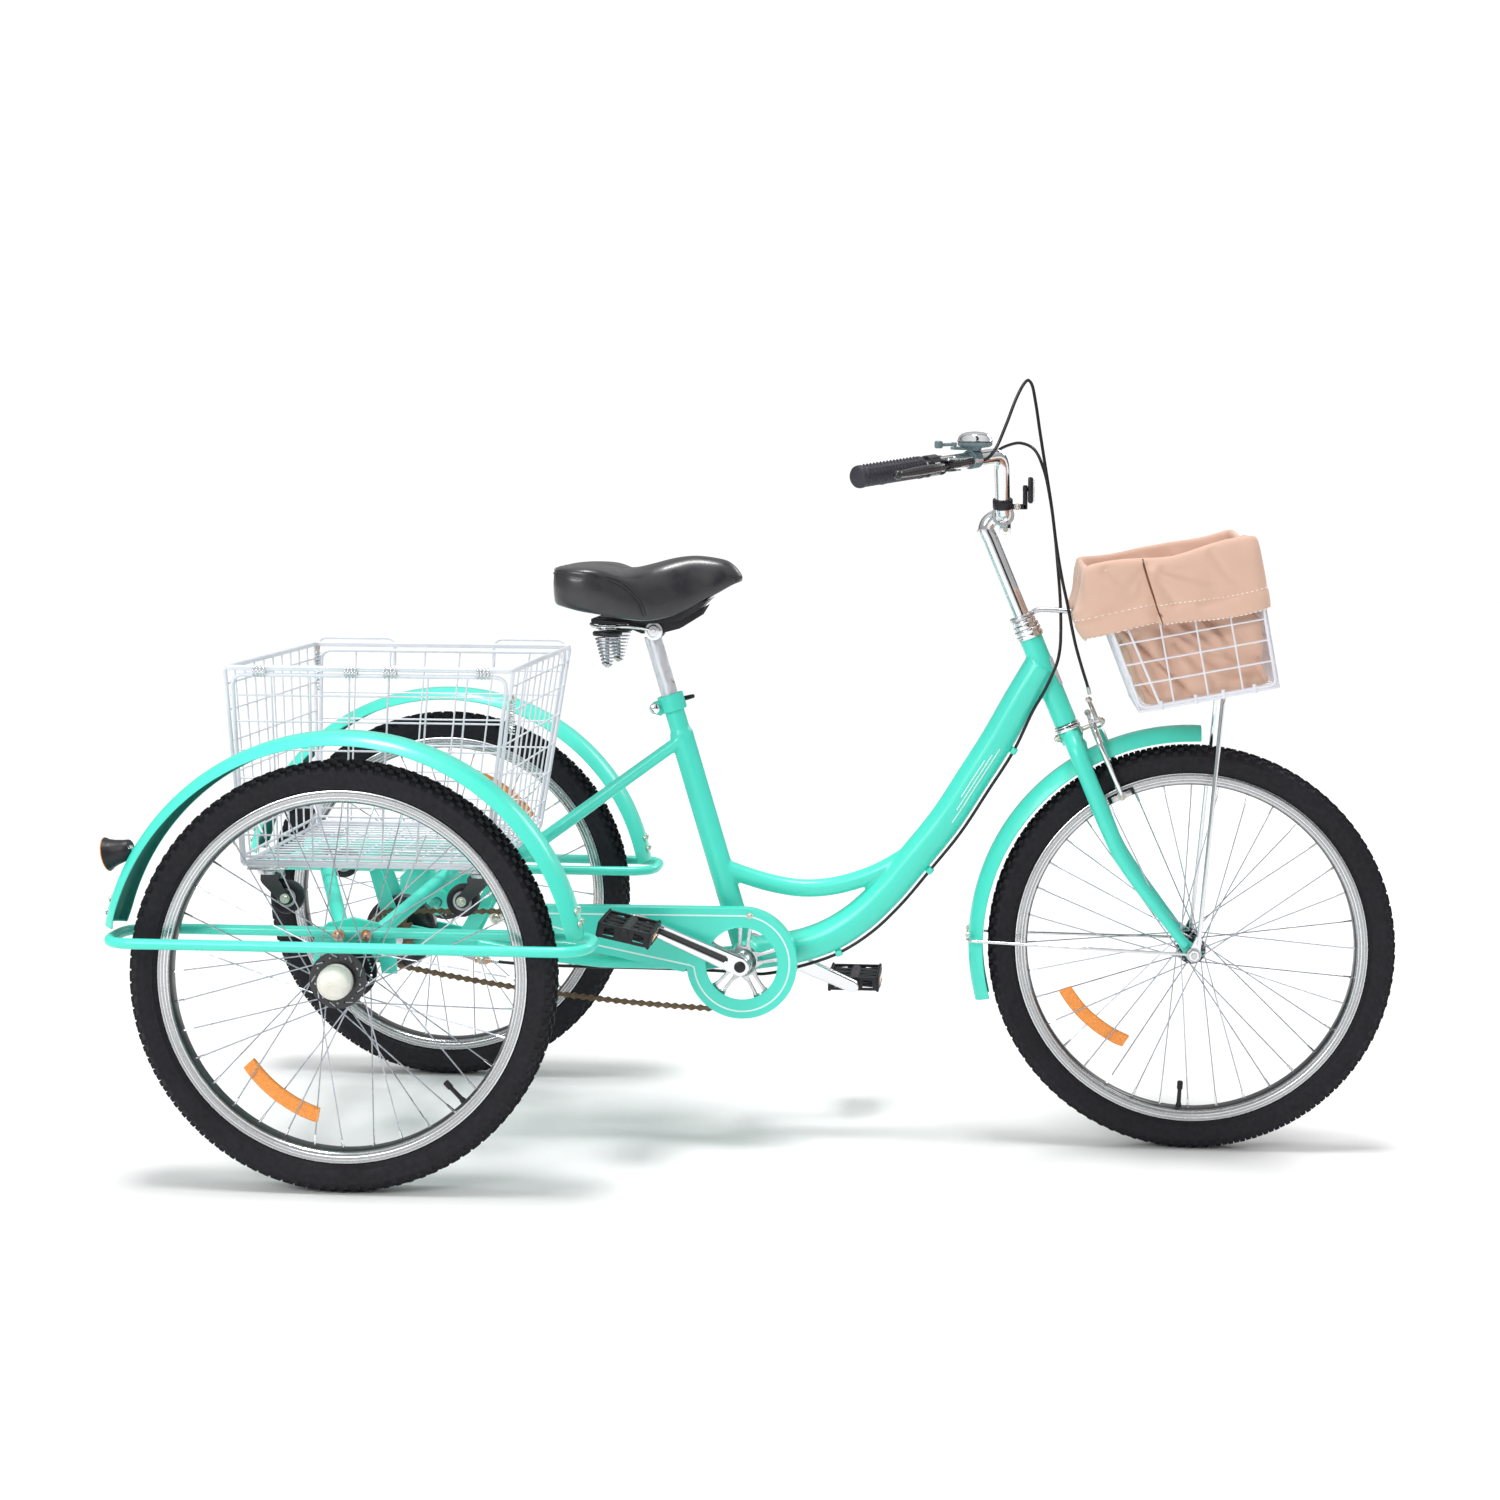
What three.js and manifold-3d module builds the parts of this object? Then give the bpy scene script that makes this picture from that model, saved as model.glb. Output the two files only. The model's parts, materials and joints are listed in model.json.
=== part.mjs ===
// Adult tricycle: one driven front-steered frame, two rear wheels, a wire trolley basket on
// casters behind the saddle and a wire basket with a fabric liner over the front wheel.
// Millimetres, +X forward, +Y to the rider's left, +Z up.
import * as THREE from 'three';
import { mergeVertices } from 'three/addons/utils/BufferGeometryUtils.js';
import Module from 'manifold-3d';

const wasm = await Module();
wasm.setup();

// ---------------------------------------------------------------- driving dimensions
const gap = 0.3; // left between pieces that touch
const wheelRadius = 303; // 24 x 1.95 inch tyre, to the tread
const wheelbase = 1200;
const trackHalf = 318; // mid-plane to the rear tyres
const tyreHalfWidth = 25;
const rimOuterRadius = 260;
const rimInnerRadius = 243;
const rimHalfWidth = 15;
const wheelFacets = 36;
const spokeCount = 18; // each stands for two of the 36 real spokes
const spokeRadius = 1.2;
const axleRadius = 7.5; // rear drive axle
const axleBore = 8.2;
const capEnd = 385; // outermost face of the rear hub caps

const headAngle = THREE.MathUtils.degToRad(22.7); // steering axis from the vertical
const headBase = [1012, 634]; // x, z of the head tube's lower end
const headTubeLength = 143;
const headsetTop = 169.5; // along the steering axis, from the head tube's lower end
const steererRadius = 12.7;

const crankCentre = [532, 277]; // x, z
const crankLength = 170;
const crankAngle = THREE.MathUtils.degToRad(157.2); // right arm, from +X towards +Z
const seatAngle = THREE.MathUtils.degToRad(16.8); // seat tube from the vertical
const seatTubeLength = 412;
const seatPostRadius = 12.7;
const seatPostInsert = 160;
const saddleClampLength = 105; // seat tube top to the saddle clamp, along the tube

const chainY = -55;
const chainHalfWidth = 4;
const chainringPitchRadius = 72.8; // 36 teeth at 12.7 mm
const sprocketPitchRadius = 40.4; // 20 teeth at 12.7 mm
const chainHalfHeight = 4;

const loopHeight = 353; // wheel guard loops above the ground
const loopTubeRadius = 7.5;
const rearTip = -344; // rear end of the tail light
const frontTip = wheelbase + wheelRadius;

const rearBasket = {
  top: { x0: -201, x1: 220, y: 225, z: 728 },
  bottom: { x0: -186, x1: 177, y: 190, z: 430 },
  wall: 4,
};
const caster = { x: 157, y: 150, trail: 26, wheelRadius: 24, wheelZ: 380, plateZ: 422 };

// Front basket: local frame at its rear top edge, nose raised by the tilt.
const frontBasket = {
  origin: [1036, 0, 868],
  tilt: THREE.MathUtils.degToRad(11),
  top: { x0: 0, x1: 240, y: 165 },
  bottom: { x0: 38, x1: 240, y: 135 },
  depth: 212,
  wall: 4,
  flap: 92,
  fabric: 3,
};

// ---------------------------------------------------------------- materials
function finish(color, roughness, metalness) {
  return new THREE.MeshStandardMaterial({ color, roughness, metalness });
}
const mint = finish(0x3fe3c6, 0.32, 0);
const chrome = finish(0xd8dadd, 0.12, 1);
const silver = finish(0xc9ccd0, 0.3, 1);
const rubber = finish(0x17161a, 0.75, 0);
const blackPlastic = finish(0x1b1a1d, 0.45, 0);
const blackPaint = finish(0x141316, 0.35, 0);
const whiteWire = finish(0xeeeff3, 0.35, 0);
const beigeFabric = finish(0xf0bf9c, 0.9, 0);
const blackLeather = finish(0x1d1a22, 0.45, 0);
const chainSteel = finish(0x4a3f33, 0.4, 0.9);
const cream = finish(0xe9e4da, 0.4, 0);
const redLens = finish(0xd8431c, 0.25, 0);

// ---------------------------------------------------------------- solids
const v = (x, y, z) => new THREE.Vector3(x, y, z);
const yAxis = v(0, 1, 0);

/** A closed three.js geometry as a solid with its faces pointing out. */
function solid(geometry, matrix = new THREE.Matrix4()) {
  geometry.deleteAttribute('normal');
  geometry.deleteAttribute('uv');
  const merged = mergeVertices(geometry, 1e-3).applyMatrix4(matrix);
  const positions = merged.attributes.position;
  const corners = [];
  let volume = 0;
  const [a, b, c] = [v(), v(), v()];
  for (let i = 0; i < merged.index.count; i += 3) {
    const tri = [0, 1, 2].map((k) => merged.index.getX(i + k));
    if (tri[0] === tri[1] || tri[1] === tri[2] || tri[2] === tri[0]) continue;
    [a, b, c].forEach((p, k) => p.fromBufferAttribute(positions, tri[k]));
    volume += a.dot(b.cross(c));
    corners.push(tri);
  }
  if (volume < 0) corners.forEach((tri) => tri.reverse());
  const mesh = new wasm.Mesh({
    numProp: 3,
    vertProperties: new Float32Array(positions.array),
    triVerts: new Uint32Array(corners.flat()),
  });
  return new wasm.Manifold(mesh);
}

function surfaceOf(shape) {
  const { vertProperties, triVerts } = shape.getMesh();
  const geometry = new THREE.BufferGeometry();
  geometry.setAttribute('position', new THREE.BufferAttribute(new Float32Array(vertProperties), 3));
  geometry.setIndex(new THREE.BufferAttribute(new Uint32Array(triVerts), 1));
  return geometry;
}

/** The same solid moved by a matrix. */
function placed(shape, matrix) {
  return solid(surfaceOf(shape), matrix);
}

function join(...solids) {
  return solids.reduce((whole, piece) => whole.add(piece));
}

function cut(whole, ...tools) {
  return tools.reduce((left, tool) => left.subtract(tool), whole);
}

/** A box from one corner to the opposite one; each pair may be in either order. */
function box(xs, ys, zs) {
  const [width, depth, height] = [xs, ys, zs].map(([a, b]) => Math.abs(b - a));
  const geometry = new THREE.BoxGeometry(width, depth, height);
  geometry.translate((xs[0] + xs[1]) / 2, (ys[0] + ys[1]) / 2, (zs[0] + zs[1]) / 2);
  return solid(geometry);
}

/** A box whose upper and lower rectangles differ, such as a basket's outline. */
function taperedBox(lower, upper, z0, z1, matrix) {
  const geometry = new THREE.BoxGeometry(1, 1, 1);
  const positions = geometry.attributes.position;
  for (let i = 0; i < positions.count; i += 1) {
    const high = positions.getZ(i) > 0;
    const face = high ? upper : lower;
    const x = positions.getX(i) > 0 ? face.x1 : face.x0;
    const y = positions.getY(i) > 0 ? face.y : -face.y;
    positions.setXYZ(i, x, y, high ? z1 : z0);
  }
  return solid(geometry, matrix);
}

/** Turns +Y to a direction and moves the origin to a point. */
function along(origin, direction) {
  const turn = new THREE.Quaternion().setFromUnitVectors(yAxis, direction.clone().normalize());
  return new THREE.Matrix4().compose(origin, turn, v(1, 1, 1));
}

/** A round bar or cone between two points. */
function rod(from, to, radius, sides = 8, endRadius = radius) {
  const length = from.distanceTo(to);
  const geometry = new THREE.CylinderGeometry(endRadius, radius, length, sides);
  geometry.translate(0, length / 2, 0);
  return solid(geometry, along(from, to.clone().sub(from)));
}

/** A round bar across the tricycle at a place [x, z]. */
function crossRod([x, z], y0, y1, radius, sides = 12, endRadius = radius) {
  return rod(v(x, y0, z), v(x, y1, z), radius, sides, endRadius);
}

/** A turned piece: its profile is [radius, distance along the axis], closed on itself or on the axis. */
function turned(profile, origin, direction = yAxis, sides = 24, startAngle = 0) {
  const points = profile.map(([radius, distance]) => new THREE.Vector2(radius, distance));
  const geometry = new THREE.LatheGeometry(points, sides);
  geometry.rotateY(startAngle);
  return solid(geometry, along(origin, direction));
}

function ring(outer, inner, from, to, origin, direction, sides = 24) {
  const profile = [[inner, from], [outer, from], [outer, to], [inner, to], [inner, from]];
  return turned(profile, origin, direction, sides);
}

function ball(centre, radius) {
  const geometry = new THREE.SphereGeometry(radius, 8, 5);
  geometry.translate(centre.x, centre.y, centre.z);
  return solid(geometry);
}

/** A path that visits its points one by one. */
class Route extends THREE.Curve {
  constructor(points) {
    super();
    this.points = points;
  }

  getPoint(t, target = v()) {
    const place = t * (this.points.length - 1);
    const i = Math.min(Math.floor(place + 1e-6), this.points.length - 2);
    return target.lerpVectors(this.points[i], this.points[i + 1], place - i);
  }

  getPointAt(t, target) {
    return this.getPoint(t, target);
  }

  getTangentAt(t, target = v()) {
    const last = this.points.length - 1;
    const i = Math.round(t * last);
    const before = this.points[Math.max(i - 1, 0)];
    const after = this.points[Math.min(i + 1, last)];
    const here = this.points[i];
    if (i > 0) target.add(here.clone().sub(before).normalize());
    if (i < last) target.add(after.clone().sub(here).normalize());
    return target.normalize();
  }
}

/** Sweeps a closed outline along points; radiusAt scales it along the way. */
function sweep(points, outline, radiusAt = null) {
  const steps = points.length - 1;
  const settings = { steps, extrudePath: new Route(points), bevelEnabled: false };
  const geometry = new THREE.ExtrudeGeometry(new THREE.Shape(outline), settings);
  if (radiusAt) {
    const place = v();
    const positions = geometry.attributes.position;
    for (let i = 0; i < positions.count; i += 1) {
      place.fromBufferAttribute(positions, i);
      const distances = points.map((point) => point.distanceTo(place));
      const nearest = distances.indexOf(Math.min(...distances));
      place.sub(points[nearest]).multiplyScalar(radiusAt(nearest / steps)).add(points[nearest]);
      positions.setXYZ(i, place.x, place.y, place.z);
    }
  }
  return solid(geometry);
}

function circleOutline(radius, sides) {
  const outline = [];
  for (let i = 0; i < sides; i += 1) {
    const angle = (2 * Math.PI * (i + 0.5)) / sides;
    outline.push(new THREE.Vector2(radius * Math.cos(angle), radius * Math.sin(angle)));
  }
  return outline;
}

function tube(points, radius, sides = 8, radiusAt = null) {
  return sweep(points, circleOutline(radius, sides), radiusAt);
}

/** A smooth line through a few points, as a list of evenly spaced points. */
function smooth(points, steps) {
  return new THREE.CatmullRomCurve3(points, false, 'centripetal').getSpacedPoints(steps);
}

/** A bent bar's centre line: straight runs with round bends at the inner points. */
function bent(points, radii, steps = 4) {
  const path = [points[0]];
  for (let i = 1; i < points.length - 1; i += 1) {
    const back = points[i - 1].clone().sub(points[i]).normalize();
    const ahead = points[i + 1].clone().sub(points[i]).normalize();
    const half = back.angleTo(ahead) / 2;
    const setback = radii[i - 1] / Math.tan(half);
    const start = points[i].clone().addScaledVector(back, setback);
    const end = points[i].clone().addScaledVector(ahead, setback);
    const bend = new THREE.QuadraticBezierCurve3(start, points[i], end);
    path.push(...bend.getPoints(steps));
  }
  path.push(points[points.length - 1]);
  return path;
}

/** A flat plate cut from an outline in the XZ plane, between two values of y in either order. */
function plate(shape, y0, y1, curveSegments = 3) {
  const depth = Math.abs(y1 - y0);
  const geometry = new THREE.ExtrudeGeometry(shape, { depth, bevelEnabled: false, curveSegments });
  geometry.rotateX(Math.PI / 2);
  geometry.translate(0, Math.max(y0, y1), 0);
  return solid(geometry);
}

function polygon(points) {
  return new THREE.Shape(points.map(([x, z]) => new THREE.Vector2(x, z)));
}

/** A link's outline: two round ends joined by straight sides. */
function linkOutline(from, to, fromRadius, toRadius) {
  const shape = new THREE.Shape();
  const heading = Math.atan2(to[1] - from[1], to[0] - from[0]);
  const quarter = Math.PI / 2;
  shape.absarc(from[0], from[1], fromRadius, heading + quarter, heading + 3 * quarter, false);
  shape.absarc(to[0], to[1], toRadius, heading - quarter, heading + quarter, false);
  return shape;
}

// ---------------------------------------------------------------- the tricycle
const tricycle = new THREE.Group();
tricycle.position.x = -(rearTip + frontTip) / 2;

function addPart(name, shape, material) {
  const geometry = surfaceOf(shape);
  geometry.computeVertexNormals();
  const mesh = new THREE.Mesh(geometry, material);
  mesh.name = name;
  tricycle.add(mesh);
}

const headUp = v(-Math.sin(headAngle), 0, Math.cos(headAngle));
const headForward = v(Math.cos(headAngle), 0, Math.sin(headAngle));
const seatUp = v(-Math.sin(seatAngle), 0, Math.cos(seatAngle));
const steeringOrigin = v(headBase[0], 0, headBase[1]);
const crankOrigin = v(crankCentre[0], 0, crankCentre[1]);

/** A point on the steering axis, with an offset forward of it and to the left. */
function headPoint(up, forward = 0, left = 0) {
  const onAxis = steeringOrigin.clone().addScaledVector(headUp, up);
  return onAxis.addScaledVector(headForward, forward).add(v(0, left, 0));
}

function seatPoint(up) {
  return crankOrigin.clone().addScaledVector(seatUp, up);
}

// ---- front frame
const downTubeLine = [
  v(974, 0, 722), v(943, 0, 669), v(909, 0, 608), v(871, 0, 547), v(832, 0, 486), v(787, 0, 429),
  v(745, 0, 378), v(704, 0, 338), v(660, 0, 309), v(612, 0, 291), v(532, 0, 277),
];
const lowTubeLine = [
  v(487, 0, 412), v(536, 0, 395), v(574, 0, 385), v(612, 0, 379.5), v(650, 0, 381), v(690, 0, 390),
  v(734, 0, 407), v(784, 0, 437),
];

function mainFrame() {
  const headTube = rod(headPoint(0), headPoint(headTubeLength), 17.5, 12);
  const upperCup = rod(headPoint(headTubeLength - 1), headPoint(headsetTop), 20, 12);
  const downTube = tube(downTubeLine, 25, 10);
  const lowTube = tube(lowTubeLine, 13.5, 8);
  const seatTube = rod(crankOrigin, seatPoint(355), 18, 12);
  const seatNeck = rod(seatPoint(340), seatPoint(seatTubeLength), 15, 12);
  const crankShell = crossRod(crankCentre, -34, 34, 21, 12);
  const stays = [-1, 1].flatMap((side) => [chainStay(side), seatStay(side)]);
  const whole = join(headTube, upperCup, downTube, lowTube, seatTube, seatNeck, crankShell, ...stays);
  return cut(
    whole,
    rod(headPoint(-2), headPoint(headsetTop + 2), steererRadius + 1, 12),
    rod(seatPoint(seatTubeLength - 235), seatPoint(seatTubeLength + 2), seatPostRadius + 0.9, 12),
    crossRod(crankCentre, -40, 40, 9, 12),
  );
}

function chainStay(side) {
  const y = 34 * side;
  const line = [v(520, y * 0.7, 275), v(480, y, 269), v(314, y, 269), v(160, y, 284), v(125, y, 290)];
  const flattened = plate(linkOutline([26, 291], [150, 287], 11, 9), 31.4 * side, 37 * side);
  return join(tube(line, 10, 8), flattened);
}

const seatStayLine = [[432, 9, 603], [362, 23, 552], [270, 38, 484], [196, 45, 430]];

function seatStay(side) {
  return tube(seatStayLine.map(([x, y, z]) => v(x, y * side, z)), 9.5, 8);
}

// ---- rear carriage, which holds the axle, the rack and the wheel loops
const rackHeight = 419;
const rackRailY = 88;
const rearAxle = [0, wheelRadius];

function outerPlate(side) {
  const shape = polygon([
    [-66, 290], [-44, 290], [-36, 312], [-14, 284], [14, 284], [30, 312], [34, 290], [56, 290],
    [54, 342], [30, 362], [-8, 370], [-44, 362], [-64, 342],
  ]);
  return plate(shape, 238 * side, 244 * side);
}

function diagonalTubes(side) {
  const rear = tube([v(-25, 239 * side, 352), v(-92, rackRailY * side, rackHeight)], 11, 8);
  const front = tube([v(30, 239 * side, 350), v(108, rackRailY * side, rackHeight)], 11, 8);
  return join(rear, front);
}

function centrePlate(side) {
  const links = [
    linkOutline(rearAxle, [110, 291], 18, 10),
    linkOutline([104, 297], [170, rackHeight], 12, 8),
    linkOutline(rearAxle, [-40, rackHeight], 14, 8),
  ];
  return join(...links.map((outline) => plate(outline, 25.5 * side, 31 * side)));
}

function rearCarriage() {
  const crossTubes = [[-152, rackRailY], [-40, rackRailY], [172, 95]].map(([x, reach]) =>
    rod(v(x, -reach, rackHeight), v(x, reach, rackHeight), 9, 8),
  );
  const rails = [-1, 1].map((side) =>
    rod(v(-178, rackRailY * side, rackHeight), v(190, rackRailY * side, rackHeight), 8, 8),
  );
  const sides = [-1, 1].flatMap((side) => [
    outerPlate(side),
    crossRod(rearAxle, 226 * side, 252 * side, 21),
    diagonalTubes(side),
    centrePlate(side),
  ]);
  const whole = join(...crossTubes, ...rails, ...sides);
  const axleHole = crossRod(rearAxle, -260, 260, axleBore);
  const stayEnd = [...seatStayLine.slice(2), [188, 45.9, 424]];
  const stayRoom = [-1, 1].map((side) => tube(stayEnd.map(([x, y, z]) => v(x, y * side, z)), 10.3, 8));
  return cut(whole, axleHole, ...stayRoom);
}

// ---- wheel guard loops and rear fenders
function wheelLoop(side) {
  const [inner, outer, front, rear] = [265 * side, 373 * side, 350, -326];
  const corners = [
    [-10, inner], [rear, inner], [rear, outer], [front, outer], [front, inner], [-6, inner],
  ];
  const line = corners.map(([x, y]) => v(x, y, loopHeight));
  const loop = tube(bent(line, [45, 45, 45, 45], 3), loopTubeRadius, 8);
  const sleeve = rod(v(-30, inner, loopHeight), v(14, inner, loopHeight), loopTubeRadius + 0.8, 12);
  const lug = box([-46, 34], [247 * side, 261 * side], [338, 356]);
  return join(loop, sleeve, lug);
}

const fenderThickness = 2;

/** A fender blade's section: a shallow channel that opens towards the wheel. */
function fenderOutline(halfWidth, skirt) {
  const t = fenderThickness;
  const points = [
    [-halfWidth, -skirt], [-halfWidth + 6, 0], [halfWidth - 6, 0], [halfWidth, -skirt],
    [halfWidth - t, -skirt], [halfWidth - 6 - t, -t], [-halfWidth + 6 + t, -t], [-halfWidth + t, -skirt],
  ];
  return points.map(([across, out]) => new THREE.Vector2(across, out));
}

function arcPoints(centre, radius, fromDegrees, toDegrees, steps) {
  const points = [];
  for (let i = 0; i <= steps; i += 1) {
    const angle = THREE.MathUtils.degToRad(fromDegrees + ((toDegrees - fromDegrees) * i) / steps);
    points.push(v(centre.x + radius * Math.cos(angle), centre.y, centre.z + radius * Math.sin(angle)));
  }
  return points;
}

function rearFender(side) {
  const line = arcPoints(v(0, trackHalf * side, wheelRadius), 344, 10.5, 168.5, 16);
  return sweep(line, fenderOutline(36, 16));
}

function tailLight() {
  const y = -trackHalf;
  const tilt = THREE.MathUtils.degToRad(13);
  const rearward = v(-Math.cos(tilt), 0, -Math.sin(tilt));
  const lensRadius = 22;
  const face = v(rearTip + lensRadius * Math.sin(tilt), y, 467);
  const rim = face.clone().addScaledVector(rearward, -2.4);
  const root = face.clone().addScaledVector(rearward, -33);
  const housing = rod(root, rim, 11, 12, 24);
  return join(housing, rod(rim, face, 24, 12, lensRadius));
}

// ---- wheels
const facetTurn = Math.PI / wheelFacets; // sets a flat of each wheel on the ground

function tyre(centre) {
  const tread = wheelRadius / Math.cos(facetTurn);
  const half = tyreHalfWidth;
  const profile = [
    [rimOuterRadius + 0.5, -14], [272, -half + 2], [290, -half + 1], [tread, -14],
    [tread, 14], [290, half - 1], [272, half - 2], [rimOuterRadius + 0.5, 14], [rimOuterRadius + 0.5, -14],
  ];
  return turned(profile, centre, yAxis, wheelFacets, facetTurn);
}

function rim(centre) {
  const profile = [
    [rimInnerRadius, -10], [rimOuterRadius, -rimHalfWidth], [rimOuterRadius, rimHalfWidth],
    [rimInnerRadius, 10], [rimInnerRadius, -10],
  ];
  return turned(profile, centre, yAxis, wheelFacets, facetTurn);
}

/** Spokes crossed three times, alternating between the two flanges and between leading and trailing. */
function spokes(centre, flangeRadius, flangeY) {
  const crossing = THREE.MathUtils.degToRad(60);
  const end = rimInnerRadius - 1.8;
  const wires = [];
  for (let i = 0; i < spokeCount; i += 1) {
    const rimAngle = (2 * Math.PI * i) / spokeCount;
    const flangeSide = i % 2 === 0 ? 1 : -1;
    const leading = i % 4 < 2 ? 1 : -1;
    const hubAngle = rimAngle + leading * crossing;
    const y = flangeY * flangeSide + 1.6 * leading;
    const from = v(flangeRadius * Math.cos(hubAngle), y, flangeRadius * Math.sin(hubAngle)).add(centre);
    const to = v(end * Math.cos(rimAngle), 1.5 * flangeSide, end * Math.sin(rimAngle)).add(centre);
    wires.push(rod(from, to, spokeRadius, 3));
  }
  return wires;
}

function frontHub() {
  const centre = v(wheelbase, 0, wheelRadius);
  const shell = turned(
    [[5.2, -46], [10, -46], [10, -31], [21, -31], [21, -26], [12, -26], [12, 26], [21, 26], [21, 31],
      [10, 31], [10, 46], [5.2, 46], [5.2, -46]],
    centre, yAxis, 12,
  );
  return join(shell, ...spokes(centre, 18, 28.5));
}

/** A rear hub with its domed cap; the axle ends inside it. */
function rearHub(side) {
  const centre = v(0, trackHalf * side, wheelRadius);
  const cap = capEnd - trackHalf;
  const shell = turned(
    [[8.2, -36], [16, -36], [18, -31], [40, -31], [40, -26], [20, -26], [20, 26], [40, 26], [40, 31],
      [24, 31], [24, cap - 12], [14, cap - 2], [0, cap], [0, 56], [8.2, 56], [8.2, -36]],
    centre, v(0, side, 0), 14,
  );
  return join(shell, ...spokes(centre, 32, 28.5));
}

function driveAxle() {
  const end = trackHalf + 55;
  const shaft = crossRod(rearAxle, -end, end, axleRadius);
  const sprocket = crossRod(rearAxle, chainY - 1.5, chainY + 1.5, 35.4, 24);
  const boss = crossRod(rearAxle, chainY - 12, chainY + 12, 19);
  return join(shaft, sprocket, boss);
}

// ---- band brake on the axle
function bandBrake() {
  const origin = v(0, 0, wheelRadius);
  const drum = turned(
    [[axleBore, -14], [46, -14], [54, -10], [54, 16], [46, 20], [axleBore, 20], [axleBore, -14]],
    origin, yAxis, 18,
  );
  const arm = plate(linkOutline([40, 290], [128, 257], 9, 7), 8, 13);
  return join(drum, arm);
}

// ---- cranks, pedals, chain and guard
function armEnd(side) {
  const angle = crankAngle + (side > 0 ? Math.PI : 0);
  const x = crankCentre[0] + crankLength * Math.cos(angle);
  const z = crankCentre[1] + crankLength * Math.sin(angle);
  return [x, z];
}

function crankArm(side) {
  const end = armEnd(side);
  const arm = plate(linkOutline(crankCentre, end, 15, 11), 82 * side, 94 * side);
  const pin = crossRod(end, 90 * side, 196 * side, 4.5, 10);
  return join(arm, pin);
}

function rightCrank() {
  const [x, z] = crankCentre;
  const chainring = ring(67.4, 57, chainY - 2, chainY + 2, crankOrigin, yAxis, 26);
  const arms = [];
  for (let i = 0; i < 5; i += 1) {
    const angle = crankAngle + (2 * Math.PI * i) / 5;
    const tip = [x + 60 * Math.cos(angle), z + 60 * Math.sin(angle)];
    arms.push(plate(linkOutline(crankCentre, tip, 13, 8), chainY - 5, chainY - 1, 2));
  }
  const boss = crossRod(crankCentre, chainY - 1, -84, 16, 10);
  const socket = crossRod(crankCentre, chainY + 1, -75, 8.6);
  return cut(join(crankArm(-1), chainring, ...arms, boss), socket);
}

function leftCrank() {
  return join(crankArm(1), crossRod(crankCentre, -74.5, 84, 8));
}

function pedal(side, tilt) {
  const end = armEnd(side);
  const [near, far] = [104 * side, 202 * side].sort((a, b) => a - b);
  const [halfLong, halfHigh, wall] = [40, 12, 4];
  const cage = cut(
    box([-halfLong, halfLong], [near, far], [-halfHigh, halfHigh]),
    box([-halfLong + wall, halfLong - wall], [near + 5, far - 5], [-halfHigh - 1, halfHigh + 1]),
  );
  const barrel = rod(v(0, near, 0), v(0, far, 0), 11, 10);
  const ribs = [-22, 22].map((shift) => {
    const middle = 153 * side + shift;
    return box([-halfLong, halfLong], [middle - 3, middle + 3], [-8, 8]);
  });
  const inward = side > 0 ? near - 1 : far + 1;
  const bore = rod(v(0, inward, 0), v(0, 197.5 * side, 0), 5, 10);
  const whole = cut(join(cage, barrel, ...ribs), bore);
  const angle = THREE.MathUtils.degToRad(tilt);
  return placed(whole, new THREE.Matrix4().makeRotationY(angle).setPosition(end[0], 0, end[1]));
}

/** The chain's two runs and its wraps, as one flat closed band. */
function driveChain() {
  const rear = rearAxle;
  const front = crankCentre;
  const sag = 12;
  const loopShape = (offset) => {
    const shape = new THREE.Shape();
    const r0 = sprocketPitchRadius + offset;
    const r1 = chainringPitchRadius + offset;
    const quarter = Math.PI / 2;
    shape.absarc(front[0], front[1], r1, -quarter, quarter, false);
    shape.absarc(rear[0], rear[1], r0, quarter, 3 * quarter, false);
    const middle = [(rear[0] + front[0]) / 2, (rear[1] - r0 + front[1] - r1) / 2 - sag * 2];
    shape.quadraticCurveTo(middle[0], middle[1], front[0], front[1] - r1);
    return shape;
  };
  const band = loopShape(chainHalfHeight);
  band.holes.push(loopShape(-chainHalfHeight));
  return plate(band, chainY - chainHalfWidth, chainY + chainHalfWidth, 9);
}

function guardOutline(inset) {
  const [x, z] = crankCentre;
  const radius = 83 - inset;
  const shape = new THREE.Shape();
  shape.moveTo(198, 358 - inset);
  shape.lineTo(198, 328);
  shape.lineTo(262, 312);
  shape.lineTo(300, 292);
  shape.lineTo(446, 262);
  shape.absarc(x, z, radius, Math.PI * 1.03, Math.PI * 2.5, false);
  return shape;
}

function chainGuard() {
  const [x, z] = crankCentre;
  const face = guardOutline(0);
  face.holes.push(new THREE.Path().absarc(x, z, 54, 0, 2 * Math.PI, true));
  const skin = plate(face, -70, -67.5, 9);
  const rimBand = cut(plate(guardOutline(0), -68, -46, 9), plate(guardOutline(2), -69, -45, 9));
  const above = box([198, 700], [-80, -40], [z + 40, 400]);
  const ahead = box([x + 20, 700], [-80, -40], [190, 400]);
  return join(skin, rimBand.intersect(join(above, ahead)));
}

// ---- fork, stem and handlebar
const frontWheelAxle = [wheelbase, wheelRadius];

function bladeLine(side) {
  return [
    headPoint(-17, 0, 4 * side), headPoint(-25, 0, 24 * side), headPoint(-38, 0, 37 * side),
    headPoint(-60, 0, 43 * side), headPoint(-110, 0, 45 * side), headPoint(-160, 0, 47 * side),
    v(1091, 49 * side, 448), v(1115, 51 * side, 411), v(1148, 53 * side, 367), v(1190, 55 * side, 313),
  ];
}

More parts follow.
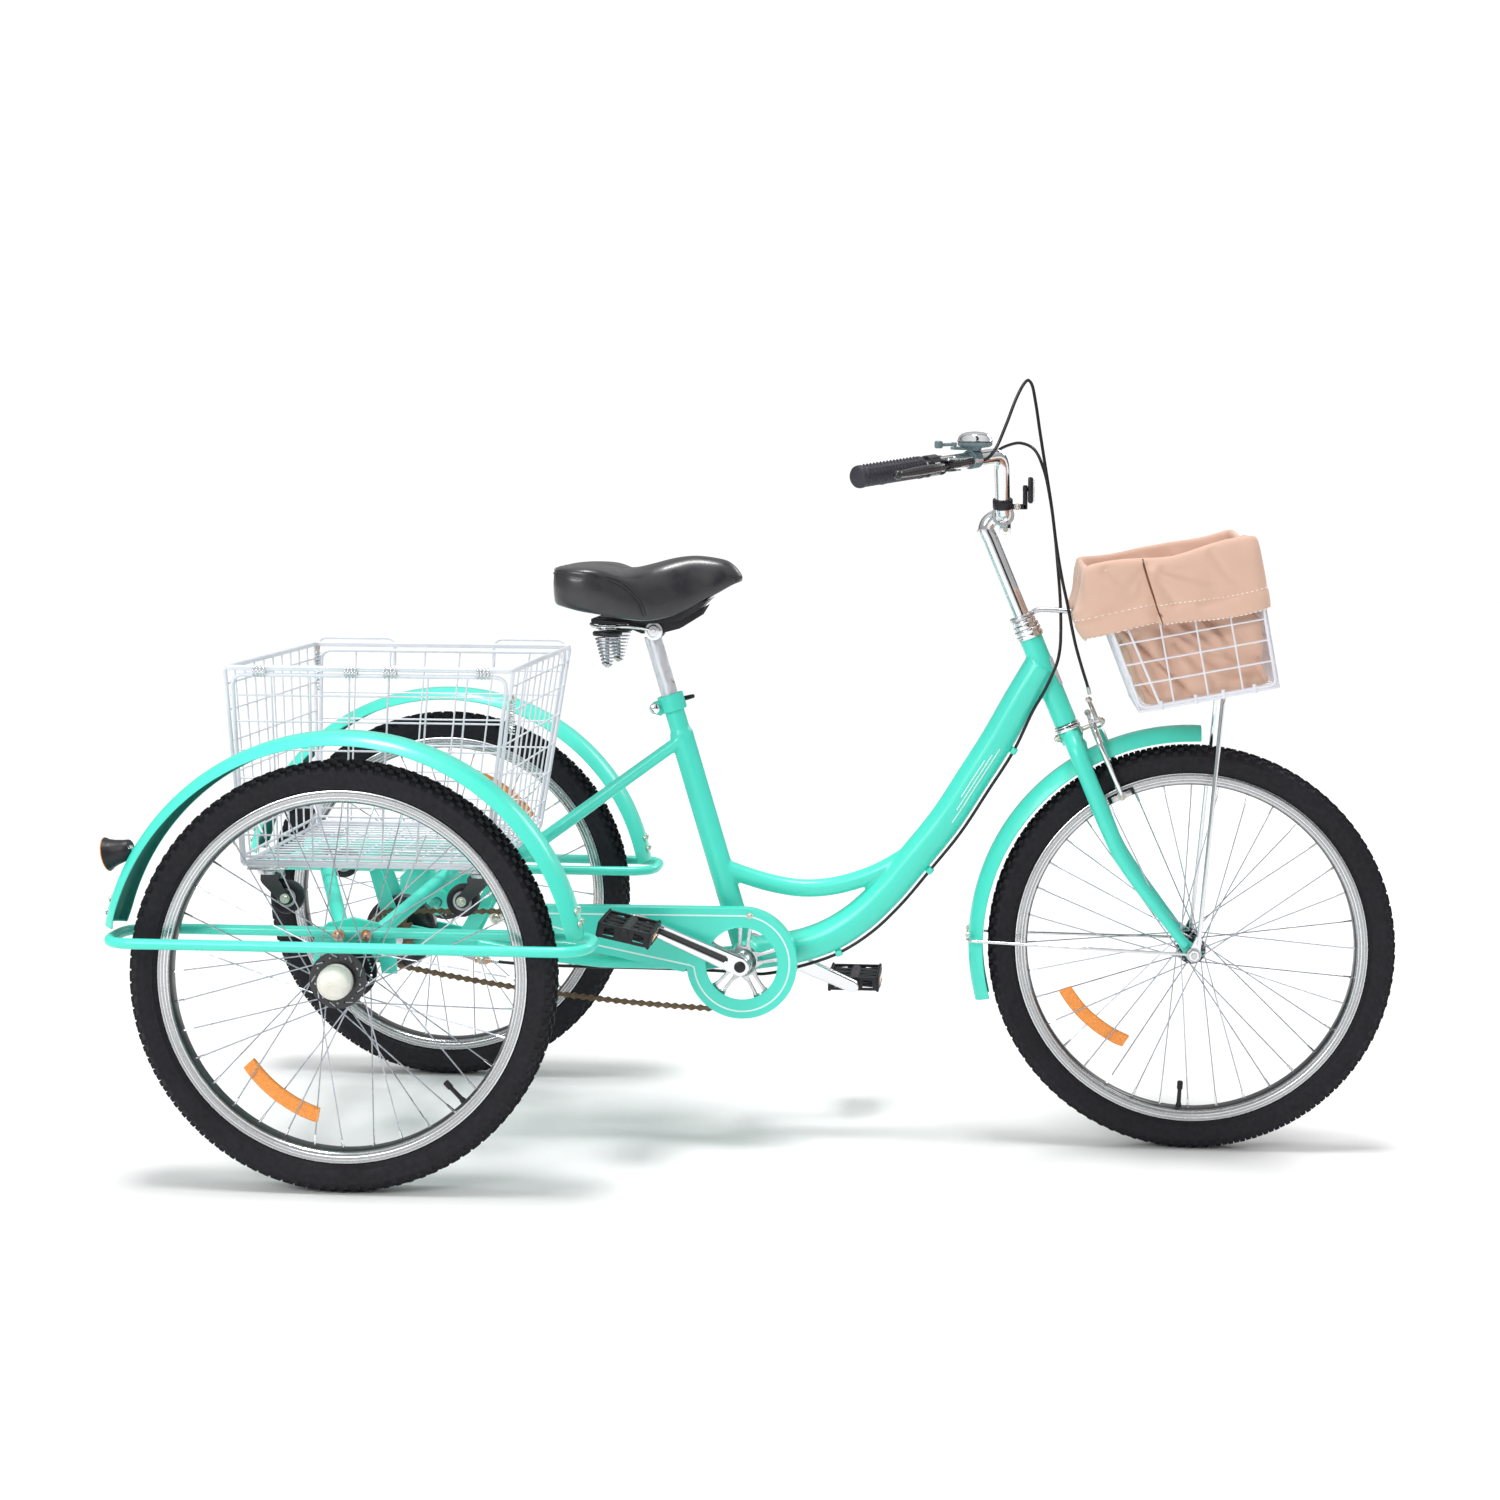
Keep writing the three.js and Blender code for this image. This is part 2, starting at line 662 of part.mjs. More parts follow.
function fork() {
  const steerer = rod(headPoint(-24), headPoint(headsetTop), steererRadius, 12);
  const lowerRace = rod(headPoint(-9), headPoint(-0.5), 19.5, 12);
  const crown = rod(headPoint(-30), headPoint(-8), 17, 12);
  const taper = (share) => 1 - (0.42 * Math.max(0, share - 0.4)) / 0.6;
  const blades = [-1, 1].map((side) => tube(bladeLine(side), 13, 8, taper));
  const dropouts = [-1, 1].map((side) =>
    plate(linkOutline([1186, 318], [1201, 302], 8, 12), 51.5 * side, 56.5 * side),
  );
  const brakeBolt = rod(headPoint(caliperPivot, 6), headPoint(caliperPivot, 52), 3.2, 8);
  const whole = join(steerer, lowerRace, crown, brakeBolt, ...blades, ...dropouts);
  return cut(whole, crossRod(frontWheelAxle, -70, 70, 5));
}

function frontAxle() {
  const shaft = crossRod(frontWheelAxle, -79, 79, 4.4, 8);
  const nuts = [-1, 1].map((side) => crossRod(frontWheelAxle, 69 * side, 75 * side, 9, 6));
  return join(shaft, ...nuts);
}

const clampPlace = [915, 947]; // x, z of the bar in the stem's clamp
const barCorners = [
  v(716, -300, 1004), v(912, -58, 1037), v(915, -34, 947),
  v(915, 34, 947), v(912, 58, 1037), v(716, 300, 1004),
];
const gripDirection = barCorners[1].clone().sub(barCorners[0]).normalize();
const barRadius = 11;

/** A point on the straight part of the bar, measured from its end, with offsets forward and up. */
function barPoint(side, fromEnd, forward = 0, up = 0) {
  const inward = v(gripDirection.x, -gripDirection.y * side, gripDirection.z);
  const ahead = v(gripDirection.y, gripDirection.x * side, 0).normalize();
  const end = v(barCorners[0].x, 300 * side, barCorners[0].z);
  return end.addScaledVector(inward, fromEnd).addScaledVector(ahead, forward).add(v(0, 0, up));
}

function stem() {
  const quill = rod(headPoint(headsetTop + gap), headPoint(312), 11.6, 10);
  const elbow = tube([headPoint(300), headPoint(318), v(896, 0, 938), v(915, 0, 947)], 12.5, 10);
  const clamp = crossRod(clampPlace, -16, 16, 17);
  const clampEar = box([913, 926], [-9, 9], [920, 938]);
  const bore = crossRod(clampPlace, -20, 20, barRadius + 0.9);
  return cut(join(quill, elbow, clamp, clampEar), bore);
}

function handlebar() {
  return tube(bent(barCorners, [26, 20, 20, 26], 4), barRadius, 8);
}

function grip(side) {
  const inward = barPoint(side, 10).sub(barPoint(side, 0)).normalize();
  const profile = [
    [0, -5], [14, -5], [16, -1], [16, 128], [barRadius + 0.9, 128], [barRadius + 0.9, -0.6], [0, -0.6],
  ];
  return turned(profile, barPoint(side, 0), inward, 12);
}

function leverPivot(side) {
  return barPoint(side, 156, 30);
}

/** A short upright bar through a point, between two heights measured from it. */
function uprightRod(spot, from, to, radius, sides = 8) {
  return rod(spot.clone().add(v(0, 0, from)), spot.clone().add(v(0, 0, to)), radius, sides);
}

function leverPerch(side) {
  const inward = barPoint(side, 10).sub(barPoint(side, 0)).normalize();
  const band = ring(15.5, barRadius + 0.9, 140, 162, barPoint(side, 0), inward, 10);
  const arm = rod(barPoint(side, 151, 19), barPoint(side, 168, 25), 6, 8);
  const housing = rod(barPoint(side, 164, 24), barPoint(side, 222, 26), 6, 8);
  const pivot = leverPivot(side);
  const room = uprightRod(pivot, -5, 5, 9.5);
  const pin = uprightRod(pivot, -8, 8, 2.5);
  const cheeks = [-1, 1].map((end) => uprightRod(pivot, 5 * end, 8 * end, 12));
  return join(cut(join(band, arm, housing), room), pin, ...cheeks);
}

function brakeLever(side) {
  const pivot = leverPivot(side);
  const hubDisc = uprightRod(pivot, -4.6, 4.6, 8);
  const places = [[154, 31], [120, 37], [70, 40], [32, 45]];
  const line = smooth(places.map(([fromEnd, forward]) => barPoint(side, fromEnd, forward)), 5);
  const blade = tube(line, 4.2, 6);
  const knob = ball(barPoint(side, 30, 45), 6);
  return cut(join(hubDisc, blade, knob), uprightRod(pivot, -6, 6, 3));
}

const bellSpot = 246; // along the bar from its right end
const bellLeverOffset = [-30, -16, 9]; // from the foot of the bell to its thumb lever's pin

function bell() {
  const inward = barPoint(-1, 10).sub(barPoint(-1, 0)).normalize();
  const band = ring(14, barRadius + 0.9, bellSpot - 8, bellSpot + 8, barPoint(-1, 0), inward, 10);
  const foot = barPoint(-1, bellSpot, 4, 12);
  const dome = turned(
    [[0, 0], [9, 0], [9, 5], [22, 5], [26, 12], [26, 17], [20, 25], [0, 28]],
    foot, v(0, 0, 1), 14,
  );
  const pin = foot.clone().add(v(...bellLeverOffset));
  const ear = uprightRod(pin, -7.5, -3.5, 5);
  const bridge = rod(foot.clone().add(v(-6, -3, 3.5)), pin.clone().add(v(0, 0, -5.5)), 2.5, 6);
  return join(band, dome, ear, bridge);
}

function bellLever() {
  const foot = barPoint(-1, bellSpot, 4, 12);
  const pivot = foot.clone().add(v(...bellLeverOffset));
  const reach = pivot.clone().add(v(-22, -10, -1));
  const arm = rod(pivot, reach, 2.5, 8);
  const thumb = uprightRod(reach, -5, 6, 6, 10);
  const eye = uprightRod(pivot, -3, 3, 4, 10);
  return join(arm, thumb, eye);
}

function frontReflector() {
  const foot = v(914, -42.3, 978);
  const band = ring(15, barRadius + 1.2, -7, 7, foot, v(-0.03, -0.26, 0.97), 10);
  const arm = box([927, 950], [-44, -36], [969, 977]);
  const post = box([946, 953], [-44, -28], [969, 990]);
  const lens = box([952, 962], [-50, 10], [965, 1004]);
  return join(band, arm, post, lens);
}

// ---- front fender, brake and cables
function frontFender() {
  const hub = v(wheelbase, 0, wheelRadius);
  const blade = sweep(arcPoints(hub, 332, 88, 195, 12), fenderOutline(29, 20));
  const stayLine = [[872, 24, 313], [868, 34, 312], [880, 40, 311], [1180, 63, 303]];
  const stays = [-1, 1].map((side) => tube(stayLine.map(([x, y, z]) => v(x, y * side, z)), 2.4, 6));
  const tab = rod(v(1039, 0, 583), headPoint(-36), 5, 8);
  return join(blade, ...stays, tab);
}

const caliperPivot = -16; // along the steering axis
const shoeAngle = THREE.MathUtils.degToRad(24.6); // the rim's direction at the brake shoes

function caliperArm(side) {
  const front = side > 0 ? 45 : 36;
  const at = (across, up) => headPoint(caliperPivot + up, front, across);
  const lower = [[0, 0], [22, -5], [37, -24], [38.5, -62], [33, -98], [26, -112]];
  const upper = side > 0 ? [[0, 0], [10, 14], [30, 30]] : [[0, 0], [14, 8], [36, 12]];
  const leg = tube(lower.map(([across, up]) => at(across * side, up)), 3.8, 6);
  const horn = tube(upper.map(([across, up]) => at(across, up)), 3.4, 6);
  const boss = rod(headPoint(caliperPivot, front - 4), headPoint(caliperPivot, front + 4), 8, 8);
  const centre = at(21 * side, -112);
  const turn = new THREE.Matrix4().makeRotationY(-shoeAngle).setPosition(centre);
  const shoe = solid(new THREE.BoxGeometry(42, 7, 10), turn);
  const hole = rod(headPoint(caliperPivot, 20), headPoint(caliperPivot, 60), 3.9, 8);
  return cut(join(leg, horn, boss, shoe), hole);
}

const cableRadius = 2.5;

function frontBrakeCable() {
  const route = [
    barPoint(-1, 223, 26), v(890, -129, 1030), v(903, -108, 1045), v(918, -82, 1080), v(933, -54, 1120),
    v(945, -30, 1143), v(951, -22, 1148), v(956, -18, 1142), v(962, -16, 1115), v(969, -17, 1070),
    v(978, -20, 1015), v(987, -23, 960), v(995, -25, 900), v(1004, -23, 850), v(1012, -16, 815),
    v(1019, -8, 780), v(1026, 4, 750), v(1036, 17, 716), v(1045, 28, 688), v(1048, 30, 676),
  ];
  return tube(smooth(route, 32), cableRadius, 6);
}

function rearBrakeCableUpper() {
  const route = [
    barPoint(1, 223, 26), v(888, 129, 1031), v(902, 106, 1041), v(920, 79, 1051), v(942, 52, 1055),
    v(962, 34, 1045), v(976, 26, 1015), v(986, 23, 970), v(993, 21, 920), v(998, 19, 870),
    v(1002, 14, 820), v(1003, 4, 786), v(1003, 0, 774),
  ];
  return tube(smooth(route, 20), cableRadius, 6);
}

function rearBrakeCable() {
  const clearance = 25 + cableRadius + 1.5;
  const underTube = downTubeLine.slice(2, -1).map((point, i) => {
    const ahead = downTubeLine[i + 3].clone().sub(downTubeLine[i + 1]).normalize();
    return point.clone().add(v(-ahead.z, 0, ahead.x).multiplyScalar(clearance)).setY(-8);
  });
  const route = [
    v(1003, -0.3, 773.4), v(1002, -11, 752), v(998, -20, 730), v(989, -23, 707), v(978, -23, 684),
    v(962, -19, 655), ...underTube, v(560, -4, 248), v(532, 0, 248), v(495, 0, 250), v(410, 0, 252),
    v(314, 2, 252), v(200, 8, 252), v(160, 10, 254), v(137, 10.5, 256),
  ];
  return tube(smooth(route, 38), cableRadius, 6);
}

// ---- baskets
/** Splits a span into bars and openings and gives each opening's two ends. */
function openingsAlong(from, to, count, bar) {
  const cell = (to - from - bar) / count;
  return Array.from({ length: count }, (_, i) => [from + bar + i * cell, from + (i + 1) * cell]);
}

/** An open-topped wire box: four walls and a floor with rows of openings through them. */
function basketShell(sectionAt, z0, z1, wall, bar, counts, matrix) {
  const outer = taperedBox(sectionAt(z0, 0), sectionAt(z1, 0), z0, z1, matrix);
  const inner = taperedBox(sectionAt(z0 + wall, -wall), sectionAt(z1 + 1, -wall), z0 + wall, z1 + 1, matrix);
  const base = sectionAt(z0, -wall);
  const reach = 400;
  const xs = openingsAlong(base.x0, base.x1, counts[0], bar);
  const ys = openingsAlong(-base.y, base.y, counts[1], bar);
  const zs = openingsAlong(z0 + wall, z1, counts[2], bar);
  const openings = [
    ...zs.flatMap((z) => xs.map((x) => box(x, [-reach, reach], z))),
    ...zs.flatMap((z) => ys.map((y) => box([-reach, reach], y, z))),
    ...xs.flatMap((x) => ys.map((y) => box(x, y, [z0 - 5, z0 + wall + 5]))),
  ];
  return cut(outer, inner, ...openings.map((opening) => placed(opening, matrix)));
}

function rearBasketShape() {
  const { bottom, top, wall } = rearBasket;
  const sectionAt = (height, outset) => {
    const share = (height - bottom.z) / (top.z - bottom.z);
    const between = (key) => THREE.MathUtils.lerp(bottom[key], top[key], share);
    return { x0: between('x0') - outset, x1: between('x1') + outset, y: between('y') + outset };
  };
  const walls = basketShell(sectionAt, bottom.z, top.z, wall, 7, [4, 4, 2], new THREE.Matrix4());
  const plates = casterPlaces.map(({ x, y }) =>
    box([x - 28, x + 28], [y - 24, y + 24], [caster.plateZ, bottom.z + 1]),
  );
  return join(walls, ...plates);
}

const casterPlaces = [
  { name: 'rear_right', x: -caster.x, y: -caster.y, trail: caster.trail },
  { name: 'rear_left', x: -caster.x, y: caster.y, trail: caster.trail },
  { name: 'front_right', x: caster.x, y: -caster.y, trail: -caster.trail },
  { name: 'front_left', x: caster.x, y: caster.y, trail: -caster.trail },
];

function casterFork({ x, y, trail }) {
  const { plateZ, wheelZ } = caster;
  const disc = rod(v(x, y, plateZ - 8), v(x, y, plateZ - gap), 19, 10);
  const legs = [-1, 1].map((side) =>
    plate(linkOutline([x, wheelZ + 29], [x + trail, wheelZ], 11, 9), y + 12.5 * side, y + 15.5 * side),
  );
  const pin = crossRod([x + trail, wheelZ], y - 14, y + 14, 3, 8);
  return join(disc, ...legs, pin);
}

function casterWheel({ x, y, trail }) {
  const profile = [
    [3.6, -11.5], [19, -11.5], [24, -7], [24, 7], [19, 11.5], [3.6, 11.5], [3.6, -11.5],
  ];
  return turned(profile, v(x + trail, y, caster.wheelZ), yAxis, 16);
}

const basketMatrix = new THREE.Matrix4()
  .makeRotationY(-frontBasket.tilt)
  .setPosition(...frontBasket.origin);

/** The front basket's outline at a height below its rim, moved out by a distance. */
function basketSection(height, outset) {
  const share = 1 + height / frontBasket.depth;
  const between = (key) => THREE.MathUtils.lerp(frontBasket.bottom[key], frontBasket.top[key], share);
  return { x0: between('x0') - outset, x1: between('x1') + outset, y: between('y') + outset };
}

function basketBlock(low, high, outset) {
  return taperedBox(basketSection(low, outset), basketSection(high, outset), low, high, basketMatrix);
}

const bracketEnd = v(1062, 0, 806);

function frontBasketShape() {
  const { depth, wall } = frontBasket;
  const walls = basketShell(basketSection, -depth, 0, wall, 6, [2, 4, 2], basketMatrix);
  const collar = ring(19, 12.8, headsetTop + 1, headsetTop + 7, steeringOrigin, headUp, 10);
  const arm = tube([headPoint(headsetTop + 5.5, 16), headPoint(headsetTop + 5.5, 27), bracketEnd], 4, 6);
  return join(walls, collar, arm);
}

function basketLiner() {
  const { depth, wall, flap, fabric } = frontBasket;
  const inner = -(wall + 0.6);
  const floor = -depth + wall + 1;
  const overRim = basketBlock(-flap, 5, 0.5 + fabric);
  const room = basketBlock(-depth - 1, 0.8, 0.5);
  const bag = basketBlock(floor, 5, inner);
  const inside = basketBlock(floor + fabric, 7, inner - fabric);
  const bracketRoom = placed(box([-30, 60], [-6, 6], [-flap - 2, -48]), basketMatrix);
  return cut(join(cut(overRim, room, bracketRoom), bag), inside);
}

function basketSupport() {
  const line = [
    v(1207, -66.5, 318), v(1241, -50, 686), v(1241, 50, 686), v(1207, 66.5, 318),
  ];
  const hoop = tube(bent(line, [14, 14], 3), 3.6, 6);
  const eyes = [-1, 1].map((side) =>
    plate(linkOutline([1207, 326], frontWheelAxle, 5, 9), 64.6 * side, 68.4 * side, 4),
  );
  return cut(join(hoop, ...eyes), crossRod(frontWheelAxle, -80, 80, 5));
}

// ---- saddle and seat post
const saddleClamp = [391, 768]; // x, z of the saddle's tilt bolt

function prism(outline, z0, z1) {
  const geometry = new THREE.ExtrudeGeometry(polygon(outline), { depth: z1 - z0, bevelEnabled: false });
  geometry.translate(0, 0, z0);
  return solid(geometry);
}

function saddle() {
  const side = [
    [249, 800], [247, 850], [255, 863], [270, 869], [305, 868], [348, 862], [389, 870], [420, 878],
    [447, 882], [481, 879], [506, 868], [520, 856], [523, 850], [518, 843], [499, 835], [466, 815],
    [436, 800], [390, 787], [340, 786], [290, 793],
  ];
  const halfPlan = [
    [247, 66], [254, 98], [275, 116], [308, 120], [342, 110], [378, 82], [412, 52], [448, 36],
    [490, 30], [514, 21], [523, 7],
  ];
  const mirrored = halfPlan.map(([x, y]) => [x, -y]).reverse();
  return plate(polygon(side), -130, 130).intersect(prism([...halfPlan, ...mirrored], 700, 900));
}

function saddleBase() {
  const cx = saddleClamp[0];
  const panSide = [
    [272, 786], [290, 781.5], [390, 780.5], [434, 786], [462, 803], [478, 819], [464, 813], [435, 799],
    [390, 786.5], [340, 785.5], [290, 792],
  ];
  const pan = plate(polygon(panSide), -32, 32);
  const wings = plate(polygon([[296, 781], [358, 780.6], [358, 785], [340, 785.5], [296, 790]]), -68, 68);
  const cheeks = [-1, 1].map((side) =>
    plate(linkOutline(saddleClamp, [cx, 776], 12, 9), 13.1 * side, 19 * side),
  );
  const springs = [-1, 1].map((side) => {
    const spot = v(326, 52 * side, 770);
    const cone = rod(spot, spot.clone().setZ(724), 20, 12, 7);
    return join(cone, uprightRod(spot, -5, 12, 7));
  });
  return join(pan, wings, ...cheeks, ...springs);
}

function seatPost() {
  const top = seatPoint(seatTubeLength + saddleClampLength - 12);
  const post = rod(seatPoint(seatTubeLength - seatPostInsert), top, seatPostRadius, 16);
  const head = crossRod(saddleClamp, -12.7, 12.7, 11, 16);
  return join(post, head);
}

const seatForward = v(Math.cos(seatAngle), 0, Math.sin(seatAngle));
const skewer = seatPoint(398).addScaledVector(seatForward, -25);

function seatClamp() {
  const collar = ring(20, 15.9, 386, 411.5, crankOrigin, seatUp, 14);
  const ears = [-1, 1].map((side) => crossRod([skewer.x, skewer.z], 3 * side, 11 * side, 9, 10));
  const place = [skewer.x, skewer.z];
  const bolt = crossRod(place, -21, 14, 3, 8);
  const nut = crossRod(place, -24, -11, 8, 10);
  const neckRoom = rod(seatPoint(380), seatPoint(420), 15.8, 14);
  return cut(join(collar, ...ears, bolt, nut), neckRoom);
}

function seatLever() {
  const cam = skewer.clone().add(v(0, 22, 0));
  const [low, high] = [-8, 8].map((up) => cam.clone().addScaledVector(seatUp, up));
  const barrel = rod(low, high, 7, 10);
  const line = [[0, 22], [16, 28], [34, 27], [55, 19]].map(([forward, y]) =>
    skewer.clone().addScaledVector(seatForward, forward).add(v(0, y, 0)),
  );
  return join(barrel, tube(line, 3.6, 8));
}

// ---------------------------------------------------------------- assembly
const sides = { right: -1, left: 1 };

addPart('main_frame', mainFrame(), mint);
addPart('rear_carriage', rearCarriage(), mint);
addPart('seat_clamp', seatClamp(), mint);
addPart('seat_lever', seatLever(), blackPlastic);
addPart('seat_post', seatPost(), silver);
addPart('saddle', saddle(), blackLeather);
addPart('saddle_base', saddleBase(), blackPlastic);
addPart('tail_light', tailLight(), redLens);
addPart('chain_guard', chainGuard(), mint);
addPart('drive_chain', driveChain(), chainSteel);
addPart('band_brake', bandBrake(), blackPaint);
addPart('drive_axle', driveAxle(), silver);
addPart('crank_right', rightCrank(), silver);
addPart('crank_left', leftCrank(), silver);
addPart('pedal_right', pedal(-1, 12), blackPlastic);
addPart('pedal_left', pedal(1, 0), blackPlastic);
addPart('fork', fork(), mint);
addPart('front_axle', frontAxle(), silver);
addPart('stem', stem(), chrome);
addPart('handlebar', handlebar(), chrome);
addPart('bell', bell(), chrome);
addPart('bell_lever', bellLever(), blackPlastic);
addPart('front_reflector', frontReflector(), blackPlastic);
addPart('front_fender', frontFender(), mint);
addPart('basket_support', basketSupport(), chrome);
addPart('front_basket', frontBasketShape(), whiteWire);
addPart('basket_liner', basketLiner(), beigeFabric);
addPart('front_brake_cable', frontBrakeCable(), rubber);
addPart('rear_brake_cable_upper', rearBrakeCableUpper(), rubber);
addPart('rear_brake_cable', rearBrakeCable(), rubber);
addPart('rear_basket', rearBasketShape(), whiteWire);

for (const [name, side] of Object.entries(sides)) {
  addPart(`wheel_loop_${name}`, wheelLoop(side), mint);
  addPart(`rear_fender_${name}`, rearFender(side), mint);
  addPart(`grip_${name}`, grip(side), rubber);
  addPart(`lever_perch_${name}`, leverPerch(side), blackPaint);
  addPart(`brake_lever_${name}`, brakeLever(side), blackPaint);
  addPart(`caliper_arm_${name}`, caliperArm(side), silver);
}

const wheelPlaces = {
  front: v(wheelbase, 0, wheelRadius),
  right: v(0, -trackHalf, wheelRadius),
  left: v(0, trackHalf, wheelRadius),
};
for (const [name, centre] of Object.entries(wheelPlaces)) {
  addPart(`${name}_tyre`, tyre(centre), rubber);
  addPart(`${name}_rim`, rim(centre), silver);
  addPart(`${name}_hub`, name === 'front' ? frontHub() : rearHub(sides[name]), blackPaint);
}

for (const place of casterPlaces) {
  addPart(`caster_fork_${place.name}`, casterFork(place), blackPaint);
  addPart(`caster_wheel_${place.name}`, casterWheel(place), rubber);
}

export default tricycle;
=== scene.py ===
"""Adult tricycle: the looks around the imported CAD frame, at rest and at every joint pose."""

import json
from math import atan2, copysign, cos, degrees, exp, pi as PI, radians, sin, sqrt, tan

import bmesh
import bpy
from mathutils import Matrix, Vector, noise
from mathutils.bvhtree import BVHTree


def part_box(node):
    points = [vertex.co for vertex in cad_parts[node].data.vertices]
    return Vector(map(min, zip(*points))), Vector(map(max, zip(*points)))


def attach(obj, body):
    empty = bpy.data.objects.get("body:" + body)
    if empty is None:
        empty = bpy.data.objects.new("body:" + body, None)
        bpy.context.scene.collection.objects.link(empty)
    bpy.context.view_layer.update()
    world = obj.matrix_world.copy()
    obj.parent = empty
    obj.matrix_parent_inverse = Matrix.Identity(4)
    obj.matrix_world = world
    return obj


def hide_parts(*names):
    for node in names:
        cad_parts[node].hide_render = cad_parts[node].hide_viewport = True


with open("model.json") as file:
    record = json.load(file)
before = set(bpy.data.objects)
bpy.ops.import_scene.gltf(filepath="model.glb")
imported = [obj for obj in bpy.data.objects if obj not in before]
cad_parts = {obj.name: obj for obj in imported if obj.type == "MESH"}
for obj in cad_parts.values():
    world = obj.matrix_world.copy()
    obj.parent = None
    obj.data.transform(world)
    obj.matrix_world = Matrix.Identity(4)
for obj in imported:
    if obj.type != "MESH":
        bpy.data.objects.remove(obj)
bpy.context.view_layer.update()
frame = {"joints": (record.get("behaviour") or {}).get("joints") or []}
joints = {joint["name"]: joint for joint in frame["joints"]}

# ---------------------------------------------------------------- driving dimensions
# Shapes are drawn in millimetres from the ground under the rear axle, as the CAD source is.
MM = 0.001
AXLE = Vector(joints["right_wheel_spin"]["pos_m"])
FRONT_AXLE = Vector(joints["front_wheel_spin"]["pos_m"])
WHEEL_RADIUS = AXLE.z / MM
WHEELBASE = (FRONT_AXLE.x - AXLE.x) / MM
TRACK_HALF = 318
SIDES = {"right": -1, "left": 1}
BOTH = (-1, 1)


def vec(x, y, z):
    return Vector((x, y, z))


def polar(angle, radius=1, y=0):
    """A point in the plane of the wheels, at an angle up from straight ahead."""
    return vec(radius * cos(angle), y, radius * sin(angle))


X_AXIS, Y_AXIS, Z_AXIS = vec(1, 0, 0), vec(0, 1, 0), vec(0, 0, 1)
FRONT_CENTRE = vec(WHEELBASE, 0, WHEEL_RADIUS)
REAR_CENTRE = vec(0, 0, WHEEL_RADIUS)


# ---------------------------------------------------------------- camera, lights and floor
CAMERA_YAW, CAMERA_PITCH, CAMERA_ROLL = radians(-3.84), radians(-1.88), radians(0.35)
CAMERA_PLACE = vec(AXLE.x + 0.8999, -3.4857, 1.0190)
CAMERA_SETTINGS = {"sensor_width": 36, "lens": 55.68, "shift_x": -0.058, "shift_y": -0.1387, "clip_end": 60}


def make_camera():
    data = bpy.data.cameras.new("camera")
    for key, value in CAMERA_SETTINGS.items():
        setattr(data, key, value)
    camera = bpy.data.objects.new("camera", data)
    level = cos(CAMERA_PITCH)
    ahead = vec(sin(CAMERA_YAW) * level, cos(CAMERA_YAW) * level, sin(CAMERA_PITCH))
    camera.location = CAMERA_PLACE
    roll = Matrix.Rotation(CAMERA_ROLL, 4, "Z")
    turn = ahead.to_track_quat("-Z", "Y").to_matrix().to_4x4() @ roll
    camera.rotation_euler = turn.to_euler()
    bpy.context.collection.objects.link(camera)
    bpy.context.scene.camera = camera


make_camera()


def add_light(name, kind, location, target, energy, size):
    """A soft light: a rectangle in metres, or a sun as wide as an angle in degrees."""
    data = bpy.data.lights.new(name, kind)
    data.energy = energy
    if kind == "AREA":
        data.shape = "RECTANGLE"
        data.size, data.size_y = size
    else:
        data.angle = radians(size)
    light = bpy.data.objects.new(name, data)
    light.location = location
    light.rotation_euler = (Vector(target) - Vector(location)).to_track_quat("-Z", "Y").to_euler()
    light.visible_camera = False
    bpy.context.collection.objects.link(light)


LIGHTS = [  # name, kind, place, target, energy and size
    ("sun", "SUN", (-0.15, -0.3, 4.0), (0, 0, 0), 2.0, 15),
    ("key", "AREA", (-2.2, -3.6, 2.6), (0, 0, 0.5), 70, (1.8, 1.6)),
    ("rim", "AREA", (2.6, 3.2, 2.8), (0, 0, 0.5), 45, (1.8, 1.4)),
]
SOFTBOXES = [  # share of the way round, and how bright the studio is there
    (0.0, 0.8), (0.20, 0.95), (0.275, 1.0), (0.285, 0.04), (0.33, 0.04), (0.345, 1.0), (0.50, 0.9),
    (0.595, 0.7), (0.605, 0.08), (0.64, 0.08), (0.655, 0.75), (0.88, 0.7), (0.90, 0.3), (0.94, 0.3),
    (0.955, 0.8), (1.0, 0.8),
]
FLOOR_TO_CEILING = [(0.0, 0.45), (0.35, 0.6), (0.7, 0.95), (1.0, 1.0)]
BACKDROP_WHITE = (1.05, 1.05, 1.05, 1)


def ramp(nodes, stops):
    """A colour ramp through (place, grey level) stops."""
    node = nodes.new("ShaderNodeValToRGB")
    elements = node.color_ramp.elements
    while len(elements) < len(stops):
        elements.new(0.5)
    for element, (place, level) in zip(elements, stops):
        element.position = place
        element.color = (level, level, level, 1)
    return node


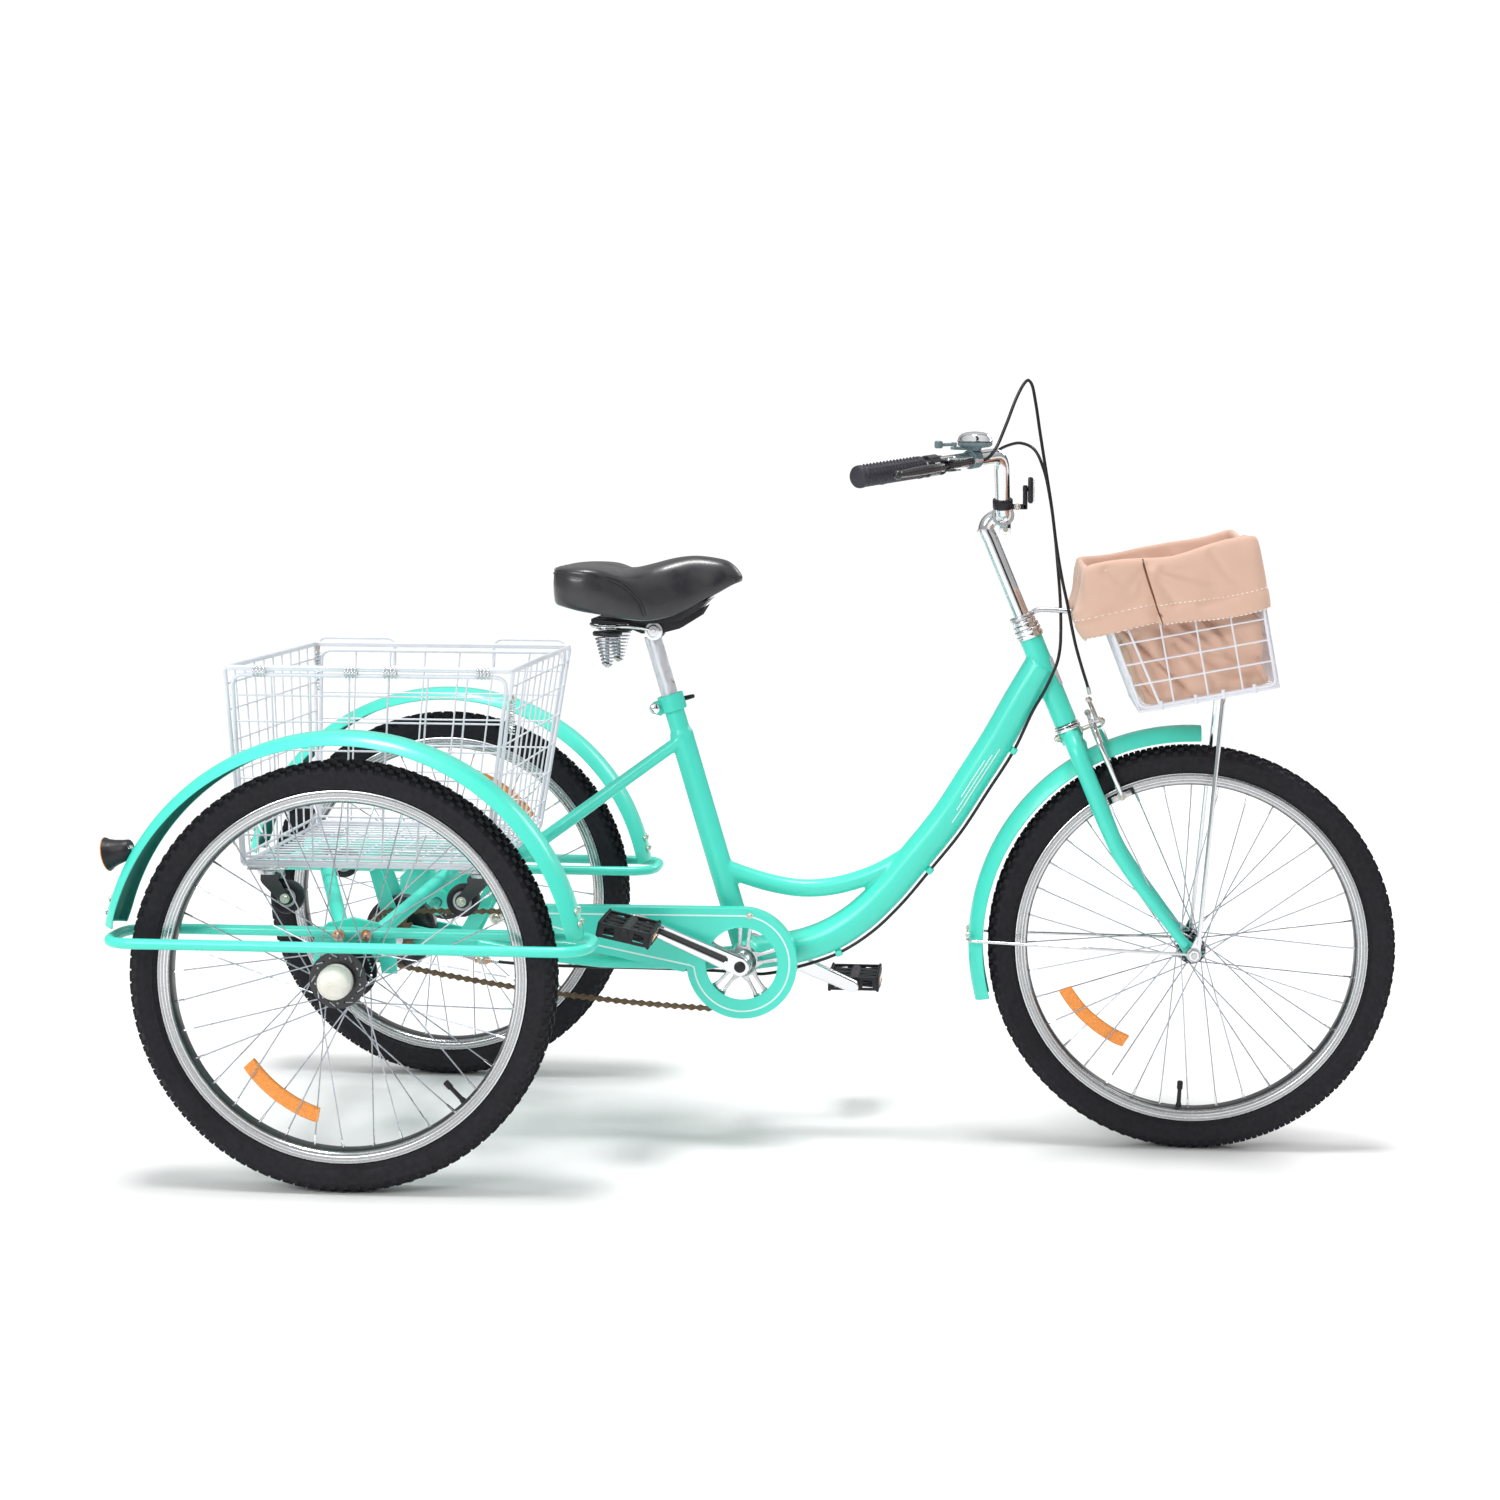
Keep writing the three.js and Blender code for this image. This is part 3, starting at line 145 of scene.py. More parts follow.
def make_studio():
    """A white backdrop; what the metal reflects is softboxes with dark gaps between them."""
    scene = bpy.context.scene
    scene.view_settings.view_transform = "Standard"
    world = bpy.data.worlds.new("studio")
    world.use_nodes = True
    nodes, links = world.node_tree.nodes, world.node_tree.links
    place = nodes.new("ShaderNodeTexCoord").outputs["Generated"]
    turn = nodes.new("ShaderNodeTexGradient")
    turn.gradient_type = "RADIAL"
    links.new(place, turn.inputs["Vector"])
    bands = ramp(nodes, SOFTBOXES)
    links.new(turn.outputs["Fac"], bands.inputs["Fac"])
    split = nodes.new("ShaderNodeSeparateXYZ")
    links.new(place, split.inputs["Vector"])
    rise = ramp(nodes, FLOOR_TO_CEILING)
    links.new(split.outputs["Z"], rise.inputs["Fac"])
    sky = nodes.new("ShaderNodeMix")
    sky.data_type = "RGBA"
    sky.blend_type = "MULTIPLY"
    sky.inputs["Factor"].default_value = 1
    links.new(bands.outputs["Color"], sky.inputs[6])
    links.new(rise.outputs["Color"], sky.inputs[7])
    backdrop = nodes.new("ShaderNodeMix")
    backdrop.data_type = "RGBA"
    links.new(nodes.new("ShaderNodeLightPath").outputs["Is Camera Ray"], backdrop.inputs["Factor"])
    links.new(sky.outputs[2], backdrop.inputs[6])
    backdrop.inputs[7].default_value = BACKDROP_WHITE
    links.new(backdrop.outputs[2], nodes["Background"].inputs["Color"])
    scene.world = world
    for light in LIGHTS:
        add_light(*light)


# ---------------------------------------------------------------- shapes, as (vertices, faces)
def moved(shape, matrix):
    vertices, faces = shape
    return [matrix @ v for v in vertices], faces


def joined(*shapes):
    vertices, faces = [], []
    for verts, polys in shapes:
        base = len(vertices)
        vertices += verts
        faces += [[base + i for i in poly] for poly in polys]
    return vertices, faces


def along(origin, direction, turn=0.0):
    """Turns +Y to a direction, with +Z kept as near up as it can be, and moves the origin to a point."""
    y = Vector(direction).normalized()
    up = Z_AXIS if abs(y.z) < 0.95 else vec(1, 0, 0)
    x = y.cross(up).normalized()
    z = x.cross(y)
    matrix = Matrix((x, y, z)).transposed().to_4x4()
    matrix.translation = origin
    return matrix @ Matrix.Rotation(turn, 4, "Y")


def frames_along(points, closed=False):
    """Tangents and sideways directions along a line, turned as little as possible."""
    count = len(points)
    tangents = []
    for i in range(count):
        before = points[i - 1] if i > 0 or closed else points[i]
        after = points[(i + 1) % count] if i < count - 1 or closed else points[i]
        tangents.append((after - before).normalized())
    side = tangents[0].orthogonal().normalized()
    sides = []
    for tangent in tangents:
        side = (side - tangent * side.dot(tangent)).normalized()
        sides.append(side.copy())
    return tangents, sides


def tube(points, radius, sides=14, closed=False):
    """A round bar along points; radius is one number, or one for each point."""
    points = [Vector(p) for p in points]
    radii = radius if hasattr(radius, "__len__") else [radius] * len(points)
    tangents, across = frames_along(points, closed)
    vertices = []
    for point, r, tangent, side in zip(points, radii, tangents, across):
        other = tangent.cross(side)
        for k in range(sides):
            angle = 2 * PI * k / sides
            vertices.append(point + side * (r * cos(angle)) + other * (r * sin(angle)))
    faces = []
    rings = len(points) if closed else len(points) - 1
    for i in range(rings):
        a, b = i * sides, ((i + 1) % len(points)) * sides
        for k in range(sides):
            n = (k + 1) % sides
            faces.append([a + k, a + n, b + n, b + k])
    if not closed:
        faces.append(list(reversed(range(sides))))
        faces.append([(len(points) - 1) * sides + k for k in range(sides)])
    return vertices, faces


def rod(start, end, radius, sides=16, end_radius=None, chamfer=0.0):
    """A straight round bar, with chamfered ends if asked."""
    start, end = Vector(start), Vector(end)
    last = radius if end_radius is None else end_radius
    if chamfer <= 0:
        return tube([start, end], [radius, last], sides)
    step = (end - start).normalized() * chamfer
    points = [start, start + step, end - step, end]
    return tube(points, [radius - chamfer, radius, last, last - chamfer], sides)


def lathe(profile, origin, direction=Y_AXIS, sides=48):
    """A turned piece; its profile is (radius, distance), open on the axis or closed on itself."""
    closed = profile[0] == profile[-1]
    rings = profile[:-1] if closed else profile
    vertices, faces, starts = [], [], []
    for radius, distance in rings:
        starts.append((len(vertices), radius <= 0))
        count = 1 if radius <= 0 else sides
        for k in range(count):
            angle = 2 * PI * k / sides
            vertices.append(polar(angle, radius, distance))
    pairs = len(rings) if closed else len(rings) - 1
    for i in range(pairs):
        (a, a_point), (b, b_point) = starts[i], starts[(i + 1) % len(rings)]
        for k in range(sides):
            n = (k + 1) % sides
            if a_point and b_point:
                continue
            if a_point:
                faces.append([a, b + k, b + n])
            elif b_point:
                faces.append([a + k, b, a + n])
            else:
                faces.append([a + k, b + k, b + n, a + n])
    return moved((vertices, faces), along(Vector(origin), direction))


def torus(centre, axis, ring_radius, wire_radius, ring_sides=24, wire_sides=8):
    matrix = along(Vector(centre), axis)
    points = []
    for k in range(ring_sides):
        angle = 2 * PI * k / ring_sides
        points.append(matrix @ polar(angle, ring_radius))
    return tube(points, wire_radius, wire_sides, closed=True)


def coil(start, end, radius, end_radius, turns, wire, sides=8, steps=18):
    """A helical wire about the line from start to end."""
    start, end = Vector(start), Vector(end)
    matrix = along(start, end - start)
    length = (end - start).length
    points = []
    total = int(turns * steps)
    for i in range(total + 1):
        share = i / total
        angle = 2 * PI * turns * share
        r = radius + (end_radius - radius) * share
        points.append(matrix @ polar(angle, r, length * share))
    return tube(points, wire, sides)


def block(xs, ys, zs, bevel=1.0, matrix=None):
    """A box with rounded edges."""
    mesh = bmesh.new()
    bmesh.ops.create_cube(mesh, size=1)
    scale = vec(xs[1] - xs[0], ys[1] - ys[0], zs[1] - zs[0])
    middle = vec(xs[0] + xs[1], ys[0] + ys[1], zs[0] + zs[1]) / 2
    for vertex in mesh.verts:
        vertex.co = vec(vertex.co.x * scale.x, vertex.co.y * scale.y, vertex.co.z * scale.z) + middle
    if bevel > 0:
        bmesh.ops.bevel(mesh, geom=mesh.edges[:], offset=bevel, segments=2, affect="EDGES", profile=0.5)
    mesh.verts.index_update()
    shape = ([v.co.copy() for v in mesh.verts], [[v.index for v in f.verts] for f in mesh.faces])
    mesh.free()
    return moved(shape, matrix) if matrix else shape


def ball(centre, radius, rings=12, sides=20):
    profile = [(radius * sin(PI * i / rings), -radius * cos(PI * i / rings)) for i in range(rings + 1)]
    profile[0], profile[-1] = (0, -radius), (0, radius)
    vertices, faces = lathe(profile, (0, 0, 0), sides=sides)
    return [centre + v for v in vertices], faces


def plate(outlines, y0, y1, bevel=0.8):
    """A flat plate in the XZ plane with softened edges; the outlines after the first are its windows."""
    curve = bpy.data.curves.new("outline", "CURVE")
    curve.dimensions = "2D"
    curve.fill_mode = "BOTH"
    curve.extrude = abs(y1 - y0) / 2 - bevel
    curve.bevel_depth = bevel
    curve.bevel_resolution = 1
    curve.offset = -bevel
    for outline in outlines:
        spline = curve.splines.new("POLY")
        spline.points.add(len(outline) - 1)
        for point, (x, z) in zip(spline.points, outline):
            point.co = (x, z, 0, 1)
        spline.use_cyclic_u = True
    holder = bpy.data.objects.new("outline", curve)
    bpy.context.collection.objects.link(holder)
    bpy.context.view_layer.update()
    mesh = bpy.data.meshes.new_from_object(holder.evaluated_get(bpy.context.evaluated_depsgraph_get()))
    middle = (y0 + y1) / 2
    vertices = [vec(v.co.x, middle - v.co.z, v.co.y) for v in mesh.vertices]
    faces = [list(p.vertices) for p in mesh.polygons]
    bpy.data.objects.remove(holder)
    bpy.data.curves.remove(curve)
    bpy.data.meshes.remove(mesh)
    return vertices, faces


def arc(centre, radius, start, end, steps=16):
    """Points (x, z) on an arc, between two angles in degrees."""
    points = []
    for i in range(steps + 1):
        angle = radians(start + (end - start) * i / steps)
        points.append((centre[0] + radius * cos(angle), centre[1] + radius * sin(angle)))
    return points


def collar(inner, outer, low, high, cut=1):
    """The closed profile of a ring with chamfered outer edges."""
    edge = [(outer - cut, low), (outer, low + 1), (outer, high - 1), (outer - cut, high)]
    return [(inner, low), *edge, (inner, high), (inner, low)]


def link_outline(start, end, start_radius, end_radius):
    """Two round ends joined by straight sides."""
    heading = degrees(atan2(end[1] - start[1], end[0] - start[0]))
    first = arc(start, start_radius, heading + 90, heading + 270, 10)
    return first + arc(end, end_radius, heading - 90, heading + 90, 10)


def smooth(points, steps=40):
    """A smooth line through a few points (centripetal Catmull-Rom), with evenly spaced steps."""
    points = [Vector(p) for p in points]
    first = points[0] * 2 - points[1]
    last = points[-1] * 2 - points[-2]
    chain = [first, *points, last]
    fine = []
    for i in range(1, len(chain) - 2):
        p0, p1, p2, p3 = chain[i - 1 : i + 3]
        d1, d2, d3 = (p1 - p0).length ** 0.5, (p2 - p1).length ** 0.5, (p3 - p2).length ** 0.5
        m1 = ((p1 - p0) / d1 - (p2 - p0) / (d1 + d2) + (p2 - p1) / d2) * d2
        m2 = ((p2 - p1) / d2 - (p3 - p1) / (d2 + d3) + (p3 - p2) / d3) * d2
        for k in range(12):
            t = k / 12
            a, b = 2 * t**3 - 3 * t**2 + 1, t**3 - 2 * t**2 + t
            c, d = -2 * t**3 + 3 * t**2, t**3 - t**2
            fine.append(p1 * a + m1 * b + p2 * c + m2 * d)
    fine.append(points[-1])
    return even(fine, steps)


def line_length(points):
    return sum((after - before).length for before, after in zip(points, points[1:]))


def even(points, steps):
    """The same line with points at equal distances."""
    lengths = [0.0]
    for before, after in zip(points, points[1:]):
        lengths.append(lengths[-1] + (after - before).length)
    result, i = [], 0
    for k in range(steps + 1):
        wanted = lengths[-1] * k / steps
        while i < len(points) - 2 and lengths[i + 1] < wanted:
            i += 1
        share = (wanted - lengths[i]) / max(lengths[i + 1] - lengths[i], 1e-9)
        result.append(points[i].lerp(points[i + 1], min(share, 1.0)))
    return result


def bent(points, radii, steps=8):
    """Straight runs with round bends at the inner points."""
    points = [Vector(p) for p in points]
    path = [points[0]]
    for i in range(1, len(points) - 1):
        back = (points[i - 1] - points[i]).normalized()
        ahead = (points[i + 1] - points[i]).normalized()
        setback = radii[i - 1] / tan(back.angle(ahead) / 2)
        start, end = points[i] + back * setback, points[i] + ahead * setback
        for k in range(steps + 1):
            t = k / steps
            path.append(start * (1 - t) ** 2 + points[i] * (2 * t * (1 - t)) + end * t**2)
    path.append(points[-1])
    return path


class Piece:
    """Collects shapes in millimetres and becomes one object that rides on a CAD body."""

    def __init__(self, name):
        self.name = name
        self.vertices, self.faces, self.marks, self.materials = [], [], [], []

    def add(self, shape, material):
        """Takes in a shape with the finish M[material]."""
        vertices, faces = shape
        base = len(self.vertices)
        if material not in self.materials:
            self.materials.append(material)
        self.vertices += vertices
        self.faces += [[base + i for i in face] for face in faces]
        self.marks += [self.materials.index(material)] * len(faces)
        return self

    def done(self, body, slot, replaces=(), sharp=38):
        mesh = bpy.data.meshes.new(self.name)
        shift = vec(AXLE.x, 0, 0)
        mesh.from_pydata([v * MM + shift for v in self.vertices], [], self.faces)
        for material in self.materials:
            mesh.materials.append(M[material])
        mesh.polygons.foreach_set("material_index", self.marks)
        mesh.polygons.foreach_set("use_smooth", [True] * len(mesh.polygons))
        tidy = bmesh.new()
        tidy.from_mesh(mesh)
        bmesh.ops.recalc_face_normals(tidy, faces=tidy.faces)
        tidy.to_mesh(mesh)
        tidy.free()
        mesh.set_sharp_from_angle(angle=radians(sharp))
        piece = bpy.data.objects.new(self.name, mesh)
        bpy.context.collection.objects.link(piece)
        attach(piece, body)
        if replaces:
            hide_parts(*replaces)
        return piece


def welded(shapes, voxel, rounds):
    """Tubes melted into one skin with soft fillets where they meet."""
    vertices, faces = joined(*shapes)
    mesh = bpy.data.meshes.new("welded")
    mesh.from_pydata(vertices, [], faces)
    holder = bpy.data.objects.new("welded", mesh)
    bpy.context.collection.objects.link(holder)
    remesh = holder.modifiers.new("remesh", "REMESH")
    remesh.mode = "VOXEL"
    remesh.voxel_size = voxel
    relax = holder.modifiers.new("relax", "SMOOTH")
    relax.factor = 0.5
    relax.iterations = rounds
    bpy.context.view_layer.update()
    result = bpy.data.meshes.new_from_object(holder.evaluated_get(bpy.context.evaluated_depsgraph_get()))
    shape = ([v.co.copy() for v in result.vertices], [list(p.vertices) for p in result.polygons])
    bpy.data.objects.remove(holder)
    bpy.data.meshes.remove(mesh)
    bpy.data.meshes.remove(result)
    return shape


# ---------------------------------------------------------------- materials
class Finish:
    """A Principled material whose colour, roughness and relief vary over the surface."""

    def __init__(self, name, color, roughness, metallic=0.0, **sockets):
        self.material = bpy.data.materials.new(name)
        self.material.use_nodes = True
        self.nodes = self.material.node_tree.nodes
        self.links = self.material.node_tree.links
        self.shader = self.nodes["Principled BSDF"]
        self.color = color
        self.set("Base Color", (*color, 1))
        self.set("Roughness", roughness)
        self.set("Metallic", metallic)
        for socket, value in sockets.items():
            self.set(socket.replace("_", " "), value)
        self.place = self.nodes.new("ShaderNodeTexCoord").outputs["Object"]
        self.relief = None

    def set(self, socket, value):
        self.shader.inputs[socket].default_value = value

    def node(self, kind, settings=None, **inputs):
        node = self.nodes.new(kind)
        for key, value in (settings or {}).items():
            setattr(node, key, value)
        for key, value in inputs.items():
            socket = node.inputs[key.replace("_", " ")]
            if isinstance(value, bpy.types.NodeSocket):
                self.links.new(value, socket)
            else:
                socket.default_value = value
        return node

    def noise(self, scale, detail=3.0, stretch=None):
        place = self.place
        if stretch:
            place = self.node("ShaderNodeMapping", Vector=place, Scale=stretch).outputs["Vector"]
        return self.node("ShaderNodeTexNoise", Vector=place, Scale=scale, Detail=detail).outputs["Fac"]

    def cells(self, scale, feature="F1"):
        settings = {"feature": feature}
        return self.node("ShaderNodeTexVoronoi", settings, Vector=self.place, Scale=scale).outputs["Distance"]

    def waves(self, scale, axis, distortion=0.0):
        settings = {"wave_type": "BANDS", "bands_direction": axis}
        node = self.node("ShaderNodeTexWave", settings, Vector=self.place, Scale=scale, Distortion=distortion)
        return node.outputs["Fac"]

    def rings(self, centre, pitch):
        """Fine rings about a wheel's axle."""
        value = self.place
        for kind, operation, other in (
            ("VectorMath", "SUBTRACT", centre), ("VectorMath", "MULTIPLY", (1, 0, 1)),
            ("VectorMath", "LENGTH", None), ("Math", "MULTIPLY", 2 * PI / pitch), ("Math", "SINE", None),
        ):
            node = self.node(f"ShaderNode{kind}", {"operation": operation})
            self.links.new(value, node.inputs[0])
            if other is not None:
                node.inputs[1].default_value = other
            value = node.outputs["Value" if operation == "LENGTH" else 0]
        return value

    def mottle(self, source, dark=0.85, light=1.1):
        low = (*(min(c * dark, 1) for c in self.color), 1)
        high = (*(min(c * light, 1) for c in self.color), 1)
        mix = self.node("ShaderNodeMix", {"data_type": "RGBA"})
        self.links.new(source, mix.inputs["Factor"])
        mix.inputs[6].default_value, mix.inputs[7].default_value = low, high
        self.links.new(mix.outputs[2], self.shader.inputs["Base Color"])
        return self

    def uneven(self, source, low, high):
        spread = self.node("ShaderNodeMapRange", Value=source, To_Min=low, To_Max=high)
        spread.inputs["From Min"].default_value = 0.3
        spread.inputs["From Max"].default_value = 0.7
        self.links.new(spread.outputs["Result"], self.shader.inputs["Roughness"])
        return self

    def bump(self, source, depth_mm, strength=0.6):
        bump = self.node("ShaderNodeBump", Height=source, Strength=strength, Distance=depth_mm * MM)
        if self.relief:
            self.links.new(self.relief, bump.inputs["Normal"])
        self.relief = bump.outputs["Normal"]
        self.links.new(self.relief, self.shader.inputs["Normal"])
        return self


def surface(name, color, roughness, stain, wear, grain, metallic=0.0, **sockets):
    """A finish made of noises. Stain: scale, detail, darkest and lightest share of the colour. Wear: scale,
    detail, least and most roughness. Grain: scale, detail, perhaps a stretch, depth in mm, and strength."""
    look = Finish(name, color, roughness, metallic, **sockets)
    look.mottle(look.noise(*stain[:2]), *stain[2:])
    look.uneven(look.noise(*wear[:2]), *wear[2:])
    return look.bump(look.noise(*grain[:-2]), *grain[-2:]).material


def gloss_paint(name, color, roughness):
    """Sprayed enamel: faint orange peel, a slow change of depth and a clear coat."""
    wear = (60, 3, roughness - 0.06, roughness + 0.08)
    coat = {"Coat_Weight": 0.35, "Coat_Roughness": 0.12}
    return surface(name, color, roughness, (7, 4, 0.93, 1.05), wear, (420, 2, 0.05, 0.25), **coat)


def plated(name, color, roughness):
    """Bright plate with faint smudges and polishing marks."""
    wear = (90, 4, roughness * 0.6, roughness * 1.6)
    return surface(name, color, roughness, (30, 4, 0.9, 1.04), wear, (900, 2, (1, 1, 0.2), 0.02, 0.15), 1.0)


def moulded(name, color, roughness, grain, depth):
    """Moulded plastic or rubber with a fine spark-eroded grain."""
    wear = (160, 3, roughness - 0.1, roughness + 0.12)
    grain = (grain, 3, depth, 0.5)
    return surface(name, color, roughness, (40, 4, 0.75, 1.3), wear, grain, Specular_IOR_Level=0.4)


def spun_rim(name, centre, color, roughness):
    """Machined aluminium with fine turned rings in its relief, and darker rings in its colour as painted
    shade of the grooves.
    """
    look = Finish(name, color, roughness, 1.0)
    # Painted shade: darker rings in the colour every 4.4 mm, standing in for the dark lines of the rim's
    # grooves.
    look.mottle(look.rings(centre, 4.4 * MM), 0.5, 1.12)
    look.uneven(look.noise(110, 3), roughness - 0.04, roughness + 0.06)
    return look.bump(look.rings(centre, 1.4 * MM), 0.004, 0.15).material


def grained_leather():
    """Black vinyl leather with a pebbled grain."""
    gloss = {"Specular_IOR_Level": 0.6, "Coat_Weight": 0.5, "Coat_Roughness": 0.22}
    look = Finish("black_leather", (0.008, 0.007, 0.011), 0.34, **gloss)
    look.mottle(look.noise(18, 5), 0.75, 1.6)
    look.uneven(look.noise(70, 4), 0.3, 0.48)
    look.bump(look.cells(1050, "DISTANCE_TO_EDGE"), 0.16, 0.35)
    return look.bump(look.noise(260, 3), 0.1, 0.25).material


def canvas():
    """Plain-woven canvas: crossed threads, slubs and a soft sheen."""
    look = Finish("beige_canvas", (0.70, 0.465, 0.36), 0.9, Sheen_Weight=0.15, Sheen_Roughness=0.5)
    look.mottle(look.noise(22, 6), 0.9, 1.08)
    for axis in ("X", "Y", "Z"):
        look.bump(look.waves(520, axis, 0.6), 0.12, 0.22)
    return look.bump(look.noise(90, 4), 0.5, 0.35).material


def prism_lens_with_painted_glow(name, color):
    """A reflector: clear gloss over small moulded prisms, with a painted glow in its own colour and painted
    glints that lighten each prism towards its edge.
    """
    # Painted glow: emission makes the lens shine faintly in its own colour, though it is no lamp.
    look = Finish(name, color, 0.18, Coat_Weight=1.0, Coat_Roughness=0.03, Emission_Strength=0.12)
    look.set("Emission Color", (*color, 1))
    # Painted glints: the colour lightens towards each prism's edge, as light caught by the facets.
    look.mottle(look.cells(420), 0.65, 1.25)
    return look.bump(look.cells(420), 0.8, 0.9).material


def make_materials():
    half = Y_AXIS * TRACK_HALF * MM
    centres = {"rim_front": FRONT_AXLE, "rim_right": AXLE - half, "rim_left": AXLE + half}
    rims = {name: spun_rim(name, centre, (0.78, 0.79, 0.81), 0.24) for name, centre in centres.items()}
    return {
        "mint": gloss_paint("mint_paint", (0.066, 0.745, 0.590), 0.36),
        # Painted shade: a darker copy of the mint for the fenders' undersides.
        "painted_shade_mint": gloss_paint("painted_shade_mint_paint", (0.012, 0.22, 0.18), 0.42),
        "pale": gloss_paint("pale_stripe", (0.72, 0.93, 0.90), 0.35),
        "grey_badge": gloss_paint("badge_grey", (0.62, 0.66, 0.68), 0.3),
        "black_paint": gloss_paint("black_paint", (0.009, 0.0085, 0.012), 0.3),
        "chrome": plated("chrome_trim", (0.80, 0.81, 0.83), 0.09),
        "steel": plated("satin_steel", (0.62, 0.63, 0.65), 0.26),
        "bolt": plated("zinc_bolt", (0.66, 0.63, 0.55), 0.3),
        "copper": plated("copper_barrel", (0.72, 0.36, 0.2), 0.3),
        "spoke": plated("spoke_steel", (0.50, 0.52, 0.57), 0.3),
        **rims,
        # Painted shade: the rim's inner bed is made near black for the shade inside the rim.
        "rim_bed_painted_shade": gloss_paint("rim_bed_painted_shade_black", (0.02, 0.02, 0.022), 0.35),
        # Moulded tyre rubber, with random dusty patches.
        "tyre": surface(
            "tyre_rubber", (0.0075, 0.0068, 0.0105), 0.66, (28, 5, 0.7, 1.5), (140, 4, 0.55, 0.78),
            (700, 3, 0.1, 0.5), Specular_IOR_Level=0.3,
        ),
        "rubber": moulded("black_rubber", (0.011, 0.010, 0.014), 0.55, 700, 0.12),
        "grip": moulded("grip_rubber", (0.030, 0.028, 0.040), 0.5, 700, 0.12),
        "seat_alloy": plated("seat_post_alloy", (0.80, 0.81, 0.86), 0.42),
        "cable": moulded("cable_sheath", (0.007, 0.007, 0.008), 0.35, 500, 0.03),
        "plastic": moulded("black_plastic", (0.011, 0.010, 0.014), 0.4, 800, 0.07),
        "grey_plastic": moulded("slate_plastic", (0.15, 0.22, 0.24), 0.4, 700, 0.05),
        "pale_grey": moulded("pale_grey_plastic", (0.6, 0.62, 0.64), 0.4, 700, 0.04),
        "cream": moulded("cream_cap", (0.80, 0.78, 0.70), 0.3, 300, 0.02),
        # White vinyl dipped over wire: soft gloss, slightly lumpy.
        "wire": surface(
            "white_wire", (0.80, 0.81, 0.87), 0.4, (25, 4, 0.9, 1.05), (120, 3, 0.34, 0.5),
            (300, 2, 0.08, 0.25), Specular_IOR_Level=0.35,
        ),
        "leather": grained_leather(),
        "thread": moulded("black_thread", (0.05, 0.048, 0.055), 0.7, 1500, 0.05),
        "canvas": canvas(),
        "hem_thread": moulded("hem_thread", (0.93, 0.80, 0.72), 0.8, 1500, 0.05),
        # Painted shadow: a dark brown line along the liner's tucked slit.
        "seam": moulded("seam_shadow", (0.16, 0.07, 0.04), 0.9, 1500, 0.05),
        # Dark bronze steel, unevenly oily.
        "chain": surface(
            "chain_steel", (0.17, 0.125, 0.08), 0.36, (260, 4, 0.4, 1.3), (400, 3, 0.25, 0.55),
            (800, 3, 0.05, 0.4), 1.0,
        ),
        # Reflector lenses, each with a painted glow and painted glints on its prisms.
        "orange_lens": prism_lens_with_painted_glow("orange_lens", (0.9, 0.26, 0.012)),
        "red_lens": prism_lens_with_painted_glow("red_lens", (0.72, 0.06, 0.015)),
        "white_lens": prism_lens_with_painted_glow("white_lens", (0.85, 0.87, 0.9)),
    }


M = make_materials()


# ---------------------------------------------------------------- wheels
RIM_OUTER, RIM_INNER = 261.5, 243
KNOB_COUNT = 104
SPOKE_COUNT = 36
FLANGE_Y = 28.5
FRONT_SPOKE_CIRCLE, REAR_SPOKE_CIRCLE = 18, 32


def tyre_shape(centre):
    """The casing, closed through its beads inside the rim."""
    half = [
        (258, 0), (258, 12), (262.5, 13.6), (264.5, 16.4), (266.3, 18.2), (267.3, 20.0), (268.6, 20.0),
        (270, 20.6), (275, 22.9), (281, 24.1), (286, 24.3), (287, 24.9), (288.3, 24.8), (289.5, 23.8),
        (293, 21.6), (296, 17.5), (298, 12), (299, 6), (299.3, 0),
    ]
    profile = half + [(r, -y) for r, y in reversed(half[1:-1])] + [half[0]]
    return lathe(profile, centre, sides=144)


def knob(centre, angle, y, outer, inner, half_length, half_width, lean):
    """One block of tread, narrower at its top."""
    turn = Matrix.Rotation(-angle, 4, "Y")
    turn.translation = centre
    corners = []
    for radius, shrink in ((inner, 1.0), (outer, 0.72)):
        for across, ahead in ((-1, -1), (1, -1), (1, 1), (-1, 1)):
            x = radius - (lean * abs(y) if radius == outer else 0)
            corners.append(turn @ vec(x, y + across * half_width * shrink, ahead * half_length * shrink))
    faces = [[4, 5, 6, 7], [0, 1, 5, 4], [1, 2, 6, 5], [2, 3, 7, 6], [3, 0, 4, 7]]
    return corners, faces


def tread_shape(centre):
    pitch = 2 * PI / KNOB_COUNT
    knobs = []
    for i in range(KNOB_COUNT):
        angle = i * pitch
        knobs.append(knob(centre, angle, 0, WHEEL_RADIUS, 298.2, 4.6, 3.1 + 1.2 * (i % 2), 0))
        for side in BOTH:
            knobs.append(knob(centre, angle + pitch / 2, side * 8.6, 302.2, 297, 4.8, 2.9, 0))
            knobs.append(knob(centre, angle, side * 15.6, 299.6, 293, 5.2, 3.0, 0))
            knobs.append(knob(centre, angle + pitch / 2, side * 21.0, 295.0, 287.5, 4.4, 3.4, 0))
    return joined(*knobs)


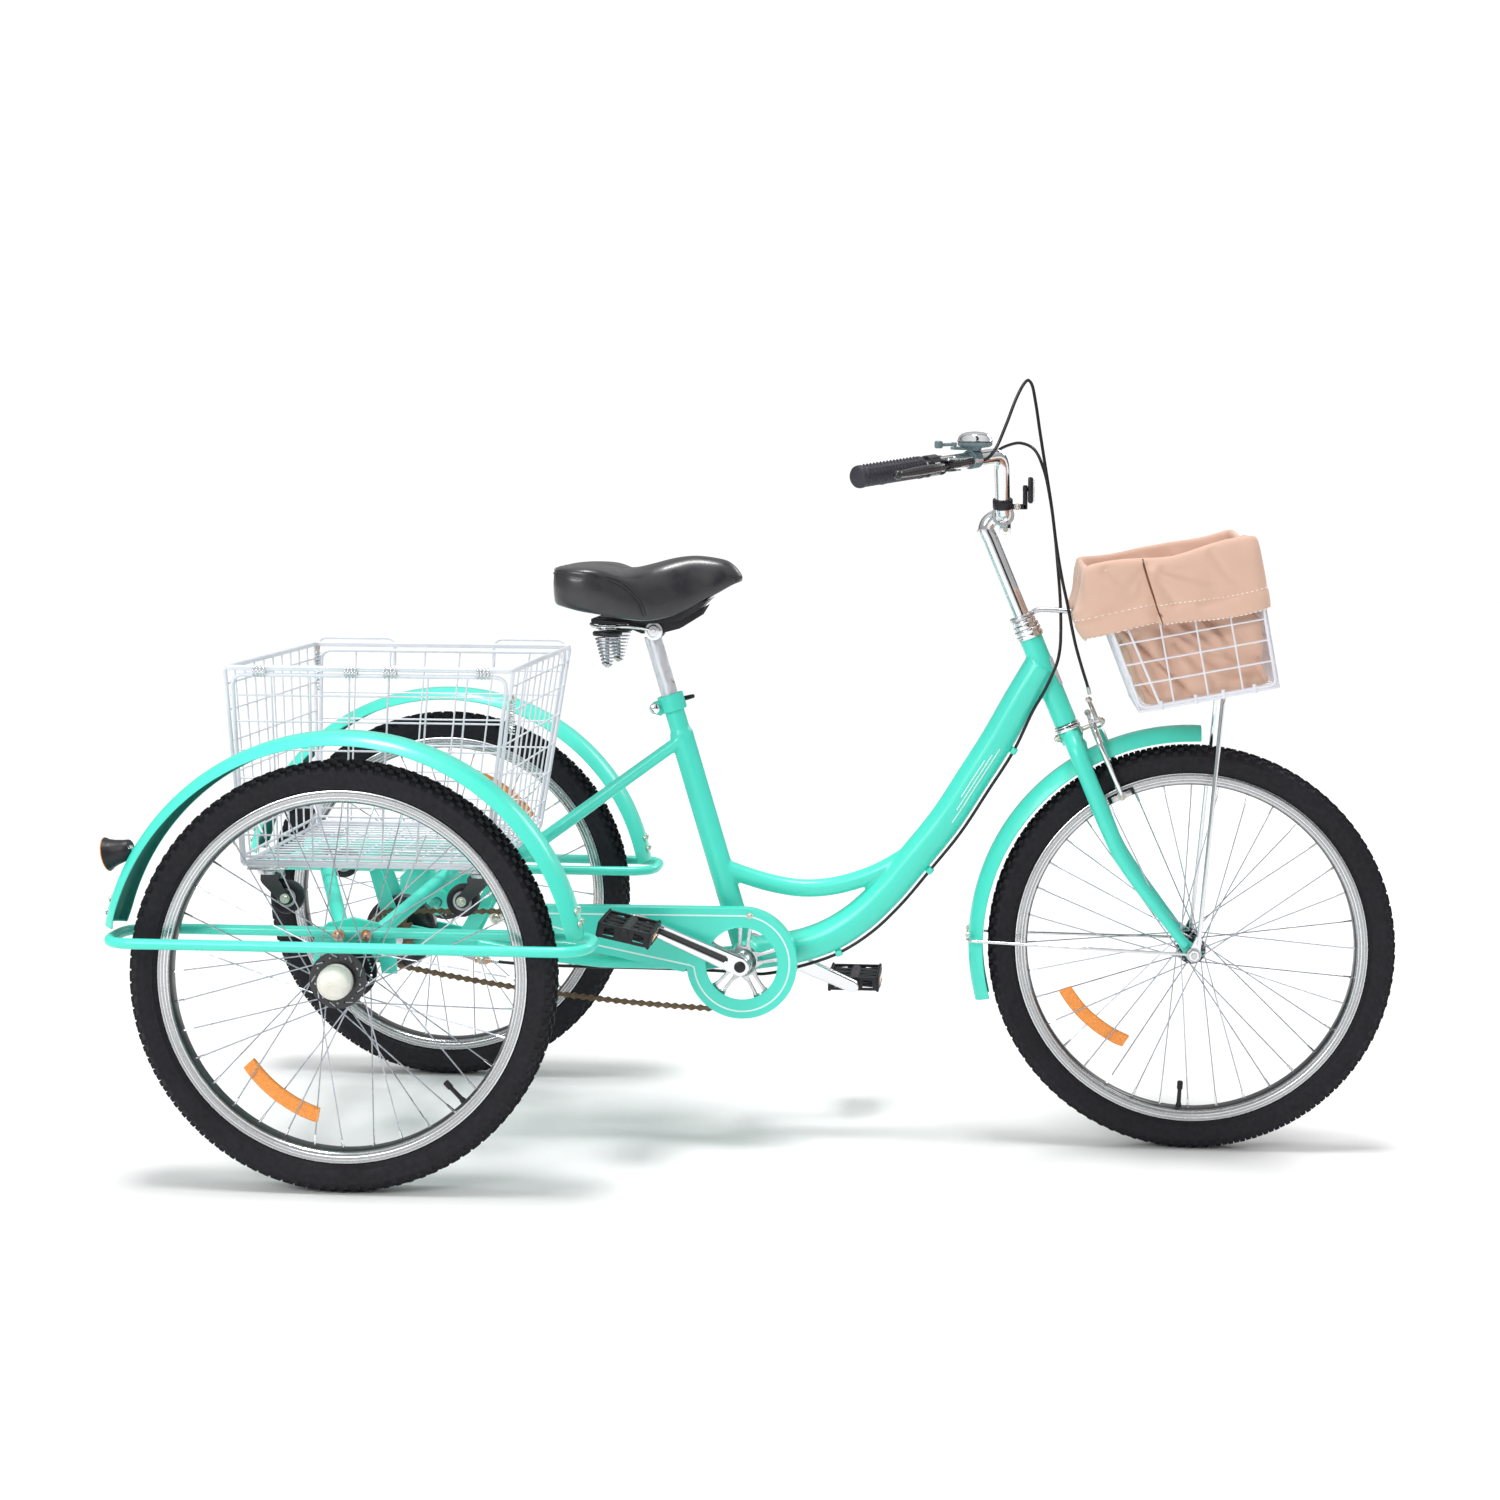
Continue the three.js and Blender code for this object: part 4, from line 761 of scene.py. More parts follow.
def rim_shapes(centre):
    wall = [
        (RIM_OUTER, 13.2), (RIM_OUTER, 14.6), (260.4, 15.2), (257.8, 15.2), (257.2, 14.7), (256.4, 14.7),
        (255.8, 15.2), (252.6, 14.9), (252.0, 14.3), (251.2, 14.2), (250.6, 14.7), (247.6, 14.2),
        (246.6, 13.0), (245.4, 11.4),
    ]
    bed = [(245.4, 11.4), (RIM_INNER + 0.6, 8.6), (RIM_INNER, 5), (RIM_INNER, 0)]
    outer = wall + [(r, -y) for r, y in reversed(wall)]
    outer += [(247.5, -9), (256, -11), (256, 11), (247.5, 9), wall[0]]
    inner = bed + [(r, -y) for r, y in reversed(bed[:-1])] + [(247, -9), (247, 9), bed[0]]
    return lathe(outer, centre, sides=144), lathe(inner, centre, sides=144)


def spoke_shapes(centre, flange_radius):
    """Thirty-six crossed spokes, each with its nipple at the rim and its bent head at the flange."""
    crossing = radians(60)
    wires, nipples = [], []
    for i in range(SPOKE_COUNT):
        rim_angle = 2 * PI * i / SPOKE_COUNT
        flange_side = 1 if i % 2 == 0 else -1
        leading = 1 if i % 4 < 2 else -1
        hub_angle = rim_angle + leading * crossing
        y = FLANGE_Y * flange_side + 2.2 * leading
        start = centre + polar(hub_angle, flange_radius, y)
        end = centre + polar(rim_angle, RIM_INNER, 2 * flange_side)
        step = (end - start).normalized()
        head = start - vec(0, 3.6 * leading, 0)
        wires.append(tube([head, start, end - step * 2], 1.0, 8))
        wires.append(ball(head, 1.8, rings=6, sides=8))
        nipples.append(rod(end - step * 13, end + step * 1.5, 1.7, 8, 2.0))
    return joined(*wires), joined(*nipples)


def valve_shapes(centre, angle):
    direction = polar(radians(angle))
    root = centre + direction * 246
    stem = rod(root, centre + direction * 214, 3.4, 16, 3.0, chamfer=0.6)
    cap = rod(centre + direction * 218, centre + direction * 205, 4.3, 16, chamfer=1.2)
    ribs = [torus(centre + direction * r, direction, 4.2, 0.5, 16, 6) for r in (208, 211, 214)]
    collar = rod(root, centre + direction * 238, 5.2, 16, 3.8)
    return joined(stem, cap, collar, *ribs)


def spoke_reflector_shape(centre, near, start, end, start_radius, end_radius):
    """An arched reflector clipped between spokes, with chamfered edges and slightly narrower ends."""
    steps, half_width, half_thick = 18, 10.2, 3.2
    rings = []
    for i in range(steps + 1):
        share = i / steps
        angle = radians(start + (end - start) * share)
        radius = start_radius + (end_radius - start_radius) * share
        ring = []
        for across, y in ((-1, -0.55), (-0.86, -1), (0.86, -1), (1, -0.55), (1, 1), (-1, 1)):
            r = radius + across * half_width * (0.93 if i in (0, steps) else 1)
            ring.append(centre + polar(angle, r, near + y * half_thick))
        rings.append(ring)
    vertices = [p for ring in rings for p in ring]
    faces = []
    for i in range(steps):
        for k in range(6):
            n = (k + 1) % 6
            faces.append([i * 6 + k, i * 6 + n, (i + 1) * 6 + n, (i + 1) * 6 + k])
    faces += [[0, 1, 2, 3, 4, 5], [steps * 6 + k for k in reversed(range(6))]]
    return vertices, faces


def flange_shape(centre, y, radius, hole_radius):
    """A hub flange with its ring of spoke holes."""
    outlines = [arc((centre.x, centre.z), radius, 0, 350, 35)]
    holes = SPOKE_COUNT // 2
    for i in range(holes):
        angle = 2 * PI * (i + 0.5) / holes
        spot = (centre.x + hole_radius * cos(angle), centre.z + hole_radius * sin(angle))
        outlines.append(arc(spot, 1.9, 0, 315, 7))
    return plate(outlines, centre.y + y - 1.8, centre.y + y + 1.8, 0.5)


def make_wheel(name, centre, hub_shapes, flange_radius, valve_angle, reflector):
    body = f"{name}_wheel"
    tyre = Piece(f"{name}_tyre_rubber").add(tyre_shape(centre), "tyre").add(tread_shape(centre), "tyre")
    tyre.done(body, "tyre_rubber", [f"{name}_tyre"])
    outer, inner = rim_shapes(centre)
    # The rim's inner bed takes the near-black finish: painted shade.
    rim = Piece(f"{name}_rim_hoop").add(outer, f"rim_{name}").add(inner, "rim_bed_painted_shade")
    rim.done(body, "rim_silver", [f"{name}_rim"])
    wires, nipples = spoke_shapes(centre, flange_radius)
    spokes = Piece(f"{name}_spokes").add(wires, "spoke").add(nipples, "chrome")
    spokes.done(body, "silver_metal")
    hub = Piece(f"{name}_hub_shell")
    for shape, material in hub_shapes:
        hub.add(shape, material)
    hub.done(body, "black_paint", [f"{name}_hub"])
    Piece(f"{name}_valve").add(valve_shapes(centre, valve_angle), "plastic").done(body, "black_rubber")
    lens = Piece(f"{name}_spoke_reflectors").add(spoke_reflector_shape(centre, *reflector), "orange_lens")
    lens.done(body, "red_lens")


def hub_flanges(centre, radius, hole_radius):
    return [(flange_shape(centre, y, radius, hole_radius), "black_paint") for y in (FLANGE_Y, -FLANGE_Y)]


def rear_hub_shapes(centre, side):
    out = vec(0, side, 0)
    shell = [
        (8.2, -36), (15.4, -36), (16.5, -35), (18, -31), (20, -26.6), (20, 26.6), (24, 30), (24, 33),
        (17, 33), (8.2, 34), (8.2, -36),
    ]
    cap = [
        (0, 67), (4, 66.8), (10, 65.6), (16, 62.6), (20.5, 58), (23.2, 52), (24, 46), (24, 36), (23, 34.5),
        (0, 34.5),
    ]
    nub = [(0, 67.4), (2.2, 67.3), (3, 66.6), (0, 66.4)]
    return [
        (lathe(shell, centre, out, 40), "black_paint"),
        *hub_flanges(centre, 40, REAR_SPOKE_CIRCLE),
        (lathe(cap, centre, out, 48), "cream"),
        (lathe(nub, centre, out, 16), "cream"),
    ]


def front_hub_shapes(centre):
    shell = [
        (5.2, -40), (8, -40), (9.5, -38), (9.5, -32), (12, -30), (12, -25), (9.6, -18), (9.6, 18), (12, 25),
        (12, 30), (9.5, 32), (9.5, 38), (8, 40), (5.2, 40), (5.2, -40),
    ]
    cones = [rod(centre + Y_AXIS * 41 * s, centre + Y_AXIS * 47 * s, 8.2, 6, chamfer=0.6) for s in BOTH]
    return [
        (lathe(shell, centre, Y_AXIS, 36), "black_paint"),
        *hub_flanges(centre, 21, FRONT_SPOKE_CIRCLE),
        (joined(*cones), "steel"),
    ]


def make_wheels():
    arcs = {"right": (-137, -100), "left": (43, 80)}
    for name, side in SIDES.items():
        centre = vec(0, TRACK_HALF * side, WHEEL_RADIUS)
        reflector = (3 * side, *arcs[name], 184, 200.5)
        make_wheel(name, centre, rear_hub_shapes(centre, side), REAR_SPOKE_CIRCLE, -45.5, reflector)
    hub = front_hub_shapes(FRONT_CENTRE)
    make_wheel("front", FRONT_CENTRE, hub, FRONT_SPOKE_CIRCLE, -93.4, (-3, -160, -123, 198, 173.5))


# ---------------------------------------------------------------- frame
HEAD_ANGLE = radians(22.7)
HEAD_UP = vec(-sin(HEAD_ANGLE), 0, cos(HEAD_ANGLE))
HEAD_FORWARD = polar(HEAD_ANGLE)
HEAD_BASE = vec(1012, 0, 634)
HEAD_TUBE = 143
SEAT_ANGLE = radians(16.8)
SEAT_UP = vec(-sin(SEAT_ANGLE), 0, cos(SEAT_ANGLE))
SEAT_FORWARD = polar(SEAT_ANGLE)
CRANK = vec(532, 0, 277)
SEAT_TUBE = 412
DOWN_TUBE = [
    (974, 0, 722), (943, 0, 669), (909, 0, 608), (871, 0, 547), (832, 0, 486), (787, 0, 429),
    (745, 0, 378), (704, 0, 338), (660, 0, 309), (612, 0, 291), (532, 0, 277),
]
LOW_TUBE = [
    (487, 0, 412), (536, 0, 395), (574, 0, 385), (612, 0, 379.5), (650, 0, 381), (690, 0, 390),
    (734, 0, 407), (784, 0, 437),
]


def head(up, forward=0.0, left=0.0):
    return HEAD_BASE + HEAD_UP * up + HEAD_FORWARD * forward + vec(0, left, 0)


def seat(up, forward=0.0):
    return CRANK + SEAT_UP * up + SEAT_FORWARD * forward


def bolt_shape(spot, direction, radius=5.0, length=4.0):
    """A domed bolt head over a thin washer."""
    dome = [(radius * r, length * h) for r, h in ((0, 1), (0.6, 0.9), (0.9, 0.6), (1, 0.2))]
    washer = [(radius, 0.9), (radius * 1.45, 0.9), (radius * 1.45, -0.6), (0, -0.6)]
    return lathe(dome + washer, spot, direction, 20)


def nut_shape(spot, direction, radius=7.0, length=6.0, stud=3.0):
    nut = rod(spot, spot + direction * length, radius, 6, chamfer=0.7)
    end = rod(spot, spot + direction * (length + stud), radius * 0.5, 16, chamfer=0.6)
    washer = rod(spot - direction * 0.8, spot + direction * 0.8, radius * 1.35, 24)
    return joined(nut, end, washer)


def chain_stay_shapes(side):
    y = 34 * side
    points = [(516, y * 0.72, 275), (478, y, 269), (314, y, 269), (160, y, 284), (125, y, 290)]
    line = bent(points, [60, 200, 200], 6)
    end = plate([link_outline((26, 291), (150, 287), 11, 9)], 31.4 * side, 37 * side, 1.2)
    return [tube(line, 10, 18), end]


def make_main_frame():
    stay = [(432, 9, 603), (362, 23, 552), (270, 38, 484), (196, 45, 430)]
    tubes = [
        rod(head(0), head(HEAD_TUBE), 17.5, 32),
        tube(smooth(DOWN_TUBE, 60), 25, 32),
        tube(smooth(LOW_TUBE, 30), 13.5, 24),
        rod(CRANK, seat(352), 18, 32),
        rod(seat(340), seat(SEAT_TUBE), 15, 32),
        rod(CRANK - Y_AXIS * 34, CRANK + Y_AXIS * 34, 21, 32),
        rod(seat(346), seat(356), 18.4, 32, 15.4),
    ]
    for side in BOTH:
        tubes.append(tube(smooth([(x, y * side, z) for x, y, z in stay], 24), 9.5, 18))
        tubes.append(chain_stay_shapes(side)[0])
    frame_piece = Piece("main_frame_tubes").add(welded(tubes, 2.2, 5), "mint")
    for side in BOTH:
        frame_piece.add(chain_stay_shapes(side)[1], "mint")
    cups = [
        (17.4, -3), (20, -3), (20.6, 0), (20.6, 3), (19, 4), (19, 6), (20.4, 7.5), (20.4, 10.5), (18.4, 12.5),
        (17.4, 12.5),
    ]
    upper = lathe([*cups, cups[0]], head(HEAD_TUBE), HEAD_UP, 48)
    frame_piece.add(upper, "chrome")
    for end in BOTH:
        lip = [(9.5, 0), (20.5, 0), (20.5, 1.6), (17, 2.4), (9.5, 2.4), (9.5, 0)]
        frame_piece.add(lathe(lip, CRANK + Y_AXIS * 33.6 * end, Y_AXIS * end, 36), "steel")
    frame_piece.done("frame", "mint_paint", ["main_frame"], 45)


def make_badge_and_stripes():
    """A plain grey badge on the head tube and pale lines along the down tube, with no lettering."""
    rows, columns = 10, 7
    vertices, faces = [], []
    for layer in (17.7, 18.7):
        for i in range(rows):
            up = 58 + 44 * i / (rows - 1)
            pinch = 1 - 0.25 * abs(2 * i / (rows - 1) - 1) ** 3
            for k in range(columns):
                angle = radians(42) * (2 * k / (columns - 1) - 1) * pinch
                vertices.append(head(up, layer * cos(angle), layer * sin(angle)))
    for i in range(rows - 1):
        for k in range(columns - 1):
            a = (rows + i) * columns + k
            faces.append([a, a + 1, a + columns + 1, a + columns])
    for i in range(rows - 1):
        for k in (0, columns - 1):
            a = i * columns + k
            b = a + rows * columns
            faces.append([a, a + columns, b + columns, b])
    for k in range(columns - 1):
        for i in (0, rows - 1):
            a = i * columns + k
            b = a + rows * columns
            faces.append([a, a + 1, b + 1, b])
    Piece("head_badge").add((vertices, faces), "grey_badge").done("frame", "white_lens")
    stripes = Piece("frame_stripes")
    line = smooth(DOWN_TUBE, 200)
    for side in BOTH:
        for first, last, lift in ((42, 84, 9), (46, 78, 4), (50, 72, -1)):
            path = []
            for i in range(first, last, 2):
                ahead = (line[i + 1] - line[i]).normalized()
                up = ahead.cross(Y_AXIS)
                across = sqrt(25.15**2 - lift**2)
                path.append(line[i] + up * lift + vec(0, across * side, 0))
            stripes.add(tube(path, 0.9, 8), "pale")
    stripes.done("frame", "mint_paint")


def make_seat_clamp():
    skewer = seat(398, -25)
    clamp = Piece("seat_clamp_collar")
    clamp.add(lathe(collar(16.0, 20, 386, 411.5, 0.8), CRANK, SEAT_UP, 40), "mint")
    for side in BOTH:
        ear = rod(skewer + Y_AXIS * 3 * side, skewer + Y_AXIS * 11 * side, 9, 28, chamfer=1.2)
        place = along(skewer + Y_AXIS * 6 * side, Y_AXIS, SEAT_ANGLE)
        neck = block((-2, 12), (-5.5, 5.5), (-9, 9), 1.5, place)
        clamp.add(ear, "mint").add(neck, "mint")
    clamp.add(rod(skewer - Y_AXIS * 23, skewer + Y_AXIS * 15, 2.6, 16), "steel")
    nut = [(0, 13), (5, 12.8), (7.6, 11), (8, 9), (8, 2), (7, 0), (0, 0)]
    clamp.add(lathe(nut, skewer - Y_AXIS * 11.2, -Y_AXIS, 24), "chrome")
    clamp.done("frame", "mint_paint", ["seat_clamp"])
    cam = skewer + Y_AXIS * 22
    barrel = rod(cam - SEAT_UP * 8, cam + SEAT_UP * 8, 6.6, 28, chamfer=1.0)
    bends = ((0, 22), (16, 28), (34, 27), (55, 19))
    line = smooth([skewer + SEAT_FORWARD * forward + Y_AXIS * y for forward, y in bends], 20)
    radii = [3.2 + 0.9 * sin(PI * i / 20) for i in range(21)]
    lever = Piece("seat_lever_handle").add(barrel, "chrome").add(tube(line, radii, 16), "plastic")
    lever.add(ball(line[-1], 3.3), "plastic")
    lever.done("quick_release", "chrome_trim", ["seat_lever"])


# ---------------------------------------------------------------- rear carriage, loops, fenders
RACK = 419
RAIL_Y = 88
FRONT_FENDER_RADIUS, REAR_FENDER_RADIUS = 332, 344


def make_rear_carriage():
    carriage = Piece("rear_carriage_tubes")
    tubes = []
    for x, reach in ((-152, RAIL_Y), (-40, RAIL_Y), (172, 95)):
        tubes.append(rod((x, -reach, RACK), (x, reach, RACK), 9, 20))
    for side in BOTH:
        tubes.append(rod((-178, RAIL_Y * side, RACK), (190, RAIL_Y * side, RACK), 8, 20, chamfer=1))
        tubes.append(rod((-25, 239 * side, 352), (-92, RAIL_Y * side, RACK), 11, 20))
        tubes.append(rod((30, 239 * side, 350), (108, RAIL_Y * side, RACK), 11, 20))
    carriage.add(welded(tubes, 2.2, 3), "mint")
    arch = [
        (-66, 290), (-44, 290), (-36, 312), (-14, 284), (14, 284), (30, 312), (34, 290), (56, 290),
        (54, 342), (30, 362), (-8, 370), (-44, 362), (-64, 342),
    ]
    for side in BOTH:
        carriage.add(plate([arch], 238 * side, 244 * side, 1.2), "mint")
        carriage.add(lathe(collar(8.6, 21, -13, 13), (0, 239 * side, WHEEL_RADIUS), Y_AXIS, 36), "mint")
        inner, outer = 25.5 * side, 31 * side
        for start, end, r0, r1 in (
            ((0, 303), (110, 291), 18, 10), ((104, 297), (170, 419), 12, 8), ((0, 303), (-40, 419), 14, 8),
        ):
            carriage.add(plate([link_outline(start, end, r0, r1)], inner, outer, 1.2), "mint")
        face = Y_AXIS * side
        for x, z in ((30, 294), (55, 293), (105, 293), (154, 330)):
            carriage.add(bolt_shape(vec(x, 31.2 * side, z), face, 6.6, 5), "bolt")
        for x in (-178, 190):
            spot = vec(x, RAIL_Y * side, RACK)
            carriage.add(rod(spot, spot + X_AXIS * copysign(2, x), 8.2, 20, chamfer=0.8), "plastic")
    carriage.done("frame", "mint_paint", ["rear_carriage"])


def make_wheel_loop(name, side):
    height = 353
    inner, outer, front, rear = 265 * side, 373 * side, 350, -326
    corners = [
        (-10, inner, height), (rear, inner, height), (rear, outer, height), (front, outer, height),
        (front, inner, height), (-10, inner, height),
    ]
    loop = Piece(f"wheel_loop_{name}_tube").add(tube(bent(corners, [45] * 4, 10), 7.5, 24), "mint")
    loop.add(block((-46, 34), sorted((247 * side, 261 * side)), (338.5, 356), 2), "mint")
    for x in (-20, 20):
        spot = vec(x, 272 * side, 350.5)
        loop.add(rod(spot, spot + Y_AXIS * 1.6 * side, 7.8, 28, chamfer=0.5), "black_paint")
        loop.add(bolt_shape(spot + Y_AXIS * 1.4 * side, Y_AXIS * side, 5.8, 4.5), "copper")
    loop.done("frame", "mint_paint", [f"wheel_loop_{name}"])


def fender_shapes(centre, radius, half_width, skirt, start, end, steps):
    """A pressed channel round the wheel, with rolled edges and rounded-off ends."""
    across = []
    for k in range(17):
        s = 2 * k / 16 - 1
        across.append((s, -skirt * abs(s) ** 3.2))
    layers = []
    for inset in (0.0, 1.7):
        rings = []
        for i in range(steps + 1):
            angle = radians(start + (end - start) * i / steps)
            edge = min(i, steps - i) / steps * radians(end - start) * radius
            narrow = 1 - 0.2 * max(0, 1 - edge / 26) ** 2
            ring = []
            for s, drop in across:
                r = radius + drop - inset
                y = s * (half_width - 0.8 * inset) * narrow
                ring.append(centre + polar(angle, r, y))
            rings.append(ring)
        layers.append(rings)
    count = len(across)

    def skin(rings):
        vertices = [p for ring in rings for p in ring]
        faces = []
        for i in range(steps):
            for k in range(count - 1):
                a = i * count + k
                faces.append([a, a + 1, a + count + 1, a + count])
        return vertices, faces

    def edge_line(pick):
        return tube([(layers[0][i][k] + layers[1][i][k]) / 2 for i, k in pick], 1.25, 8)

    edges = [edge_line([(i, k) for i in range(steps + 1)]) for k in (0, count - 1)]
    edges += [edge_line([(i, k) for k in range(count)]) for i in (0, steps)]
    return skin(layers[0]), skin(layers[1]), joined(*edges)


def fender_piece(name, centre, *measures):
    outer, inner, edges = fender_shapes(centre, *measures)
    # The underside takes the darker copy of the mint: painted shade.
    return Piece(name).add(outer, "mint").add(inner, "painted_shade_mint").add(edges, "mint")


def make_rear_fender(name, side):
    centre = vec(0, TRACK_HALF * side, WHEEL_RADIUS)
    fender = fender_piece(f"rear_fender_{name}_blade", centre, REAR_FENDER_RADIUS, 36, 16, 10.5, 168.5, 96)
    for angle in (13.5, 16.5, 165.5, 162.5):
        spot = polar(radians(angle))
        for across in (-12, 12):
            place = centre + spot * REAR_FENDER_RADIUS + Y_AXIS * across
            fender.add(bolt_shape(place, spot, 3.6, 3), "bolt")
    fender.done("frame", "mint_paint", [f"rear_fender_{name}"], 50)


def make_tail_light():
    tilt = radians(13)
    rearward = vec(-cos(tilt), 0, -sin(tilt))
    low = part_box("tail_light")[0]
    face_x = (low.x - AXLE.x) / MM + 22 * sin(tilt)
    face = vec(face_x, -TRACK_HALF, 467)
    shell = [
        (0, 37), (12.6, 37), (14, 35.4), (15.2, 27), (17.6, 16), (20.6, 7), (23.6, 3), (24, 1.6), (0, 1.6),
    ]
    lens = [(21.5, 2.0), (23.4, 1.8), (23.4, 0.9), (22, 0.2), (14, 0.0), (0, 0.0)]
    light = Piece("tail_light_housing").add(lathe(shell, face, -rearward, 48), "plastic")
    light.add(lathe(lens, face, -rearward, 48), "red_lens")
    light.add(torus(face - rearward * 1.6, rearward, 23.3, 0.9, 48, 8), "orange_lens")
    light.add(nut_shape(face - rearward * 36, -rearward, 5.5, 3, 1), "steel")
    light.done("frame", "red_lens", ["tail_light"])


def make_band_brake():
    centre = REAR_CENTRE
    drum = [
        (8.4, -14), (30, -14), (44, -13.4), (52, -11), (54, -9.4), (54, -6), (55, -5.2), (55, -3.6),
        (54, -2.8), (54, 12), (52.6, 15), (46, 18), (30, 19.6), (8.4, 20), (8.4, -14),
    ]
    brake = Piece("band_brake_drum").add(lathe(drum, centre, Y_AXIS, 56), "black_paint")
    for i in range(5):
        angle = 2 * PI * i / 5
        spot = centre + polar(angle, 30, -14)
        brake.add(bolt_shape(spot, -Y_AXIS, 3.6, 2.6), "bolt")
    brake.add(plate([link_outline((40, 290), (128, 257), 9, 7)], 8, 13, 1), "steel")
    brake.add(coil((62, 16, 268), (118, 16, 258), 4.2, 4.2, 14, 0.7, 6, 12), "steel")
    brake.add(rod((112, 10.5, 257), (136, 10.5, 256), 4.2, 20, 3.4, chamfer=0.6), "copper")
    brake.add(nut_shape(vec(122, 7, 258), -Y_AXIS, 5, 4, 2), "bolt")
    brake.done("frame", "black_paint", ["band_brake"])


# ---------------------------------------------------------------- drive
CHAIN_Y = -55
RING_RADIUS, SPROCKET_RADIUS = 72.8, 40.4
CHAIN_PITCH = 12.7


def toothed_outline(centre, pitch_radius, teeth, turn=0.0):
    points = []
    for i in range(teeth * 6):
        angle = 2 * PI * i / (teeth * 6) + turn
        lift = (3.4, 2.2, -2.4, -3.6, -2.4, 2.2)[i % 6]
        r = pitch_radius + lift
        points.append((centre.x + r * cos(angle), centre.z + r * sin(angle)))
    return points


def make_drive_axle():
    centre = REAR_CENTRE
    end = TRACK_HALF + 48
    axle = Piece("drive_axle_shaft")
    axle.add(rod(centre - Y_AXIS * end, centre + Y_AXIS * end, 7.5, 32, chamfer=1), "steel")
    axle.add(lathe(collar(7.5, 19, -12, 12), centre + Y_AXIS * CHAIN_Y, Y_AXIS, 36), "steel")
    windows = [arc((centre.x, centre.z), 8, 0, 345, 23)]
    sprocket = plate([toothed_outline(centre, 35.0, 20), *windows], CHAIN_Y - 1.4, CHAIN_Y + 1.4, 0.4)
    axle.add(sprocket, "chain")
    axle.done("right_wheel", "silver_metal", ["drive_axle"])


def chain_line():
    """The chain's closed line: over both toothed wheels, with a slack lower run."""
    rear, front = (0, WHEEL_RADIUS), (CRANK.x, CRANK.z)
    over_front = arc(front, RING_RADIUS, -90, 90, 30)
    over_rear = arc(rear, SPROCKET_RADIUS, 90, 270, 20)
    start, end = over_rear[-1], over_front[0]
    middle = ((start[0] + end[0]) / 2, (start[1] + end[1]) / 2 - 24)
    slack = []
    for i in range(1, 24):
        t = i / 24
        pairs = zip(start, middle, end)
        slack.append(tuple(a * (1 - t) ** 2 + m * 2 * t * (1 - t) + b * t**2 for a, m, b in pairs))
    points = [vec(x, CHAIN_Y, z) for x, z in over_front + over_rear + slack]
    return [*points, points[0]]


def chain_plate_outline():
    """A link plate: round at both pins, narrow in the middle."""
    near = arc((0, 0), 4.3, 50, 310, 10)
    far = arc((CHAIN_PITCH, 0), 4.3, -130, 130, 10)
    return [*near, (CHAIN_PITCH * 0.5, -2.0), *far, (CHAIN_PITCH * 0.5, 2.0)]


def make_chain():
    line = chain_line()
    links = round(line_length(line) / CHAIN_PITCH / 2) * 2
    pins = even(line, links)
    chain = Piece("drive_chain_links")
    template = plate([chain_plate_outline()], -0.55, 0.55, 0.2)
    for i in range(links):
        start, end = pins[i], pins[i + 1]
        step = end - start
        turn = Matrix.Rotation(-atan2(step.z, step.x), 4, "Y")
        offset = 2.9 if i % 2 else 1.75
        for side in BOTH:
            place = turn.copy()
            place.translation = start + Y_AXIS * offset * side
            chain.add(moved(template, place), "chain")
        chain.add(rod(start - Y_AXIS * 3.9, start + Y_AXIS * 3.9, 1.7, 10), "chain")
        chain.add(rod(start - Y_AXIS * 1.2, start + Y_AXIS * 1.2, 3.6, 14), "chain")
    chain.done("frame", "chain_steel", ["drive_chain"])


def guard_outline(inset):
    """The chain guard's edge, moved in by a distance."""
    radius = 83 - inset
    top = 358 - inset
    points = [(198 + inset, top), (198 + inset, 328 + 0.7 * inset), (262, 312 + inset), (300, 292 + inset)]
    points.append((446 + inset * 0.6, 262 + inset))
    return points + arc((CRANK.x, CRANK.z), radius, 185.4, 450, 60)


def make_chain_guard():
    window = list(reversed(arc((CRANK.x, CRANK.z), 54, 0, 354, 59)))
    guard = Piece("chain_guard_shell").add(plate([guard_outline(0.2), window], -70, -67.6, 0.9), "mint")
    upper = [(x, z) for x, z in guard_outline(1.2)[5:] if z > CRANK.z - 70]
    band = [vec(199.5, 0, 357), *[vec(x, 0, z) for x, z in reversed(upper)]]
    vertices = []
    for y in (-68.5, -46.3):
        for inset in (0, 1.6):
            for point in band:
                out = (point - vec(CRANK.x, 0, CRANK.z)).normalized()
                vertices.append(vec(point.x, y, point.z) - out * inset)
    n = len(band)
    faces = []
    for i in range(n - 1):
        for a, b in ((0, 2), (1, 3), (2, 3)):
            faces.append([a * n + i, a * n + i + 1, b * n + i + 1, b * n + i])
    guard.add((vertices, faces), "mint")
    path = [vec(x, -69.9, z) for x, z in guard_outline(11.5)]
    stripe = tube([*path, path[0]], 1.25, 8)
    plane = Matrix.Translation((0, -69.9, 0))
    flat = plane @ Matrix.Diagonal((1, 0.3, 1, 1)) @ Matrix.Translation((0, 69.9, 0))
    guard.add(moved(stripe, flat), "pale")
    guard.add(torus(vec(CRANK.x, -69.6, CRANK.z), Y_AXIS, 54.6, 0.9, 72, 8), "mint")
    for x, z in ((544, 349), (300, 306), (214, 346)):
        guard.add(bolt_shape(vec(x, -70.2, z), -Y_AXIS, 3.2, 2.6), "bolt")
    guard.done("frame", "mint_paint", ["chain_guard"])


